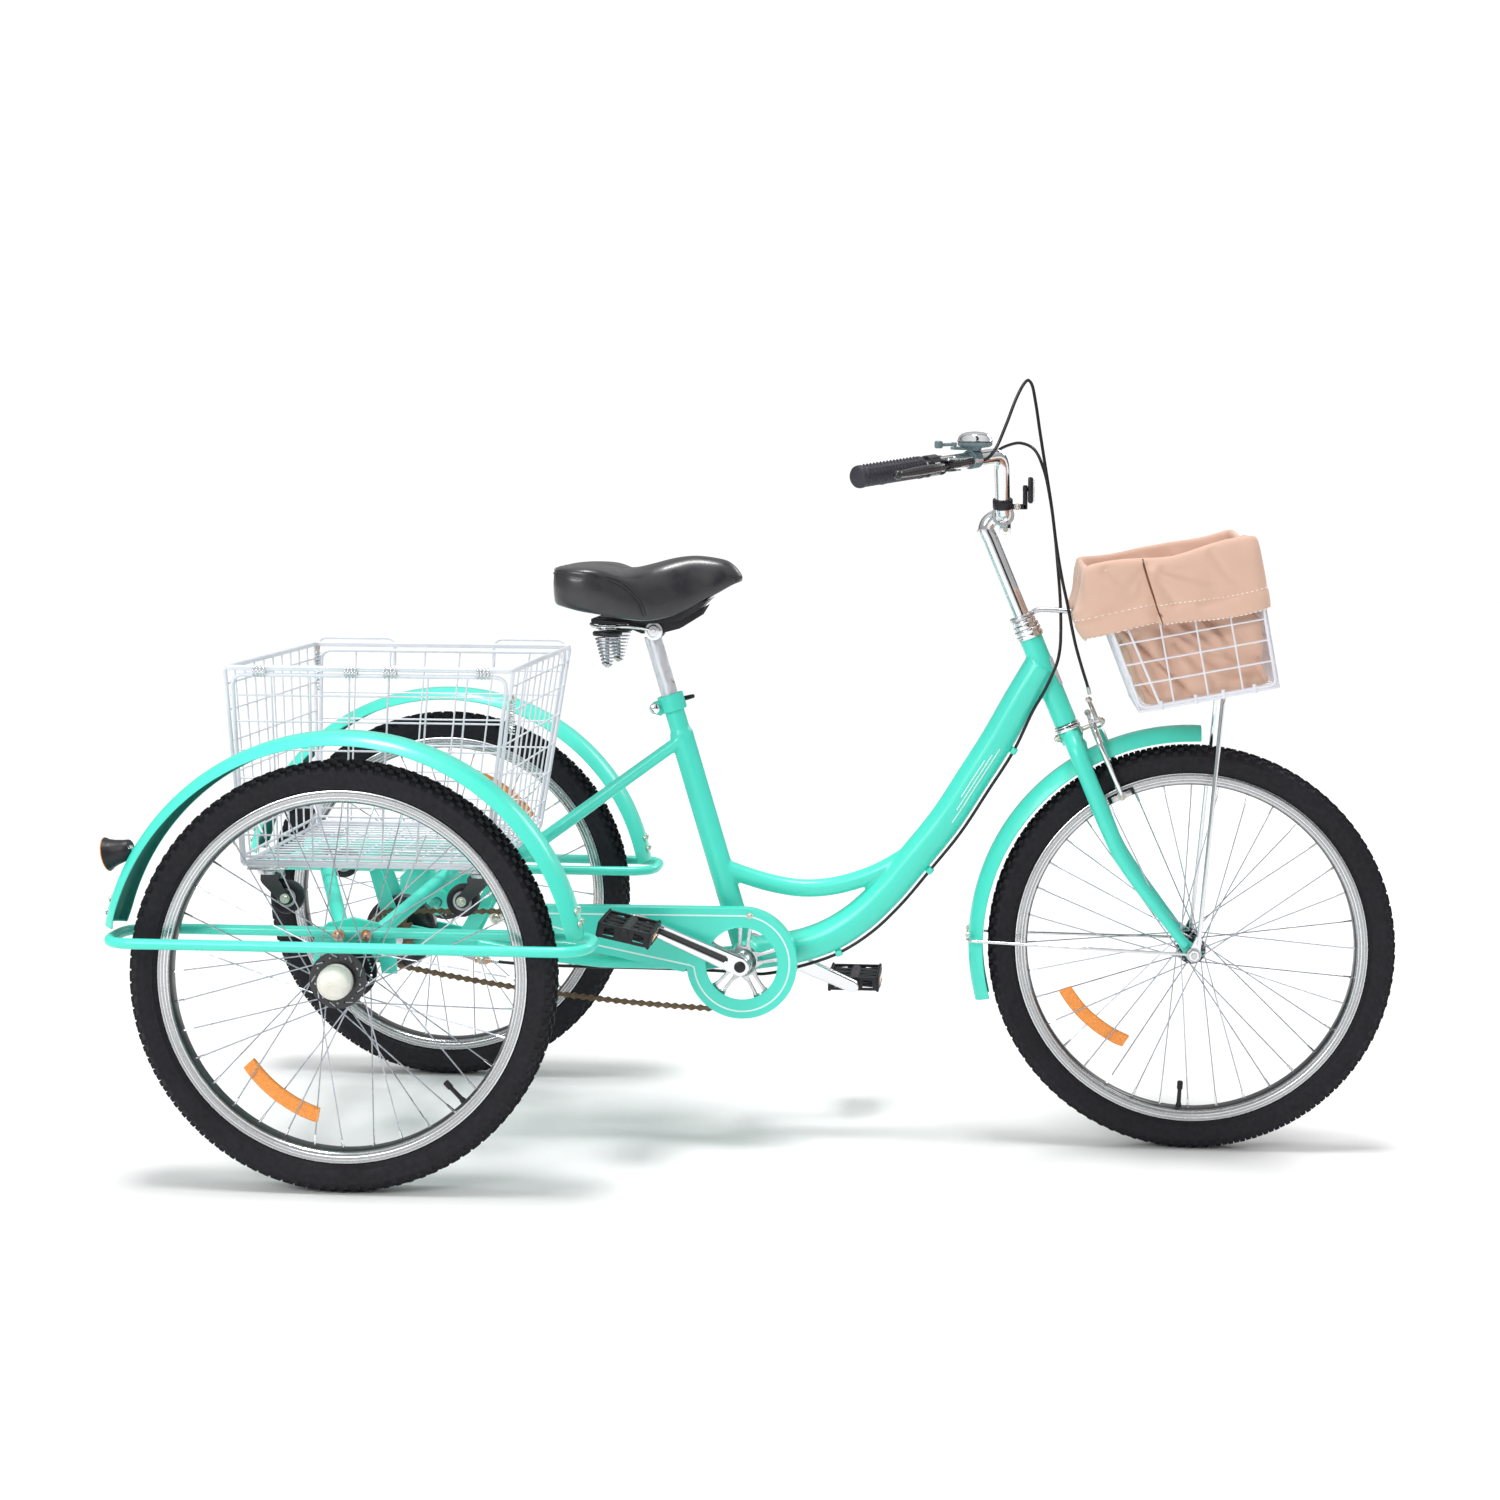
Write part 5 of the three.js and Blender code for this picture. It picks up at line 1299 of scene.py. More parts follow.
SPIDER_ARM = [
    (6, -13), (20, -12), (30, -8.5), (46, -9.5), (60, -14), (63, 0), (60, 14), (46, 9.5), (30, 8.5), (20, 12),
    (6, 13),
]
SPIDER_SLOT = [(24, -3.2), (52, -4.6), (54, 0), (52, 4.6), (24, 3.2), (22.5, 0)]
CRANK_LENGTH = 170
CRANK_ANGLE = radians(157.2)


def arm_end(side):
    angle = CRANK_ANGLE + (PI if side > 0 else 0)
    return vec(CRANK.x + CRANK_LENGTH * cos(angle), 0, CRANK.z + CRANK_LENGTH * sin(angle))


def crank_arm_shapes(side):
    end = arm_end(side)
    outline = link_outline((CRANK.x, CRANK.z), (end.x, end.z), 14, 9.5)
    start, stop = CRANK.lerp(end, 0.15), CRANK.lerp(end, 0.88)
    groove = list(reversed(link_outline((start.x, start.z + 1.5), (stop.x, stop.z + 1.5), 4.4, 3.4)))
    face = plate([outline, groove], 88 * side, 94 * side, 1.6)
    arm = joined(face, plate([outline], 82 * side, 89 * side, 2.2))
    # The groove's floor is black.
    groove_floor = plate([list(reversed(groove))], 88.6 * side, 90.2 * side, 0.3)
    dome = [(0, 3.2), (6, 3.0), (8.4, 1.8), (9, 0), (0, 0)]
    cap = lathe(dome, CRANK + Y_AXIS * 93 * side, Y_AXIS * side, 28)
    pin = rod(end + Y_AXIS * 84 * side, end + Y_AXIS * 100 * side, 5.2, 20)
    spindle = rod(end + Y_AXIS * 98 * side, end + Y_AXIS * 195 * side, 4.4, 20)
    return joined(arm, pin, spindle), cap, groove_floor


def crank_piece(name, side):
    arm, cap, groove_floor = crank_arm_shapes(side)
    return Piece(name).add(arm, "chrome").add(cap, "plastic").add(groove_floor, "black_paint")


def make_cranks():
    right = crank_piece("crank_right_set", -1)
    ring_hole = list(reversed(arc((CRANK.x, CRANK.z), 58, 0, 354, 59)))
    ring = plate([toothed_outline(CRANK, 69.4, 36, 0.06), ring_hole], CHAIN_Y - 1.6, CHAIN_Y + 1.6, 0.5)
    right.add(ring, "steel")
    for i in range(5):
        angle = CRANK_ANGLE + 2 * PI * i / 5
        ahead = polar(angle)
        across = vec(-ahead.z, 0, ahead.x)
        outline, slot = (
            [((CRANK + ahead * r + across * s).x, (CRANK + ahead * r + across * s).z) for r, s in places]
            for places in (SPIDER_ARM, SPIDER_SLOT)
        )
        right.add(plate([outline, slot], CHAIN_Y - 5.4, CHAIN_Y - 1.6, 1.1), "steel")
        rivet = CRANK + ahead * 60 + Y_AXIS * (CHAIN_Y - 5.2)
        right.add(bolt_shape(rivet, -Y_AXIS, 3.4, 2.2), "bolt")
    boss = [(0, -20), (14, -20), (15.5, -18), (16, 0), (21, 6), (21, 9), (0, 9)]
    right.add(lathe(boss, CRANK + Y_AXIS * (CHAIN_Y - 12), Y_AXIS, 36), "steel")
    right.done("crankset", "chrome_trim", ["crank_right"])
    left = crank_piece("crank_left_set", 1)
    left.add(rod(CRANK - Y_AXIS * 74, CRANK + Y_AXIS * 84, 8, 28), "steel")
    left.add(rod(CRANK + Y_AXIS * 66, CRANK + Y_AXIS * 84, 13, 28, 15), "steel")
    left.done("crankset", "chrome_trim", ["crank_left"])


def make_pedal(name, side, tilt):
    end = arm_end(side)
    place = Matrix.Translation(end) @ Matrix.Rotation(radians(tilt), 4, "Y")
    near, far = sorted((104 * side, 202 * side))
    pedal = Piece(f"pedal_{name}_cage")

    def add(shape, material):
        pedal.add(moved(shape, place), material)

    for x in BOTH:
        add(block(sorted((40 * x, 35 * x)), (near, far), (-12, 12), 1.5), "plastic")
        for i in range(11):
            y = near + 6 + (far - near - 12) * i / 10
            for z in BOTH:
                tooth = rod((37.5 * x, y, 11 * z), (37.5 * x, y, 13.4 * z), 2.4, 4, 1.2)
                add(tooth, "plastic")
        add(block(sorted((40.6 * x, 38.6 * x)), (near + 26, far - 26), (-6.5, 6.5), 1.0), "orange_lens")
        frame_ys = (near + 22, far - 22)
        for z in (-8.4, 8.4):
            add(block(sorted((41.2 * x, 38 * x)), frame_ys, (z - 1.4, z + 1.4), 0.6), "plastic")
    rim = [(-38, -10.5), (38, -10.5), (38, 10.5), (-38, 10.5)]
    window = [(14, -6.5), (15, 6.5), (29, 5.5), (30, -6.5)]
    windows = [window, [(-x, z) for x, z in reversed(window)]]
    for y in (near + 3, far - 3):
        add(plate([rim, *windows], y - 3, y + 3, 1.2), "plastic")
    for k in (-1, 0, 1):
        y = 153 * side + 24 * k
        for s in BOTH:
            for z in (-6.6, 6.6):
                path = [(x, y + dy * s, z) for x, dy in ((36, 9), (12, 2), (-12, -2), (-36, -9))]
                add(tube(path, 2.4, 8), "plastic")
    add(rod((0, near + 1, 0), (0, far - 1, 0), 10.4, 28, chamfer=1.4), "plastic")
    add(rod((0, 202 * side, 0), (0, 203.6 * side, 0), 7.6, 24, chamfer=0.7), "plastic")
    pedal.done(f"{name}_pedal", "black_plastic", [f"pedal_{name}"])


# ---------------------------------------------------------------- fork, stem and handlebar
BAR_RADIUS = 11
BAR_CORNERS = [
    (716, -300, 1004), (912, -58, 1037), (915, -34, 947), (915, 34, 947), (912, 58, 1037), (716, 300, 1004),
]
GRIP_DIRECTION = (Vector(BAR_CORNERS[1]) - Vector(BAR_CORNERS[0])).normalized()
HEADSET_TOP = 169.5


def bar_point(side, from_end, forward=0.0, up=0.0):
    """A point on the straight part of the bar, from its end, with offsets forward and up."""
    inward = vec(GRIP_DIRECTION.x, -GRIP_DIRECTION.y * side, GRIP_DIRECTION.z)
    ahead = vec(GRIP_DIRECTION.y, GRIP_DIRECTION.x * side, 0).normalized()
    end = vec(BAR_CORNERS[0][0], 300 * side, BAR_CORNERS[0][2])
    return end + inward * from_end + ahead * forward + Z_AXIS * up


def bar_inward(side):
    return (bar_point(side, 10) - bar_point(side, 0)).normalized()


FORK_BLADE = [(-17, 4), (-25, 24), (-38, 37), (-60, 43), (-110, 45), (-160, 47)]
FORK_FOOT = [(1091, 49, 448), (1115, 51, 411), (1148, 53, 367), (1190, 55, 313)]


def make_fork():
    fork = Piece("fork_blades")
    shapes = [rod(head(-30), head(-9), 17, 32, chamfer=1.5)]
    for side in BOTH:
        line = [head(up, 0, left * side) for up, left in FORK_BLADE]
        line += [(x, y * side, z) for x, y, z in FORK_FOOT]
        radii = [13 * (1 - 0.42 * max(0, i / 60 - 0.4) / 0.6) for i in range(61)]
        shapes.append(tube(smooth(line, 60), radii, 24))
    fork.add(welded(shapes, 1.8, 4), "mint")
    for side in BOTH:
        hole = list(reversed(arc((WHEELBASE, WHEEL_RADIUS), 4.6, 0, 340, 17)))
        dropout = plate([link_outline((1186, 318), (1201, 302), 8, 12), hole], 51.5 * side, 56.5 * side, 1)
        fork.add(dropout, "mint")
    race = [(12.7, 0), (19.6, 0), (20, 1.5), (20, 4), (17.6, 6), (12.7, 6), (12.7, 0)]
    fork.add(lathe(race, head(-9), HEAD_UP, 40), "chrome")
    fork.add(rod(head(-2.6), head(-0.6), 19.4, 40, chamfer=0.7), "chrome")
    locknut = [
        (12.9, 156), (19.4, 156), (19.6, 158), (19.6, 160.6), (17.6, 161.5), (12.9, 161.5), (12.9, 156),
    ]
    fork.add(lathe(locknut, HEAD_BASE, HEAD_UP, 40), "chrome")
    fork.add(rod(head(162), head(HEADSET_TOP), 17.6, 8, chamfer=1.2), "chrome")
    fork.add(bolt_shape(head(-16, 17.2), HEAD_FORWARD, 6, 3), "bolt")
    fork.add(rod(head(-16, 12), head(-16, 52), 3.2, 16, chamfer=0.5), "bolt")
    fork.add(nut_shape(head(-16, 50.2), HEAD_FORWARD, 5.6, 4.4, 1.6), "bolt")
    fork.add(nut_shape(head(-16, -17.4), -HEAD_FORWARD, 6, 5, 3), "bolt")
    fork.done("steering", "mint_paint", ["fork"], 45)


def make_front_axle():
    axle = Piece("front_axle_bolt")
    centre = FRONT_CENTRE
    axle.add(rod(centre - Y_AXIS * 79, centre + Y_AXIS * 79, 4.4, 20, chamfer=0.8), "steel")
    for side in BOTH:
        for near, far, radius, sides, chamfer, finish in (
            (56.6, 58.4, 10.5, 32, 0.4, "steel"), (69, 76, 8.8, 6, 0.8, "chrome"),
            (68.6, 70, 10.4, 32, 0, "steel"),
        ):
            ends = centre + Y_AXIS * near * side, centre + Y_AXIS * far * side
            axle.add(rod(*ends, radius, sides, chamfer=chamfer), finish)
    axle.done("steering", "silver_metal", ["front_axle"])


def make_stem():
    stem = Piece("stem_quill")
    neck = smooth([head(300), head(316), vec(896, 0, 938), vec(908, 0, 944)], 12)
    stem.add(tube([head(HEADSET_TOP + 0.3), head(300), *neck[1:]], 12, 32), "chrome")
    stem.add(lathe(collar(12, 17, -16, 16), vec(915, 0, 947), Y_AXIS, 40), "chrome")
    for y in (-6, 6):
        stem.add(block((910, 927), sorted((y - 2.6, y + 2.6)), (918, 938), 1.4), "chrome")
    stem.add(rod((919, -13, 925), (919, 13, 925), 3.6, 16, chamfer=0.6), "bolt")
    stem.add(nut_shape(vec(919, 9, 925), Y_AXIS, 6, 4, 1), "bolt")
    stem.add(bolt_shape(head(318, -7), HEAD_UP, 5.6, 4), "bolt")
    stem.done("steering", "chrome_trim", ["stem"])


def make_handlebar():
    path = bent(BAR_CORNERS, [26, 20, 20, 26], 12)
    bar = Piece("handlebar_tube").add(tube(path, BAR_RADIUS, 28), "chrome")
    bar.done("steering", "chrome_trim", ["handlebar"])


def make_grip(name, side):
    """A soft grip with rows of raised ribs and a flared end."""
    inward = bar_inward(side)
    profile = [(0, -5), (12, -5), (14, -4.2), (15.6, -2), (16, 0), (16, 4), (14.6, 6)]
    for i in range(16):
        d = 8 + i * 7
        profile += [(14.4, d), (15.3, d + 1.2), (15.3, d + 4.6), (14.4, d + 5.8)]
    profile += [(14.4, 121), (16, 123), (16, 127), (15, 128), (BAR_RADIUS + 0.4, 128)]
    grip = Piece(f"grip_{name}_sleeve").add(lathe(profile, bar_point(side, 0), inward, 40), "grip")
    grip.add(lathe([(0, 0), (6, 0.4), (7, 0), (7, -1), (0, -1)], bar_point(side, -5), -inward, 24), "grip")
    pads = []
    matrix = along(bar_point(side, 0), inward)
    for row in range(16):
        for k in range(5):
            angle = radians(40 + 25 * k)
            spot = polar(angle, 15.4, 10.9 + row * 7)
            pads.append(ball(matrix @ spot, 1.5, rings=4, sides=8))
    grip.add(joined(*pads), "grip")
    grip.done("steering", "black_rubber", [f"grip_{name}"])


PERCH_ARM = [(148, 13), (155, 21), (168, 25)]
PERCH_BODY = [(164, 24), (185, 25.4), (204, 26)]
PERCH_RADII = [6, 6, 6.2, 6.2, 6.2, 6, 5.6, 5.2, 4.8, 4.6, 4.4]
LEVER_BLADE = [(154, 31), (120, 37), (70, 40), (32, 45)]
CABLE_EXIT = (223, 26)


def make_brake_lever(name, side):
    """The perch with its clamp, pivot and cable adjuster, and the curved lever with its ball end."""

    def line(places, steps):
        return smooth([bar_point(side, *place) for place in places], steps)

    start = bar_point(side, 0)
    perch = Piece(f"lever_perch_{name}_body")
    band = [
        (BAR_RADIUS + 0.3, 140), (14.6, 140), (15.5, 141), (15.5, 161), (14.6, 162), (BAR_RADIUS + 0.3, 162),
    ]
    perch.add(lathe([*band, band[0]], start, bar_inward(side), 32), "black_paint")
    perch.add(tube(line(PERCH_ARM, 10), 6, 20), "black_paint")
    perch.add(tube(line(PERCH_BODY, 10), PERCH_RADII, 20), "black_paint")
    for d in (206, 209, 212):
        ahead = bar_point(side, d + 2.2, 26)
        perch.add(rod(bar_point(side, d, 26), ahead, 5.2, 12, chamfer=0.4), "black_paint")
    perch.add(rod(bar_point(side, 204, 26), bar_point(side, 222, 26), 3.4, 16, chamfer=0.6), "steel")
    forward = (bar_point(side, 151, 1) - bar_point(side, 151)).normalized()
    perch.add(nut_shape(bar_point(side, 151, -13), -forward, 4.4, 3, 1), "bolt")
    pivot = bar_point(side, 156, 30)
    for end in BOTH:
        face = pivot + Z_AXIS * 5 * end
        perch.add(rod(face, face + Z_AXIS * 3 * end, 12, 32, chamfer=0.9), "black_paint")
        perch.add(bolt_shape(face + Z_AXIS * 3 * end, Z_AXIS * end, 3.6, 2), "steel")
    perch.done("steering", "black_paint", [f"lever_perch_{name}"])
    radii = [4.8 + 1.7 * sin(PI * i / 40) for i in range(41)]
    lever = Piece(f"brake_lever_{name}_blade").add(tube(line(LEVER_BLADE, 40), radii, 20), "black_paint")
    lever.add(ball(bar_point(side, 30, 45), 6.6), "black_paint")
    lever.add(rod(pivot - Z_AXIS * 4.6, pivot + Z_AXIS * 4.6, 8, 28, chamfer=0.6), "black_paint")
    lever.done(f"{name}_brake_lever", "black_paint", [f"brake_lever_{name}"])


BELL_SPOT = 246


def make_bell():
    inward = bar_inward(-1)
    foot = bar_point(-1, BELL_SPOT, 4, 12)
    band = [(BAR_RADIUS + 0.3, -8), (14, -8), (14, 8), (BAR_RADIUS + 0.3, 8), (BAR_RADIUS + 0.3, -8)]
    bell = Piece("bell_dome").add(lathe(band, bar_point(-1, BELL_SPOT), inward, 32), "grey_plastic")
    base = [(0, 0), (9, 0), (10, 4), (21, 5.5), (25, 8), (25.6, 11), (24, 12.4), (0, 12.4)]
    dome = [
        (24.6, 12.6), (26, 12.9), (26, 14), (25.2, 15), (24.6, 18), (22.6, 21.8), (19, 24.8), (13, 26.8),
        (6, 27.7), (4, 27.8), (3.6, 28.0), (0, 28.0),
    ]
    bell.add(lathe(base, foot, Z_AXIS, 48), "grey_plastic").add(lathe(dome, foot, Z_AXIS, 56), "chrome")
    pin = foot + vec(-30, -16, 9)
    bell.add(rod(pin - Z_AXIS * 7.5, pin - Z_AXIS * 3.5, 5, 24, chamfer=0.6), "grey_plastic")
    bell.add(rod(foot + vec(-6, -3, 3.5), pin - Z_AXIS * 5.5, 2.5, 16), "grey_plastic")
    bell.done("steering", "chrome_trim", ["bell"])
    reach = pin + vec(-22, -10, -1)
    lever = Piece("bell_lever_thumb").add(rod(pin, reach, 2.5, 16), "grey_plastic")
    lever.add(rod(reach - Z_AXIS * 5, reach + Z_AXIS * 6, 6, 24, chamfer=1.6), "grey_plastic")
    lever.add(rod(pin - Z_AXIS * 3, pin + Z_AXIS * 3, 4, 24, chamfer=0.6), "grey_plastic")
    lever.done("bell_thumb_lever", "black_plastic", ["bell_lever"])


def make_front_reflector():
    foot, lean = vec(914.4, -38.6, 964.4), vec(-0.03, -0.26, 0.97)
    band = [(BAR_RADIUS + 0.4, -7), (14.4, -7), (15, -6), (15, 6), (14.4, 7), (BAR_RADIUS + 0.4, 7)]
    holder = Piece("front_reflector_case").add(lathe([*band, band[0]], foot, lean, 32), "plastic")
    holder.add(block((926, 950), (-42, -34), (956, 964), 1.5), "plastic")
    holder.add(block((944, 951), (-42, -28), (956, 992), 1.5), "plastic")
    holder.add(block((952, 959), (-50, 10), (965, 1004), 2.5), "plastic")
    holder.add(block((958.2, 961.8), (-47, 7), (968, 1001), 1.6), "white_lens")
    for y in (-20, 0):
        holder.add(rod((944, y - 8, 986), (953, y - 8, 986), 3.4, 16, chamfer=0.6), "plastic")
    holder.add(bolt_shape(vec(936, -42.2, 960), -Y_AXIS, 3.4, 2.4), "bolt")
    holder.done("steering", "white_lens", ["front_reflector"])


# ---------------------------------------------------------------- front fender, brake and cables
def make_front_fender():
    centre = FRONT_CENTRE
    fender = fender_piece("front_fender_blade", centre, FRONT_FENDER_RADIUS, 29, 20, 88, 195, 80)
    for side in BOTH:
        line = [
            (872, 24 * side, 313), (867, 31 * side, 312), (872, 38 * side, 311.5), (900, 41.5 * side, 310.6),
            (1040, 52.5 * side, 306.5), (1180, 63 * side, 303.2), (1190, 63.2 * side, 303),
        ]
        fender.add(tube(smooth(line, 40), 2.3, 12), "chrome")
        fender.add(nut_shape(vec(868, 28 * side, 318), vec(-1, 0, 0), 4, 3, 1.4), "bolt")
    spot = centre + polar(radians(118.6)) * FRONT_FENDER_RADIUS
    tab = smooth([spot, spot + vec(-4, 0, 14), head(-42, -2), head(-34, 0)], 14)
    fender.add(tube(tab, 4.4, 14), "mint")
    fender.add(bolt_shape(spot + vec(10, 0, -1), vec(-0.48, 0, 0.88), 4, 3), "bolt")
    fender.done("steering", "mint_paint", ["front_fender"], 50)


CALIPER_PIVOT = -16
SHOE_ANGLE = radians(24.6)


def make_caliper_arm(name, side):
    front = 45 if side > 0 else 36
    lower = [(0, 0), (22, -5), (37, -24), (38.5, -62), (33, -98), (26, -112)]
    upper = [(0, 0), (10, 14), (30, 30)] if side > 0 else [(0, 0), (14, 8), (36, 12)]
    arm = Piece(f"caliper_arm_{name}_casting")
    leg = smooth([head(CALIPER_PIVOT + up, front, across * side) for across, up in lower], 30)
    horn = smooth([head(CALIPER_PIVOT + up, front, across) for across, up in upper], 10)
    arm.add(tube(leg, [5.2 - 1.4 * i / 30 for i in range(31)], 14), "chrome")
    arm.add(tube(horn, 3.6, 14), "chrome")
    arm.add(rod(head(CALIPER_PIVOT, front - 4), head(CALIPER_PIVOT, front + 4), 8, 28, chamfer=0.8), "chrome")
    end = horn[-1]
    arm.add(rod(end - HEAD_UP * 6, end + HEAD_UP * 8, 3.6, 16, chamfer=0.6), "steel")
    arm.add(rod(end + HEAD_UP * 1, end + HEAD_UP * 6, 5.4, 6, chamfer=0.5), "bolt")
    centre = head(CALIPER_PIVOT - 112, front, 21 * side)
    turn = Matrix.Translation(centre) @ Matrix.Rotation(-SHOE_ANGLE, 4, "Y")
    pad_y, holder_y = sorted((-3.4 * side, 1.2 * side)), sorted((1 * side, 3.6 * side))
    arm.add(block((-21, 21), pad_y, (-5, 5), 1.2, turn), "rubber")
    arm.add(block((-16, 16), holder_y, (-4, 4), 0.8, turn), "steel")
    arm.add(nut_shape(centre + Y_AXIS * 4 * side, Y_AXIS * side, 5, 4.4, 2.4), "bolt")
    arm.done(f"{name}_caliper_arm", "silver_metal", [f"caliper_arm_{name}"])


CABLE_RADIUS = 2.4


def cable(name, body, node, route, steps, ferrules=()):
    path = smooth(route, steps)
    sheath = Piece(name).add(tube(path, CABLE_RADIUS, 14), "cable")
    for index in ferrules:
        step = (path[1] - path[0]) if index == 0 else (path[-2] - path[-1])
        start = path[0] if index == 0 else path[-1]
        sheath.add(rod(start, start + step.normalized() * 12, CABLE_RADIUS + 0.7, 16, chamfer=0.5), "steel")
    piece = sheath.done(body, "black_rubber", [node])


def make_cables():
    cable("front_cable_sheath", "steering", "front_brake_cable", [
        bar_point(-1, *CABLE_EXIT), (890, -129, 1030), (903, -108, 1045), (918, -82, 1080), (933, -54, 1120),
        (945, -30, 1143), (951, -22, 1148), (956, -18, 1142), (962, -16, 1115), (969, -17, 1070),
        (978, -20, 1015), (987, -23, 960), (995, -25, 900), (1004, -23, 850), (1012, -16, 815),
        (1019, -8, 780), (1026, 4, 750), (1036, 17, 716), (1045, 28, 688), (1048, 30, 676),
    ], 160, (0, 1))
    cable("rear_cable_upper_sheath", "steering", "rear_brake_cable_upper", [
        bar_point(1, *CABLE_EXIT), (888, 129, 1031), (902, 106, 1041), (920, 79, 1051), (942, 52, 1055),
        (962, 34, 1045), (976, 26, 1015), (986, 23, 970), (993, 21, 920), (998, 19, 870),
        (1002, 14, 820), (1003, 4, 786), (1003, 0, 774),
    ], 110, (0,))
    clearance = 25 + CABLE_RADIUS + 1.6
    under = []
    for i in range(2, len(DOWN_TUBE) - 1):
        ahead = (Vector(DOWN_TUBE[i + 1]) - Vector(DOWN_TUBE[i - 1])).normalized()
        spot = Vector(DOWN_TUBE[i]) + vec(-ahead.z, 0, ahead.x) * clearance
        under.append(vec(spot.x, -8, spot.z))
    cable("rear_cable_sheath", "frame", "rear_brake_cable", [
        (1003, -0.3, 773.4), (1002, -11, 752), (998, -20, 730), (989, -23, 707), (978, -23, 684),
        (962, -19, 655), *under, (560, -4, 248), (532, 0, 248), (495, 0, 250), (410, 0, 252), (314, 2, 252),
        (200, 8, 252), (160, 10, 254), (137, 10.5, 256),
    ], 240, (1,))
    clips = Piece("cable_clips")
    for spot in (under[0], under[3], under[6]):
        i = under.index(spot)
        ahead = (under[i + 1] - spot).normalized()
        clips.add(rod(spot - ahead * 5, spot + ahead * 5, 5.2, 20, chamfer=1), "mint")
        root = spot + vec(ahead.z, 0, -ahead.x) * 5 + Y_AXIS * 3
        clips.add(rod(spot, root, 4, 16), "mint")
    clips.done("frame", "mint_paint")


def make_floor():
    bpy.ops.mesh.primitive_grid_add(x_subdivisions=40, y_subdivisions=40, size=30, location=(0, 0, 0))
    floor = bpy.context.active_object
    floor.name = "floor"
    look = Finish("floor_paper", (0.84, 0.84, 0.84), 0.95, Specular_IOR_Level=0.1)
    look.mottle(look.noise(2, 2), 0.995, 1.0)
    floor.data.materials.append(look.material)


# ---------------------------------------------------------------- seat post and saddle
SADDLE_CLAMP = vec(391, 0, 768)
SADDLE_TOP = [
    (247, 868), (262, 869), (284, 870), (314, 869), (350, 863), (389, 871), (423, 879), (452, 882),
    (483, 879), (500, 875), (512, 870), (524, 864),
]
SADDLE_BOTTOM = [
    (247, 812), (266, 809), (294, 803), (329, 797), (355, 791), (384, 787), (410, 790), (437, 799),
    (483, 824), (512, 840), (524, 844),
]
SADDLE_PLAN = [
    (247, 0), (247.5, 40), (250, 76), (258, 100), (276, 115), (306, 120), (342, 109), (378, 81), (412, 52),
    (448, 37), (490, 29.5), (510, 22), (520, 12), (523, 0),
]
SADDLE_SEAM = [
    (388, 790), (385, 800), (382, 810), (379, 817), (371, 827), (362, 836), (353, 844), (334, 853),
    (315, 858), (293, 861.5), (273, 862.5), (258, 862.5), (251, 862), (248, 861.5),
]
SADDLE_RAIL = [
    (299, 40, 779), (306, 50, 776.5), (326, 57, 775.5), (350, 48, 776.5), (372, 26, 773), (386, 19.5, 770),
]
SEAM_DEPTH, SEAM_WIDTH, STITCH_GAP = 1.5, 3.2, 2.6
REAR_SECTION = [
    (0, 1), (0.3, 0.995), (0.6, 0.985), (0.85, 0.965), (0.955, 0.935), (1.0, 0.87), (1.012, 0.7),
    (1.018, 0.45), (1.003, 0.2), (0.985, 0.06), (0.95, 0), (0.6, 0.02), (0, 0.06),
]
NOSE_SECTION = [
    (0, 1), (0.25, 0.985), (0.48, 0.93), (0.68, 0.83), (0.84, 0.68), (0.95, 0.5), (1.0, 0.34), (1.01, 0.2),
    (1.0, 0.1), (0.98, 0.03), (0.93, 0), (0.6, 0), (0, 0),
]


def value_along(points):
    """A smooth value along x through a few (x, value) points."""
    line = smooth([(x, 0, z) for x, z in points], 160)

    def value(x):
        for before, after in zip(line, line[1:]):
            if x <= after.x:
                share = max(0, (x - before.x) / max(after.x - before.x, 1e-6))
                return before.z + (after.z - before.z) * min(share, 1)
        return line[-1].z

    return value


def make_seat_post():
    post = Piece("seat_post_tube").add(rod(seat(252), seat(505), 12.7, 40, chamfer=1), "seat_alloy")
    post.add(rod(SADDLE_CLAMP - Y_AXIS * 12.7, SADDLE_CLAMP + Y_AXIS * 12.7, 11, 32, chamfer=0.8), "chrome")
    post.done("seat_mast", "chrome_trim", ["seat_post"])


def saddle_outline(count):
    half = [vec(x, y, 0) for x, y in SADDLE_PLAN]
    near = [vec(p.x, -p.y, 0) for p in reversed(half[1:-1])]
    loop = half + near
    points = smooth([*loop[-2:], *loop, *loop[:3]], 1600)
    start = min(range(len(points) // 2), key=lambda i: (points[i] - half[0]).length)
    end = min(range(len(points) // 2, len(points)), key=lambda i: (points[i] - half[0]).length)
    return even(points[start : end + 1], count)[:-1]


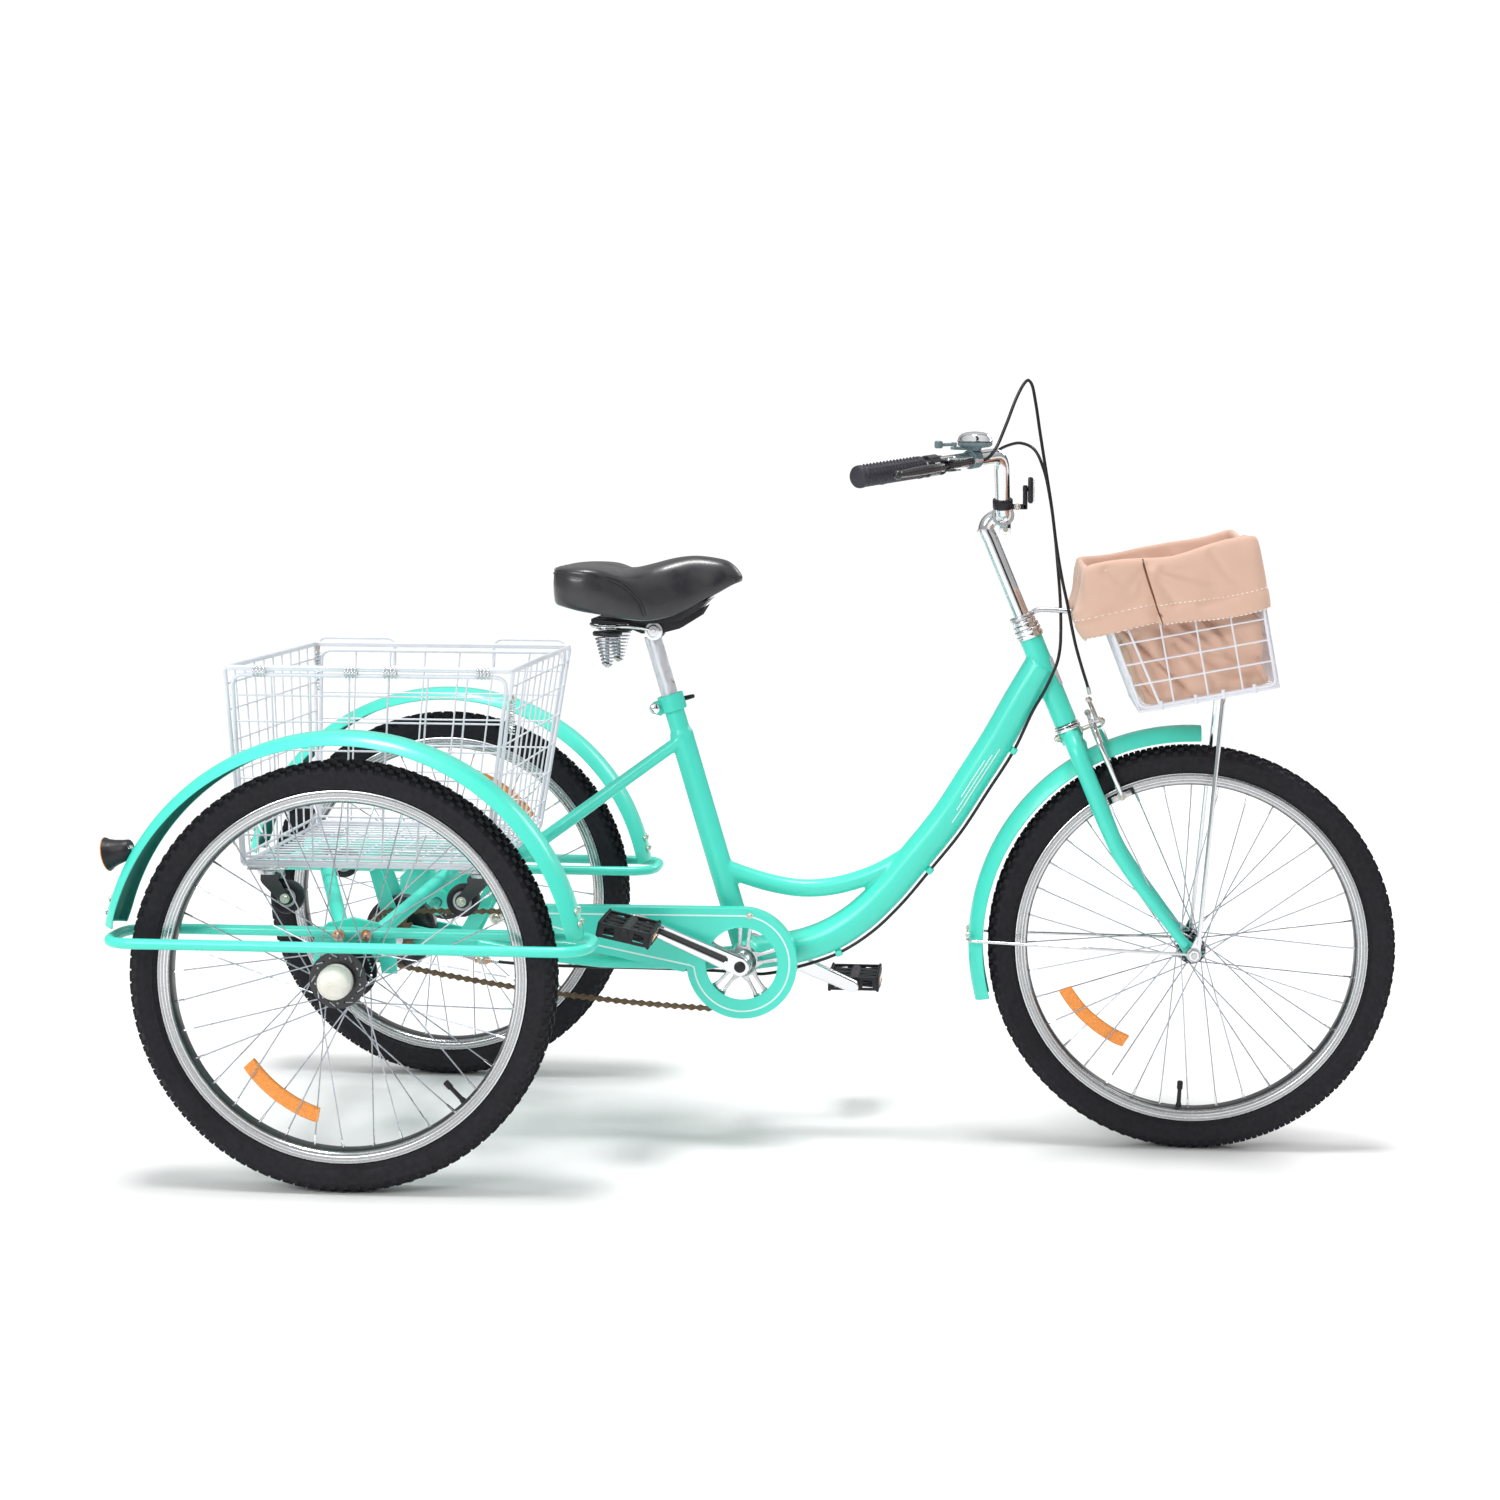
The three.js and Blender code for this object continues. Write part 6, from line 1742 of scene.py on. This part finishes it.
def saddle_shape():
    """The cushion: a crowned top that rolls over a padded edge into its side panels."""
    count, steps = 168, 56
    top, bottom = value_along(SADDLE_TOP), value_along(SADDLE_BOTTOM)
    rear = even(smooth([(v, 0, h) for v, h in REAR_SECTION], 200), steps)
    nose = even(smooth([(v, 0, h) for v, h in NOSE_SECTION], 200), steps)
    outline = saddle_outline(count)
    vertices, faces = [], []
    for edge in outline:
        spine = vec(min(max(edge.x, 300), 496), 0, 0)
        share = min(max((edge.x - 322) / 72, 0), 1)
        blend = share * share * (3 - 2 * share)
        for a, b in zip(rear, nose):
            across = a.x + (b.x - a.x) * blend
            height = a.z + (b.z - a.z) * blend
            spot = spine.lerp(edge, across)
            low, high = bottom(spot.x), top(spot.x)
            dip = 3.2 * exp(-((spot.y / 15) ** 2)) * exp(-(((spot.x - 325) / 55) ** 2))
            vertices.append(vec(spot.x, spot.y, low + (high - low) * height - dip * (height > 0.5)))
    ring = steps + 1
    for i in range(count):
        n = (i + 1) % count
        for k in range(steps):
            faces.append([i * ring + k, n * ring + k, n * ring + k + 1, i * ring + k + 1])
    return vertices, faces


def seam_on(tree, side):
    """The seam's points on the cushion's skin, from the bottom edge back round to the middle."""
    line = smooth([(x, 0, z) for x, z in SADDLE_SEAM], 90)
    path = []
    for i, point in enumerate(line):
        heading = PI * 0.5 * max(0.0, (i - 44) / 46)
        outward = vec(-sin(heading), side * cos(heading), 0)
        target = vec(max(point.x, 300), 0, point.z) if i < 45 else vec(300, 0, point.z)
        hit = tree.ray_cast(target + outward * 200, -outward)
        if hit[0]:
            path.append((hit[0], hit[1]))
    return path


def make_saddle():
    vertices, faces = saddle_shape()
    tree = BVHTree.FromPolygons(vertices, faces)
    seams = [seam_on(tree, side) for side in BOTH]
    lines = [[spot for spot, _ in seam] for seam in seams]
    pressed = []
    for vertex in vertices:
        near = min((vertex - spot).length for line in lines for spot in line)
        inward = (vec(330, 0, 830) - vertex).normalized()
        pressed.append(vertex + inward * SEAM_DEPTH * exp(-((near / SEAM_WIDTH) ** 2)))
    cushion = Piece("saddle_cushion").add((pressed, faces), "leather")
    saddle = cushion.done("saddle_top", "black_leather", ["saddle"], 80)
    merge = saddle.modifiers.new("merge", "WELD")
    merge.merge_threshold = 0.2 * MM
    saddle.modifiers.new("smooth", "SUBSURF").render_levels = 1
    thread = Piece("saddle_stitching")
    for seam in seams:
        for offset in (-STITCH_GAP, STITCH_GAP):
            dashes = seam[2:-1]
            for i in range(0, len(dashes) - 1):
                (a, normal), (b, _) = dashes[i], dashes[i + 1]
                across = (b - a).cross(normal).normalized() * offset
                start, end = a + across + normal * 0.1, b + across + normal * 0.1
                thread.add(rod(start, start.lerp(end, 0.72), 0.55, 6), "thread")
    thread.done("saddle_top", "black_leather")


def make_saddle_base():
    base = Piece("saddle_pan_and_springs")
    pan = [
        (300, 787), (306, 782), (390, 780.5), (434, 786), (462, 803), (478, 819), (464, 813), (435, 799),
        (390, 786.5), (340, 785.5), (308, 789),
    ]
    wings = [(304, 781), (358, 780.6), (358, 785), (340, 785.5), (304, 789)]
    base.add(plate([pan], -32, 32, 0.6), "plastic").add(plate([wings], -68, 68, 0.6), "plastic")
    keel = [
        (352, 781), (352, 772), (372, 764), (400, 764), (430, 772), (462, 792), (472, 808), (440, 792),
        (400, 782),
    ]
    disc = [(0, 5.2), (3, 5.2), (3.6, 3.6), (8, 3.4), (9, 2.2), (10.5, 2.0), (13.5, 1.6), (13.5, 0), (0, 0)]
    for side in BOTH:
        base.add(plate([keel], 14 * side, 17 * side, 0.6), "plastic")
        outline = link_outline((SADDLE_CLAMP.x, SADDLE_CLAMP.z), (SADDLE_CLAMP.x, 776), 12, 9)
        base.add(plate([outline], 13.1 * side, 19 * side, 1), "plastic")
        base.add(lathe(disc, SADDLE_CLAMP + Y_AXIS * 19 * side, Y_AXIS * side, 40), "chrome")
        spot = vec(326, 52 * side, 0)
        base.add(coil(spot + Z_AXIS * 762, spot + Z_AXIS * 718, 18.4, 6.4, 8.5, 1.3, 8, 22), "spoke")
        base.add(rod(spot + Z_AXIS * 763, spot + Z_AXIS * 769.5, 22, 32, chamfer=1.4), "plastic")
        base.add(rod(spot + Z_AXIS * 717, spot + Z_AXIS * 783, 3.2, 16, chamfer=0.5), "spoke")
        for height in (772, 777.5):
            bottom, top = spot + Z_AXIS * height, spot + Z_AXIS * (height + 2.4)
            base.add(rod(bottom, top, 14, 28, chamfer=0.6), "steel")
        base.add(nut_shape(spot + Z_AXIS * 720, -Z_AXIS, 5.4, 3.4, 1.4), "bolt")
        rail = smooth([(x, y * side, z) for x, y, z in SADDLE_RAIL], 24)
        base.add(tube(rail, 2.6, 12), "chrome")
    base.done("saddle_top", "black_plastic", ["saddle_base"], 45)


# ---------------------------------------------------------------- front basket and its liner
BASKET = Matrix.Translation((1036, 0, 868)) @ Matrix.Rotation(radians(-11), 4, "Y")
BASKET_DEPTH = 212
FLAP = 92
HEM_LINE = -69
SLIT = 88
FLAP_CLEARANCE = -2.2
BAG_FLOOR = -207
LONG_WALL = 120
LINER_COUNT = 320
CLOTH_THICKNESS = 1.1 * MM
WIRE, FRAME_WIRE = 1.4, 2.4


def basket_section(z, outset=0.0):
    """The front basket's rear and front ends and half width, at a height below its rim."""
    share = 1 + z / BASKET_DEPTH
    return 38 * (1 - share) - outset, 240 + outset, 135 + 30 * share + outset


def basket_loop(z, outset, radius=12.0):
    x0, x1, y = basket_section(z, outset)
    corners = [(x0, 0, z), (x0, -y, z), (x1, -y, z), (x1, y, z), (x0, y, z), (x0, 0, z)]
    return bent(corners, [radius] * 4, 6)[:-1]


def basket_wall_shapes(side):
    """One long wall: its rounded frame, upright wires, level wires and a slanting brace."""
    def at(x, z):
        return vec(x, side * basket_section(z)[2], z)

    low, high = -BASKET_DEPTH + 5, -4
    rear_high, rear_low = (at(basket_section(z)[0] + 3, z) for z in (high, low))
    frame_path = bent([rear_high, rear_low, at(236, low), at(236, high)], [14, 10], 6)
    shapes = [tube(frame_path, FRAME_WIRE, 10)]
    for x in (SLIT, 138, 188):
        shapes.append(tube([at(x, low), at(x, high)], WIRE, 8))
    for z in (-172, -141, -110, -79, -48):
        shapes.append(tube([at(basket_section(z)[0] + 3, z), at(238, z)], WIRE, 8))
    shapes.append(tube([at(42, -90), at(68, low)], WIRE + 0.5, 8))
    for x in (70, 120, 160, 205):
        clip = at(x, low)
        shapes.append(tube([clip + vec(0, 0, 6), clip - vec(0, 0, 7)], FRAME_WIRE + 0.6, 10))
    return shapes


def make_front_basket():
    shapes = []
    for side in BOTH:
        shapes += basket_wall_shapes(side)
    for z, outset, radius in ((0, 0, FRAME_WIRE), (-BASKET_DEPTH + 1, 0, FRAME_WIRE), (-6, -0.5, WIRE)):
        shapes.append(tube(basket_loop(z, outset), radius, 10, closed=True))
    for end, spacing, radius in ((0, 38, WIRE), (1, 11, 1.0)):
        count = round(2 * 132 / spacing)
        for i in range(count + 1):
            share = 2 * i / count - 1
            low, high = basket_section(-BASKET_DEPTH + 2), basket_section(-2)
            bottom = vec(low[end], share * (low[2] - 4), -BASKET_DEPTH + 2)
            top = vec(high[end], share * (high[2] - 4), -2)
            shapes.append(tube([bottom, top], radius, 8))
        for z in (-172, -141, -79, -48):
            x, y = basket_section(z)[end], basket_section(z)[2]
            shapes.append(tube([(x, -y, z), (x, y, z)], WIRE, 8))
    for i in range(9):
        y = -118 + i * 29.5
        shapes.append(tube([(40, y, -BASKET_DEPTH + 1), (239, y, -BASKET_DEPTH + 1)], WIRE, 8))
    for x in (80, 120, 160, 200):
        shapes.append(tube([(x, -134, -BASKET_DEPTH + 1), (x, 134, -BASKET_DEPTH + 1)], WIRE + 0.4, 8))
    basket = Piece("front_basket_wires").add(moved(joined(*shapes), BASKET), "wire")
    ring = [
        (12.9, 170.6), (19, 170.6), (19.4, 171.6), (19.4, 175.4), (18.6, 176.4), (12.9, 176.4), (12.9, 170.6),
    ]
    basket.add(lathe(ring, HEAD_BASE, HEAD_UP, 40), "steel")
    arm = smooth([head(174, 17), head(174.5, 26), vec(1050, 0, 802), vec(1062, 0, 806)], 20)
    basket.add(tube(arm, 4, 18), "steel")
    basket.add(bolt_shape(vec(1062, -4, 806), -Y_AXIS, 5, 3.6), "bolt")
    basket.done("steering", "white_wire", ["front_basket"], 50)


def liner_profile():
    """The cloth's section: up the outside of the flap, over the rim, down the bag, to its floor."""
    flap = [(-FLAP - 3, 5.5), (-FLAP + 6, 5.9), (-70, 6.1), (-50, 6.2), (-26, 5.8), (-8, 4.8)]
    rim = [(0, 3.4), (4, 0.8), (4.6, -2), (2, -4.6), (-8, -5.6)]
    bag = [(-40, -6.6), (-80, -7), (-120, -7.2), (-160, -7.4), (-190, -8), (-203, -11), (-206.5, -18)]
    return smooth([(outset, 0, z) for z, outset in flap + rim + bag], 110)


def around(loop, count):
    """Even points round a closed loop, each with its share of the way and its outward direction."""
    ring = even([*loop, loop[0]], count)[:-1]
    result = []
    for i, point in enumerate(ring):
        ahead = (ring[(i + 1) % count] - ring[i - 1]).normalized()
        result.append((point, i / count, vec(-ahead.y, ahead.x, 0) * -1))
    return result


def drape(point, share, depth, on_flap):
    """How far the cloth stands off its smooth shape: soft folds, deeper lower down."""
    place = vec(point.x * 0.012, point.y * 0.012, point.z * 0.012)
    broad = noise.noise(place * 1.1 + vec(3.1, 0, 7.7))
    fold = noise.noise(vec(share * 26, point.z * 0.006, 4.0))
    crease = abs(noise.noise(place * 2.3 + vec(0, 9.3, 1.2)))
    if on_flap:
        return depth * (3.4 * broad + 2.4 * fold + 1.6 * (0.4 - min(crease * 2, 0.4)))
    ridge = noise.noise(vec(point.x * 0.021 + point.z * 0.016, point.y * 0.02, point.z * 0.004 + 5.0))
    return -depth * (abs(13 * broad) + 26 * (0.4 - min(abs(ridge) * 2.2, 0.4)) + 6 * abs(fold))


def slit_fold(point, z):
    """The overlap part way along the near side: one edge tucks behind the other."""
    if point.y > -LONG_WALL:
        return 0.0
    behind = SLIT - 4 - 0.08 * z - point.x
    opened = min(1.0, max(0.0, -z / 14))
    if behind < 0:
        return 9.0 * opened * exp(behind / 20)
    return -4.0 * opened * exp(-((behind / 14) ** 2))


FLAP_CREASES = [
    ((26, -8), (54, -34)), ((84, -8), (66, -54)), ((82, -14), (50, -30)), ((104, -16), (168, -44)),
    ((176, -8), (204, -52)), ((14, -66), (66, -50)), ((112, -66), (96, -30)), ((150, -72), (214, -58)),
]
BAG_CREASES = [
    ((96, -98), (164, -152)), ((124, -98), (190, -166)), ((108, -124), (152, -188)),
    ((88, -100), (106, -200)), ((148, -158), (204, -188)), ((52, -104), (82, -186)),
    ((168, -104), (206, -140)),
]


def crease_depth(point, z, creases, width):
    """1 in the bottom of a crease pressed into the long sides, falling to 0 a few widths away."""
    if abs(point.y) < LONG_WALL:
        return 0.0
    spot, deepest = Vector((point.x if point.y < 0 else 236 - point.x, z)), 0.0
    for start, end in creases:
        start, end = Vector(start), Vector(end)
        share = min(1.0, max(0.0, (spot - start).dot(end - start) / (end - start).length_squared))
        away = (spot - start.lerp(end, share)).length / width
        deepest = max(deepest, exp(-away * away) * (1 - 0.5 * share))
    return deepest


def handlebar_bulge(point, z):
    """The flap stands away from the wires at the end nearest the handlebar."""
    nearness = min(1.0, max(0.0, (75 - point.x) / 75))
    fall = min(1.0, max(0.0, -z / 55))
    wave = 1 + 0.35 * sin(point.y * 0.045 + 0.8) - 0.25 * sin(-z * 0.06)
    return 26 * nearness ** 1.5 * fall * wave


def clamped(value):
    return min(1.0, max(0.0, value))


def flap_offsets(point, z, share, depth):
    """How far the hanging flap stands out and how far it lifts, at a point round the basket."""
    fall = max(0.0, -z / FLAP)
    tuck = 4 if point.x < SLIT and point.y < -LONG_WALL else 0
    hang = 3.5 * sin(share * 2 * PI * 5 + 1.2) * fall
    push = drape(point, share, depth, True) - (4.2 * crease_depth(point, z, FLAP_CREASES, 6.5) - 1.2)
    hem = 1.3 if z < HEM_LINE else 0.0
    return max(push + slit_fold(point, z), FLAP_CLEARANCE) + hem, hang + tuck * fall


def bag_offset(point, z, share, depth):
    """How far the bag's wall stands off inwards, at a point round the basket."""
    crease = 9 * min(1, depth * 2) * crease_depth(point, z, BAG_CREASES, 8)
    return drape(point, share, depth, False) - crease


def liner_shape(profile):
    """The cloth as rows round the basket, closed by its floor."""
    count = LINER_COUNT
    vertices, faces = [], []
    rim_index = max(range(len(profile)), key=lambda k: profile[k].z)
    for k, step in enumerate(profile):
        on_flap = k < rim_index
        depth = clamped(-step.z / (110 if on_flap else 90))
        if step.z < BAG_FLOOR + 22:
            depth *= max(0.0, (step.z - BAG_FLOOR) / 22)
        rim = basket_loop(step.z, step.x, 16 + (14 * depth if on_flap else 0))
        for point, share, outward in around(rim, count):
            lift = 0.0
            if step.z > -30:
                corner = max(0.0, (abs(point.y) - LONG_WALL) / 45) * abs(point.x - 120) / 120
                lift = (5.5 * corner + 2.2 * sin(share * 2 * PI * 7)) * (1 + step.z / 30)
            if on_flap:
                push, raised = flap_offsets(point, step.z, share, depth)
                lift += raised
            else:
                push = bag_offset(point, step.z, share, depth)
            spot = point + outward * push + Z_AXIS * lift
            spot.x -= handlebar_bulge(point, step.z) if on_flap else 0
            vertices.append(spot)

    def stitch(upper, lower):
        for i in range(count):
            n = (i + 1) % count
            faces.append([upper + i, upper + n, lower + n, lower + i])

    rows = len(profile)
    for k in range(rows - 1):
        stitch(k * count, (k + 1) * count)
    base = (rows - 1) * count
    inner = [vertices[base + i].copy() for i in range(count)]
    for share in (0.25, 0.5, 0.75, 0.97):
        start = len(vertices)
        for edge in inner:
            spot = edge.lerp(vec(139, 0, -206), share)
            spot.z = BAG_FLOOR + 2.5 * noise.noise(vec(spot.x * 0.03, spot.y * 0.03, 2.0))
            vertices.append(spot)
        stitch(base, start)
        base = start
    faces.append([base + i for i in range(count)])
    return vertices, faces


def make_liner():
    count, profile = LINER_COUNT, liner_profile()
    vertices, faces = liner_shape(profile)
    cloth = Piece("basket_liner_cloth").add(moved((vertices, faces), BASKET), "canvas")
    liner = cloth.done("steering", "beige_fabric", ["basket_liner"], 180)
    thick = liner.modifiers.new("thickness", "SOLIDIFY")
    thick.thickness = CLOTH_THICKNESS
    thick.offset = 0
    hem_row = min(range(30), key=lambda k: abs(profile[k].z - HEM_LINE - 2))
    stitches = Piece("basket_liner_stitching")
    for row in (hem_row, 0):
        for i in range(0, count, 2):
            a, b = vertices[row * count + i], vertices[row * count + (i + 1) % count]
            if (b - a).length > 12:
                continue
            ahead = (b - a).normalized()
            outward = vec(ahead.y, -ahead.x, 0) * 0.8
            stitches.add(moved(rod(a + outward, b + outward, 0.8, 6), BASKET), "hem_thread")
    # A dark tube along the near slit's tucked edge, thickest in its middle: a painted shadow of the tuck.
    edge = min(range(count), key=lambda i: abs(vertices[i].x - SLIT - 3) + (0 if vertices[i].y < 0 else 900))
    seam = [vertices[k * count + edge] + vec(-1.5, -0.4, 0) for k in range(0, 48, 2)]
    stitches.add(moved(tube(seam, [0.5 + 1.2 * sin(PI * k / 23) for k in range(24)], 8), BASKET), "seam")
    thread = stitches.done("steering", "beige_fabric")


def make_basket_support():
    path = bent([(1207, -66.5, 318), (1241, -50, 686), (1241, 50, 686), (1207, 66.5, 318)], [14, 14], 10)
    hoop = Piece("basket_support_hoop").add(tube(path, 3.6, 20), "chrome")
    for side in BOTH:
        hole = list(reversed(arc((WHEELBASE, WHEEL_RADIUS), 5, 0, 340, 17)))
        outline = link_outline((1207, 326), (WHEELBASE, WHEEL_RADIUS), 5, 9)
        hoop.add(plate([outline, hole], 64.6 * side, 68.4 * side, 0.8), "chrome")
    hoop.done("steering", "chrome_trim", ["basket_support"])


# ---------------------------------------------------------------- rear basket and casters
BASKET_TOP = 728


def trolley_section(z):
    share = (z - 430) / (728 - 430)
    return -186 - 15 * share, 177 + 43 * share, 190 + 35 * share


def trolley_side_shapes(side):
    """A long side: an upright grid inside a frame with rounded corners."""
    def at(x, z):
        return vec(x, side * trolley_section(z)[2], z)

    top = 714
    corners = [at(-183, 438), at(-190, top), at(211, top), at(172, 438), at(-183, 438)]
    frame_path = bent(corners, [18, 18, 8], 6)
    shapes = [tube(frame_path, 2.9, 10)]
    for i in range(6):
        share = (i + 1) / 7
        x_low, x_high = -183 + 355 * share, -190 + 401 * share
        shapes.append(tube([at(x_low, 438), at(x_high, top)], WIRE, 8))
    for z in (478, 520, 562, 604, 646, 684):
        x0, x1, _ = trolley_section(z)
        shapes.append(tube([at(x0 + 5, z), at(x1 - 5, z)], WIRE, 8))
    return shapes


def trolley_end_shapes(end):
    shapes = []
    low, high = trolley_section(438), trolley_section(722)
    for i in range(1, 10):
        share = 2 * i / 10 - 1
        shapes.append(tube([(low[end], share * low[2], 438), (high[end], share * high[2], 722)], WIRE, 8))
    for z in (478, 524, 570, 616, 662, 700):
        x, y = trolley_section(z)[end], trolley_section(z)[2]
        shapes.append(tube([(x, -y + 2, z), (x, y - 2, z)], WIRE, 8))
    for side in BOTH:
        low, high = trolley_section(436), trolley_section(722)
        post = [(low[end], side * (low[2] - 2), 436), (high[end], side * (high[2] - 2), 722)]
        shapes.append(tube(post, 2.9, 10))
    return shapes


def trolley_loop(z, inset, radius, wire):
    x0, x1, y = trolley_section(z)
    x0, x1, y = x0 + inset, x1 - inset, y - inset
    corners = [(x0, 0, z), (x0, -y, z), (x1, -y, z), (x1, y, z), (x0, y, z), (x0, 0, z)]
    return tube(bent(corners, [radius] * 4, 6)[:-1], wire, 10, closed=True)


def make_rear_basket():
    shapes = [trolley_loop(BASKET_TOP - 3, 0, 10, 2.8), trolley_loop(722, 0, 10, 2.2)]
    shapes += [trolley_loop(434, 0, 10, 2.8), trolley_loop(446, 0, 10, 2.2)]
    for side in BOTH:
        shapes += trolley_side_shapes(side)
    for end in (0, 1):
        shapes += trolley_end_shapes(end)
    for i in range(17):
        y = -180 + i * 22.5
        shapes.append(tube([(-184, y, 431), (175, y, 431)], WIRE, 8))
    for x in (-140, -92, -44, 4, 52, 100, 148):
        shapes.append(tube([(x, -190, 428.6), (x, 190, 428.6)], WIRE + 0.3, 8))
    for x0, x1 in ((-196, -69), (94, 210)):
        handle = bent([(x0, 224, 690), (x0, 226, 734), (x1, 226, 734), (x1, 224, 690)], [14, 14], 6)
        shapes.append(tube(handle, 2.4, 10))
    basket = Piece("rear_basket_wires").add(joined(*shapes), "wire")
    for x, y, low, high in ((-196, 225, 648, 714), (219, -225, 632, 682)):
        reach = trolley_section((low + high) / 2)[2] * (1 if y > 0 else -1)
        spot = vec(x - 3 if x > 0 else x + 1, reach, 0)
        basket.add(coil(spot + Z_AXIS * low, spot + Z_AXIS * high, 4.2, 4.2, 12, 1.1, 6, 12), "chrome")
        basket.add(rod(spot + Z_AXIS * (high - 4), spot + Z_AXIS * (high + 6), 3.4, 16, chamfer=0.6), "bolt")
    for x in (-151, -17, 40, 175):
        spot = vec(x, -trolley_section(722)[2], 719)
        for shift in (-6, -1, 4, 9):
            basket.add(torus(spot + vec(shift, 0, 0), vec(1, 0, 0), 7.6, 1.2, 20, 8), "chrome")
    for x in (-157, 157):
        for y in (-150, 150):
            basket.add(block((x - 28, x + 28), (y - 24, y + 24), (422.6, 426.2), 1), "steel")
            for dx in (-21, 21):
                for dy in (-17, 17):
                    basket.add(bolt_shape(vec(x + dx, y + dy, 426.4), Z_AXIS, 3.6, 2.6), "bolt")
    basket.done("trolley_basket", "white_wire", ["rear_basket"], 50)


def make_caster(name, x, y, trail):
    roller = vec(x + trail, y, 380)
    fork = Piece(f"caster_fork_{name}_plate")
    race = [(0, 414.2), (14, 414.2), (18.4, 415.2), (19, 417), (19, 420), (17, 421.6), (0, 421.6)]
    fork.add(lathe(race, vec(x, y, 0), Z_AXIS, 40), "steel")
    crown = link_outline((x, 413), (x + trail * 0.35, 411), 11, 9)
    fork.add(plate([crown], y - 15.4, y + 15.4, 1.2), "black_paint")
    for side in BOTH:
        outline = link_outline((x, 409), (roller.x, 380), 11, 9)
        fork.add(plate([outline], y + 12.5 * side, y + 15.5 * side, 0.8), "black_paint")
        fork.add(nut_shape(roller + Y_AXIS * 15.6 * side, Y_AXIS * side, 5.4, 3.4, 1), "bolt")
    fork.add(rod(roller - Y_AXIS * 14, roller + Y_AXIS * 14, 2.9, 20), "steel")
    fork.done(f"caster_{name}", "silver_metal", [f"caster_fork_{name}"])
    wheel = Piece(f"caster_wheel_{name}_tyre")
    tread = [
        (14.5, -9.6), (19.5, -11.5), (22.4, -10.4), (23.8, -7), (24, 0), (23.8, 7), (22.4, 10.4),
        (19.5, 11.5), (14.5, 9.6), (14.5, -9.6),
    ]
    hub = [
        (3.4, -11.2), (8, -11.2), (9, -8), (14.6, -7.6), (14.6, 7.6), (9, 8), (8, 11.2), (3.4, 11.2),
        (3.4, -11.2),
    ]
    wheel.add(lathe(tread, roller, Y_AXIS, 48), "rubber").add(lathe(hub, roller, Y_AXIS, 40), "pale_grey")
    for side in BOTH:
        cap = [(3.6, 8.2), (10.6, 8.2), (10.6, 9.4), (9.8, 10.2), (3.6, 10.2), (3.6, 8.2)]
        wheel.add(lathe(cap, roller, Y_AXIS * side, 40), "plastic")
    wheel.done(f"caster_roller_{name}", "black_rubber", [f"caster_wheel_{name}"])


def make_casters():
    for end, x, trail in (("rear", -157, 26), ("front", 157, -26)):
        for name, side in SIDES.items():
            make_caster(f"{end}_{name}", x, 150 * side, trail)


# ---------------------------------------------------------------- the whole tricycle
make_studio()
make_floor()
make_wheels()
make_main_frame()
make_badge_and_stripes()
make_seat_clamp()
make_rear_carriage()
make_tail_light()
make_band_brake()
make_drive_axle()
make_chain()
make_chain_guard()
make_cranks()
make_fork()
make_front_axle()
make_stem()
make_handlebar()
make_bell()
make_front_reflector()
make_front_fender()
make_cables()
for name, side in SIDES.items():
    make_wheel_loop(name, side)
    make_rear_fender(name, side)
    make_pedal(name, side, 12 if side < 0 else 0)
    make_grip(name, side)
    make_brake_lever(name, side)
    make_caliper_arm(name, side)
make_seat_post()
make_saddle()
make_saddle_base()
make_basket_support()
make_front_basket()
make_liner()
make_rear_basket()
make_casters()
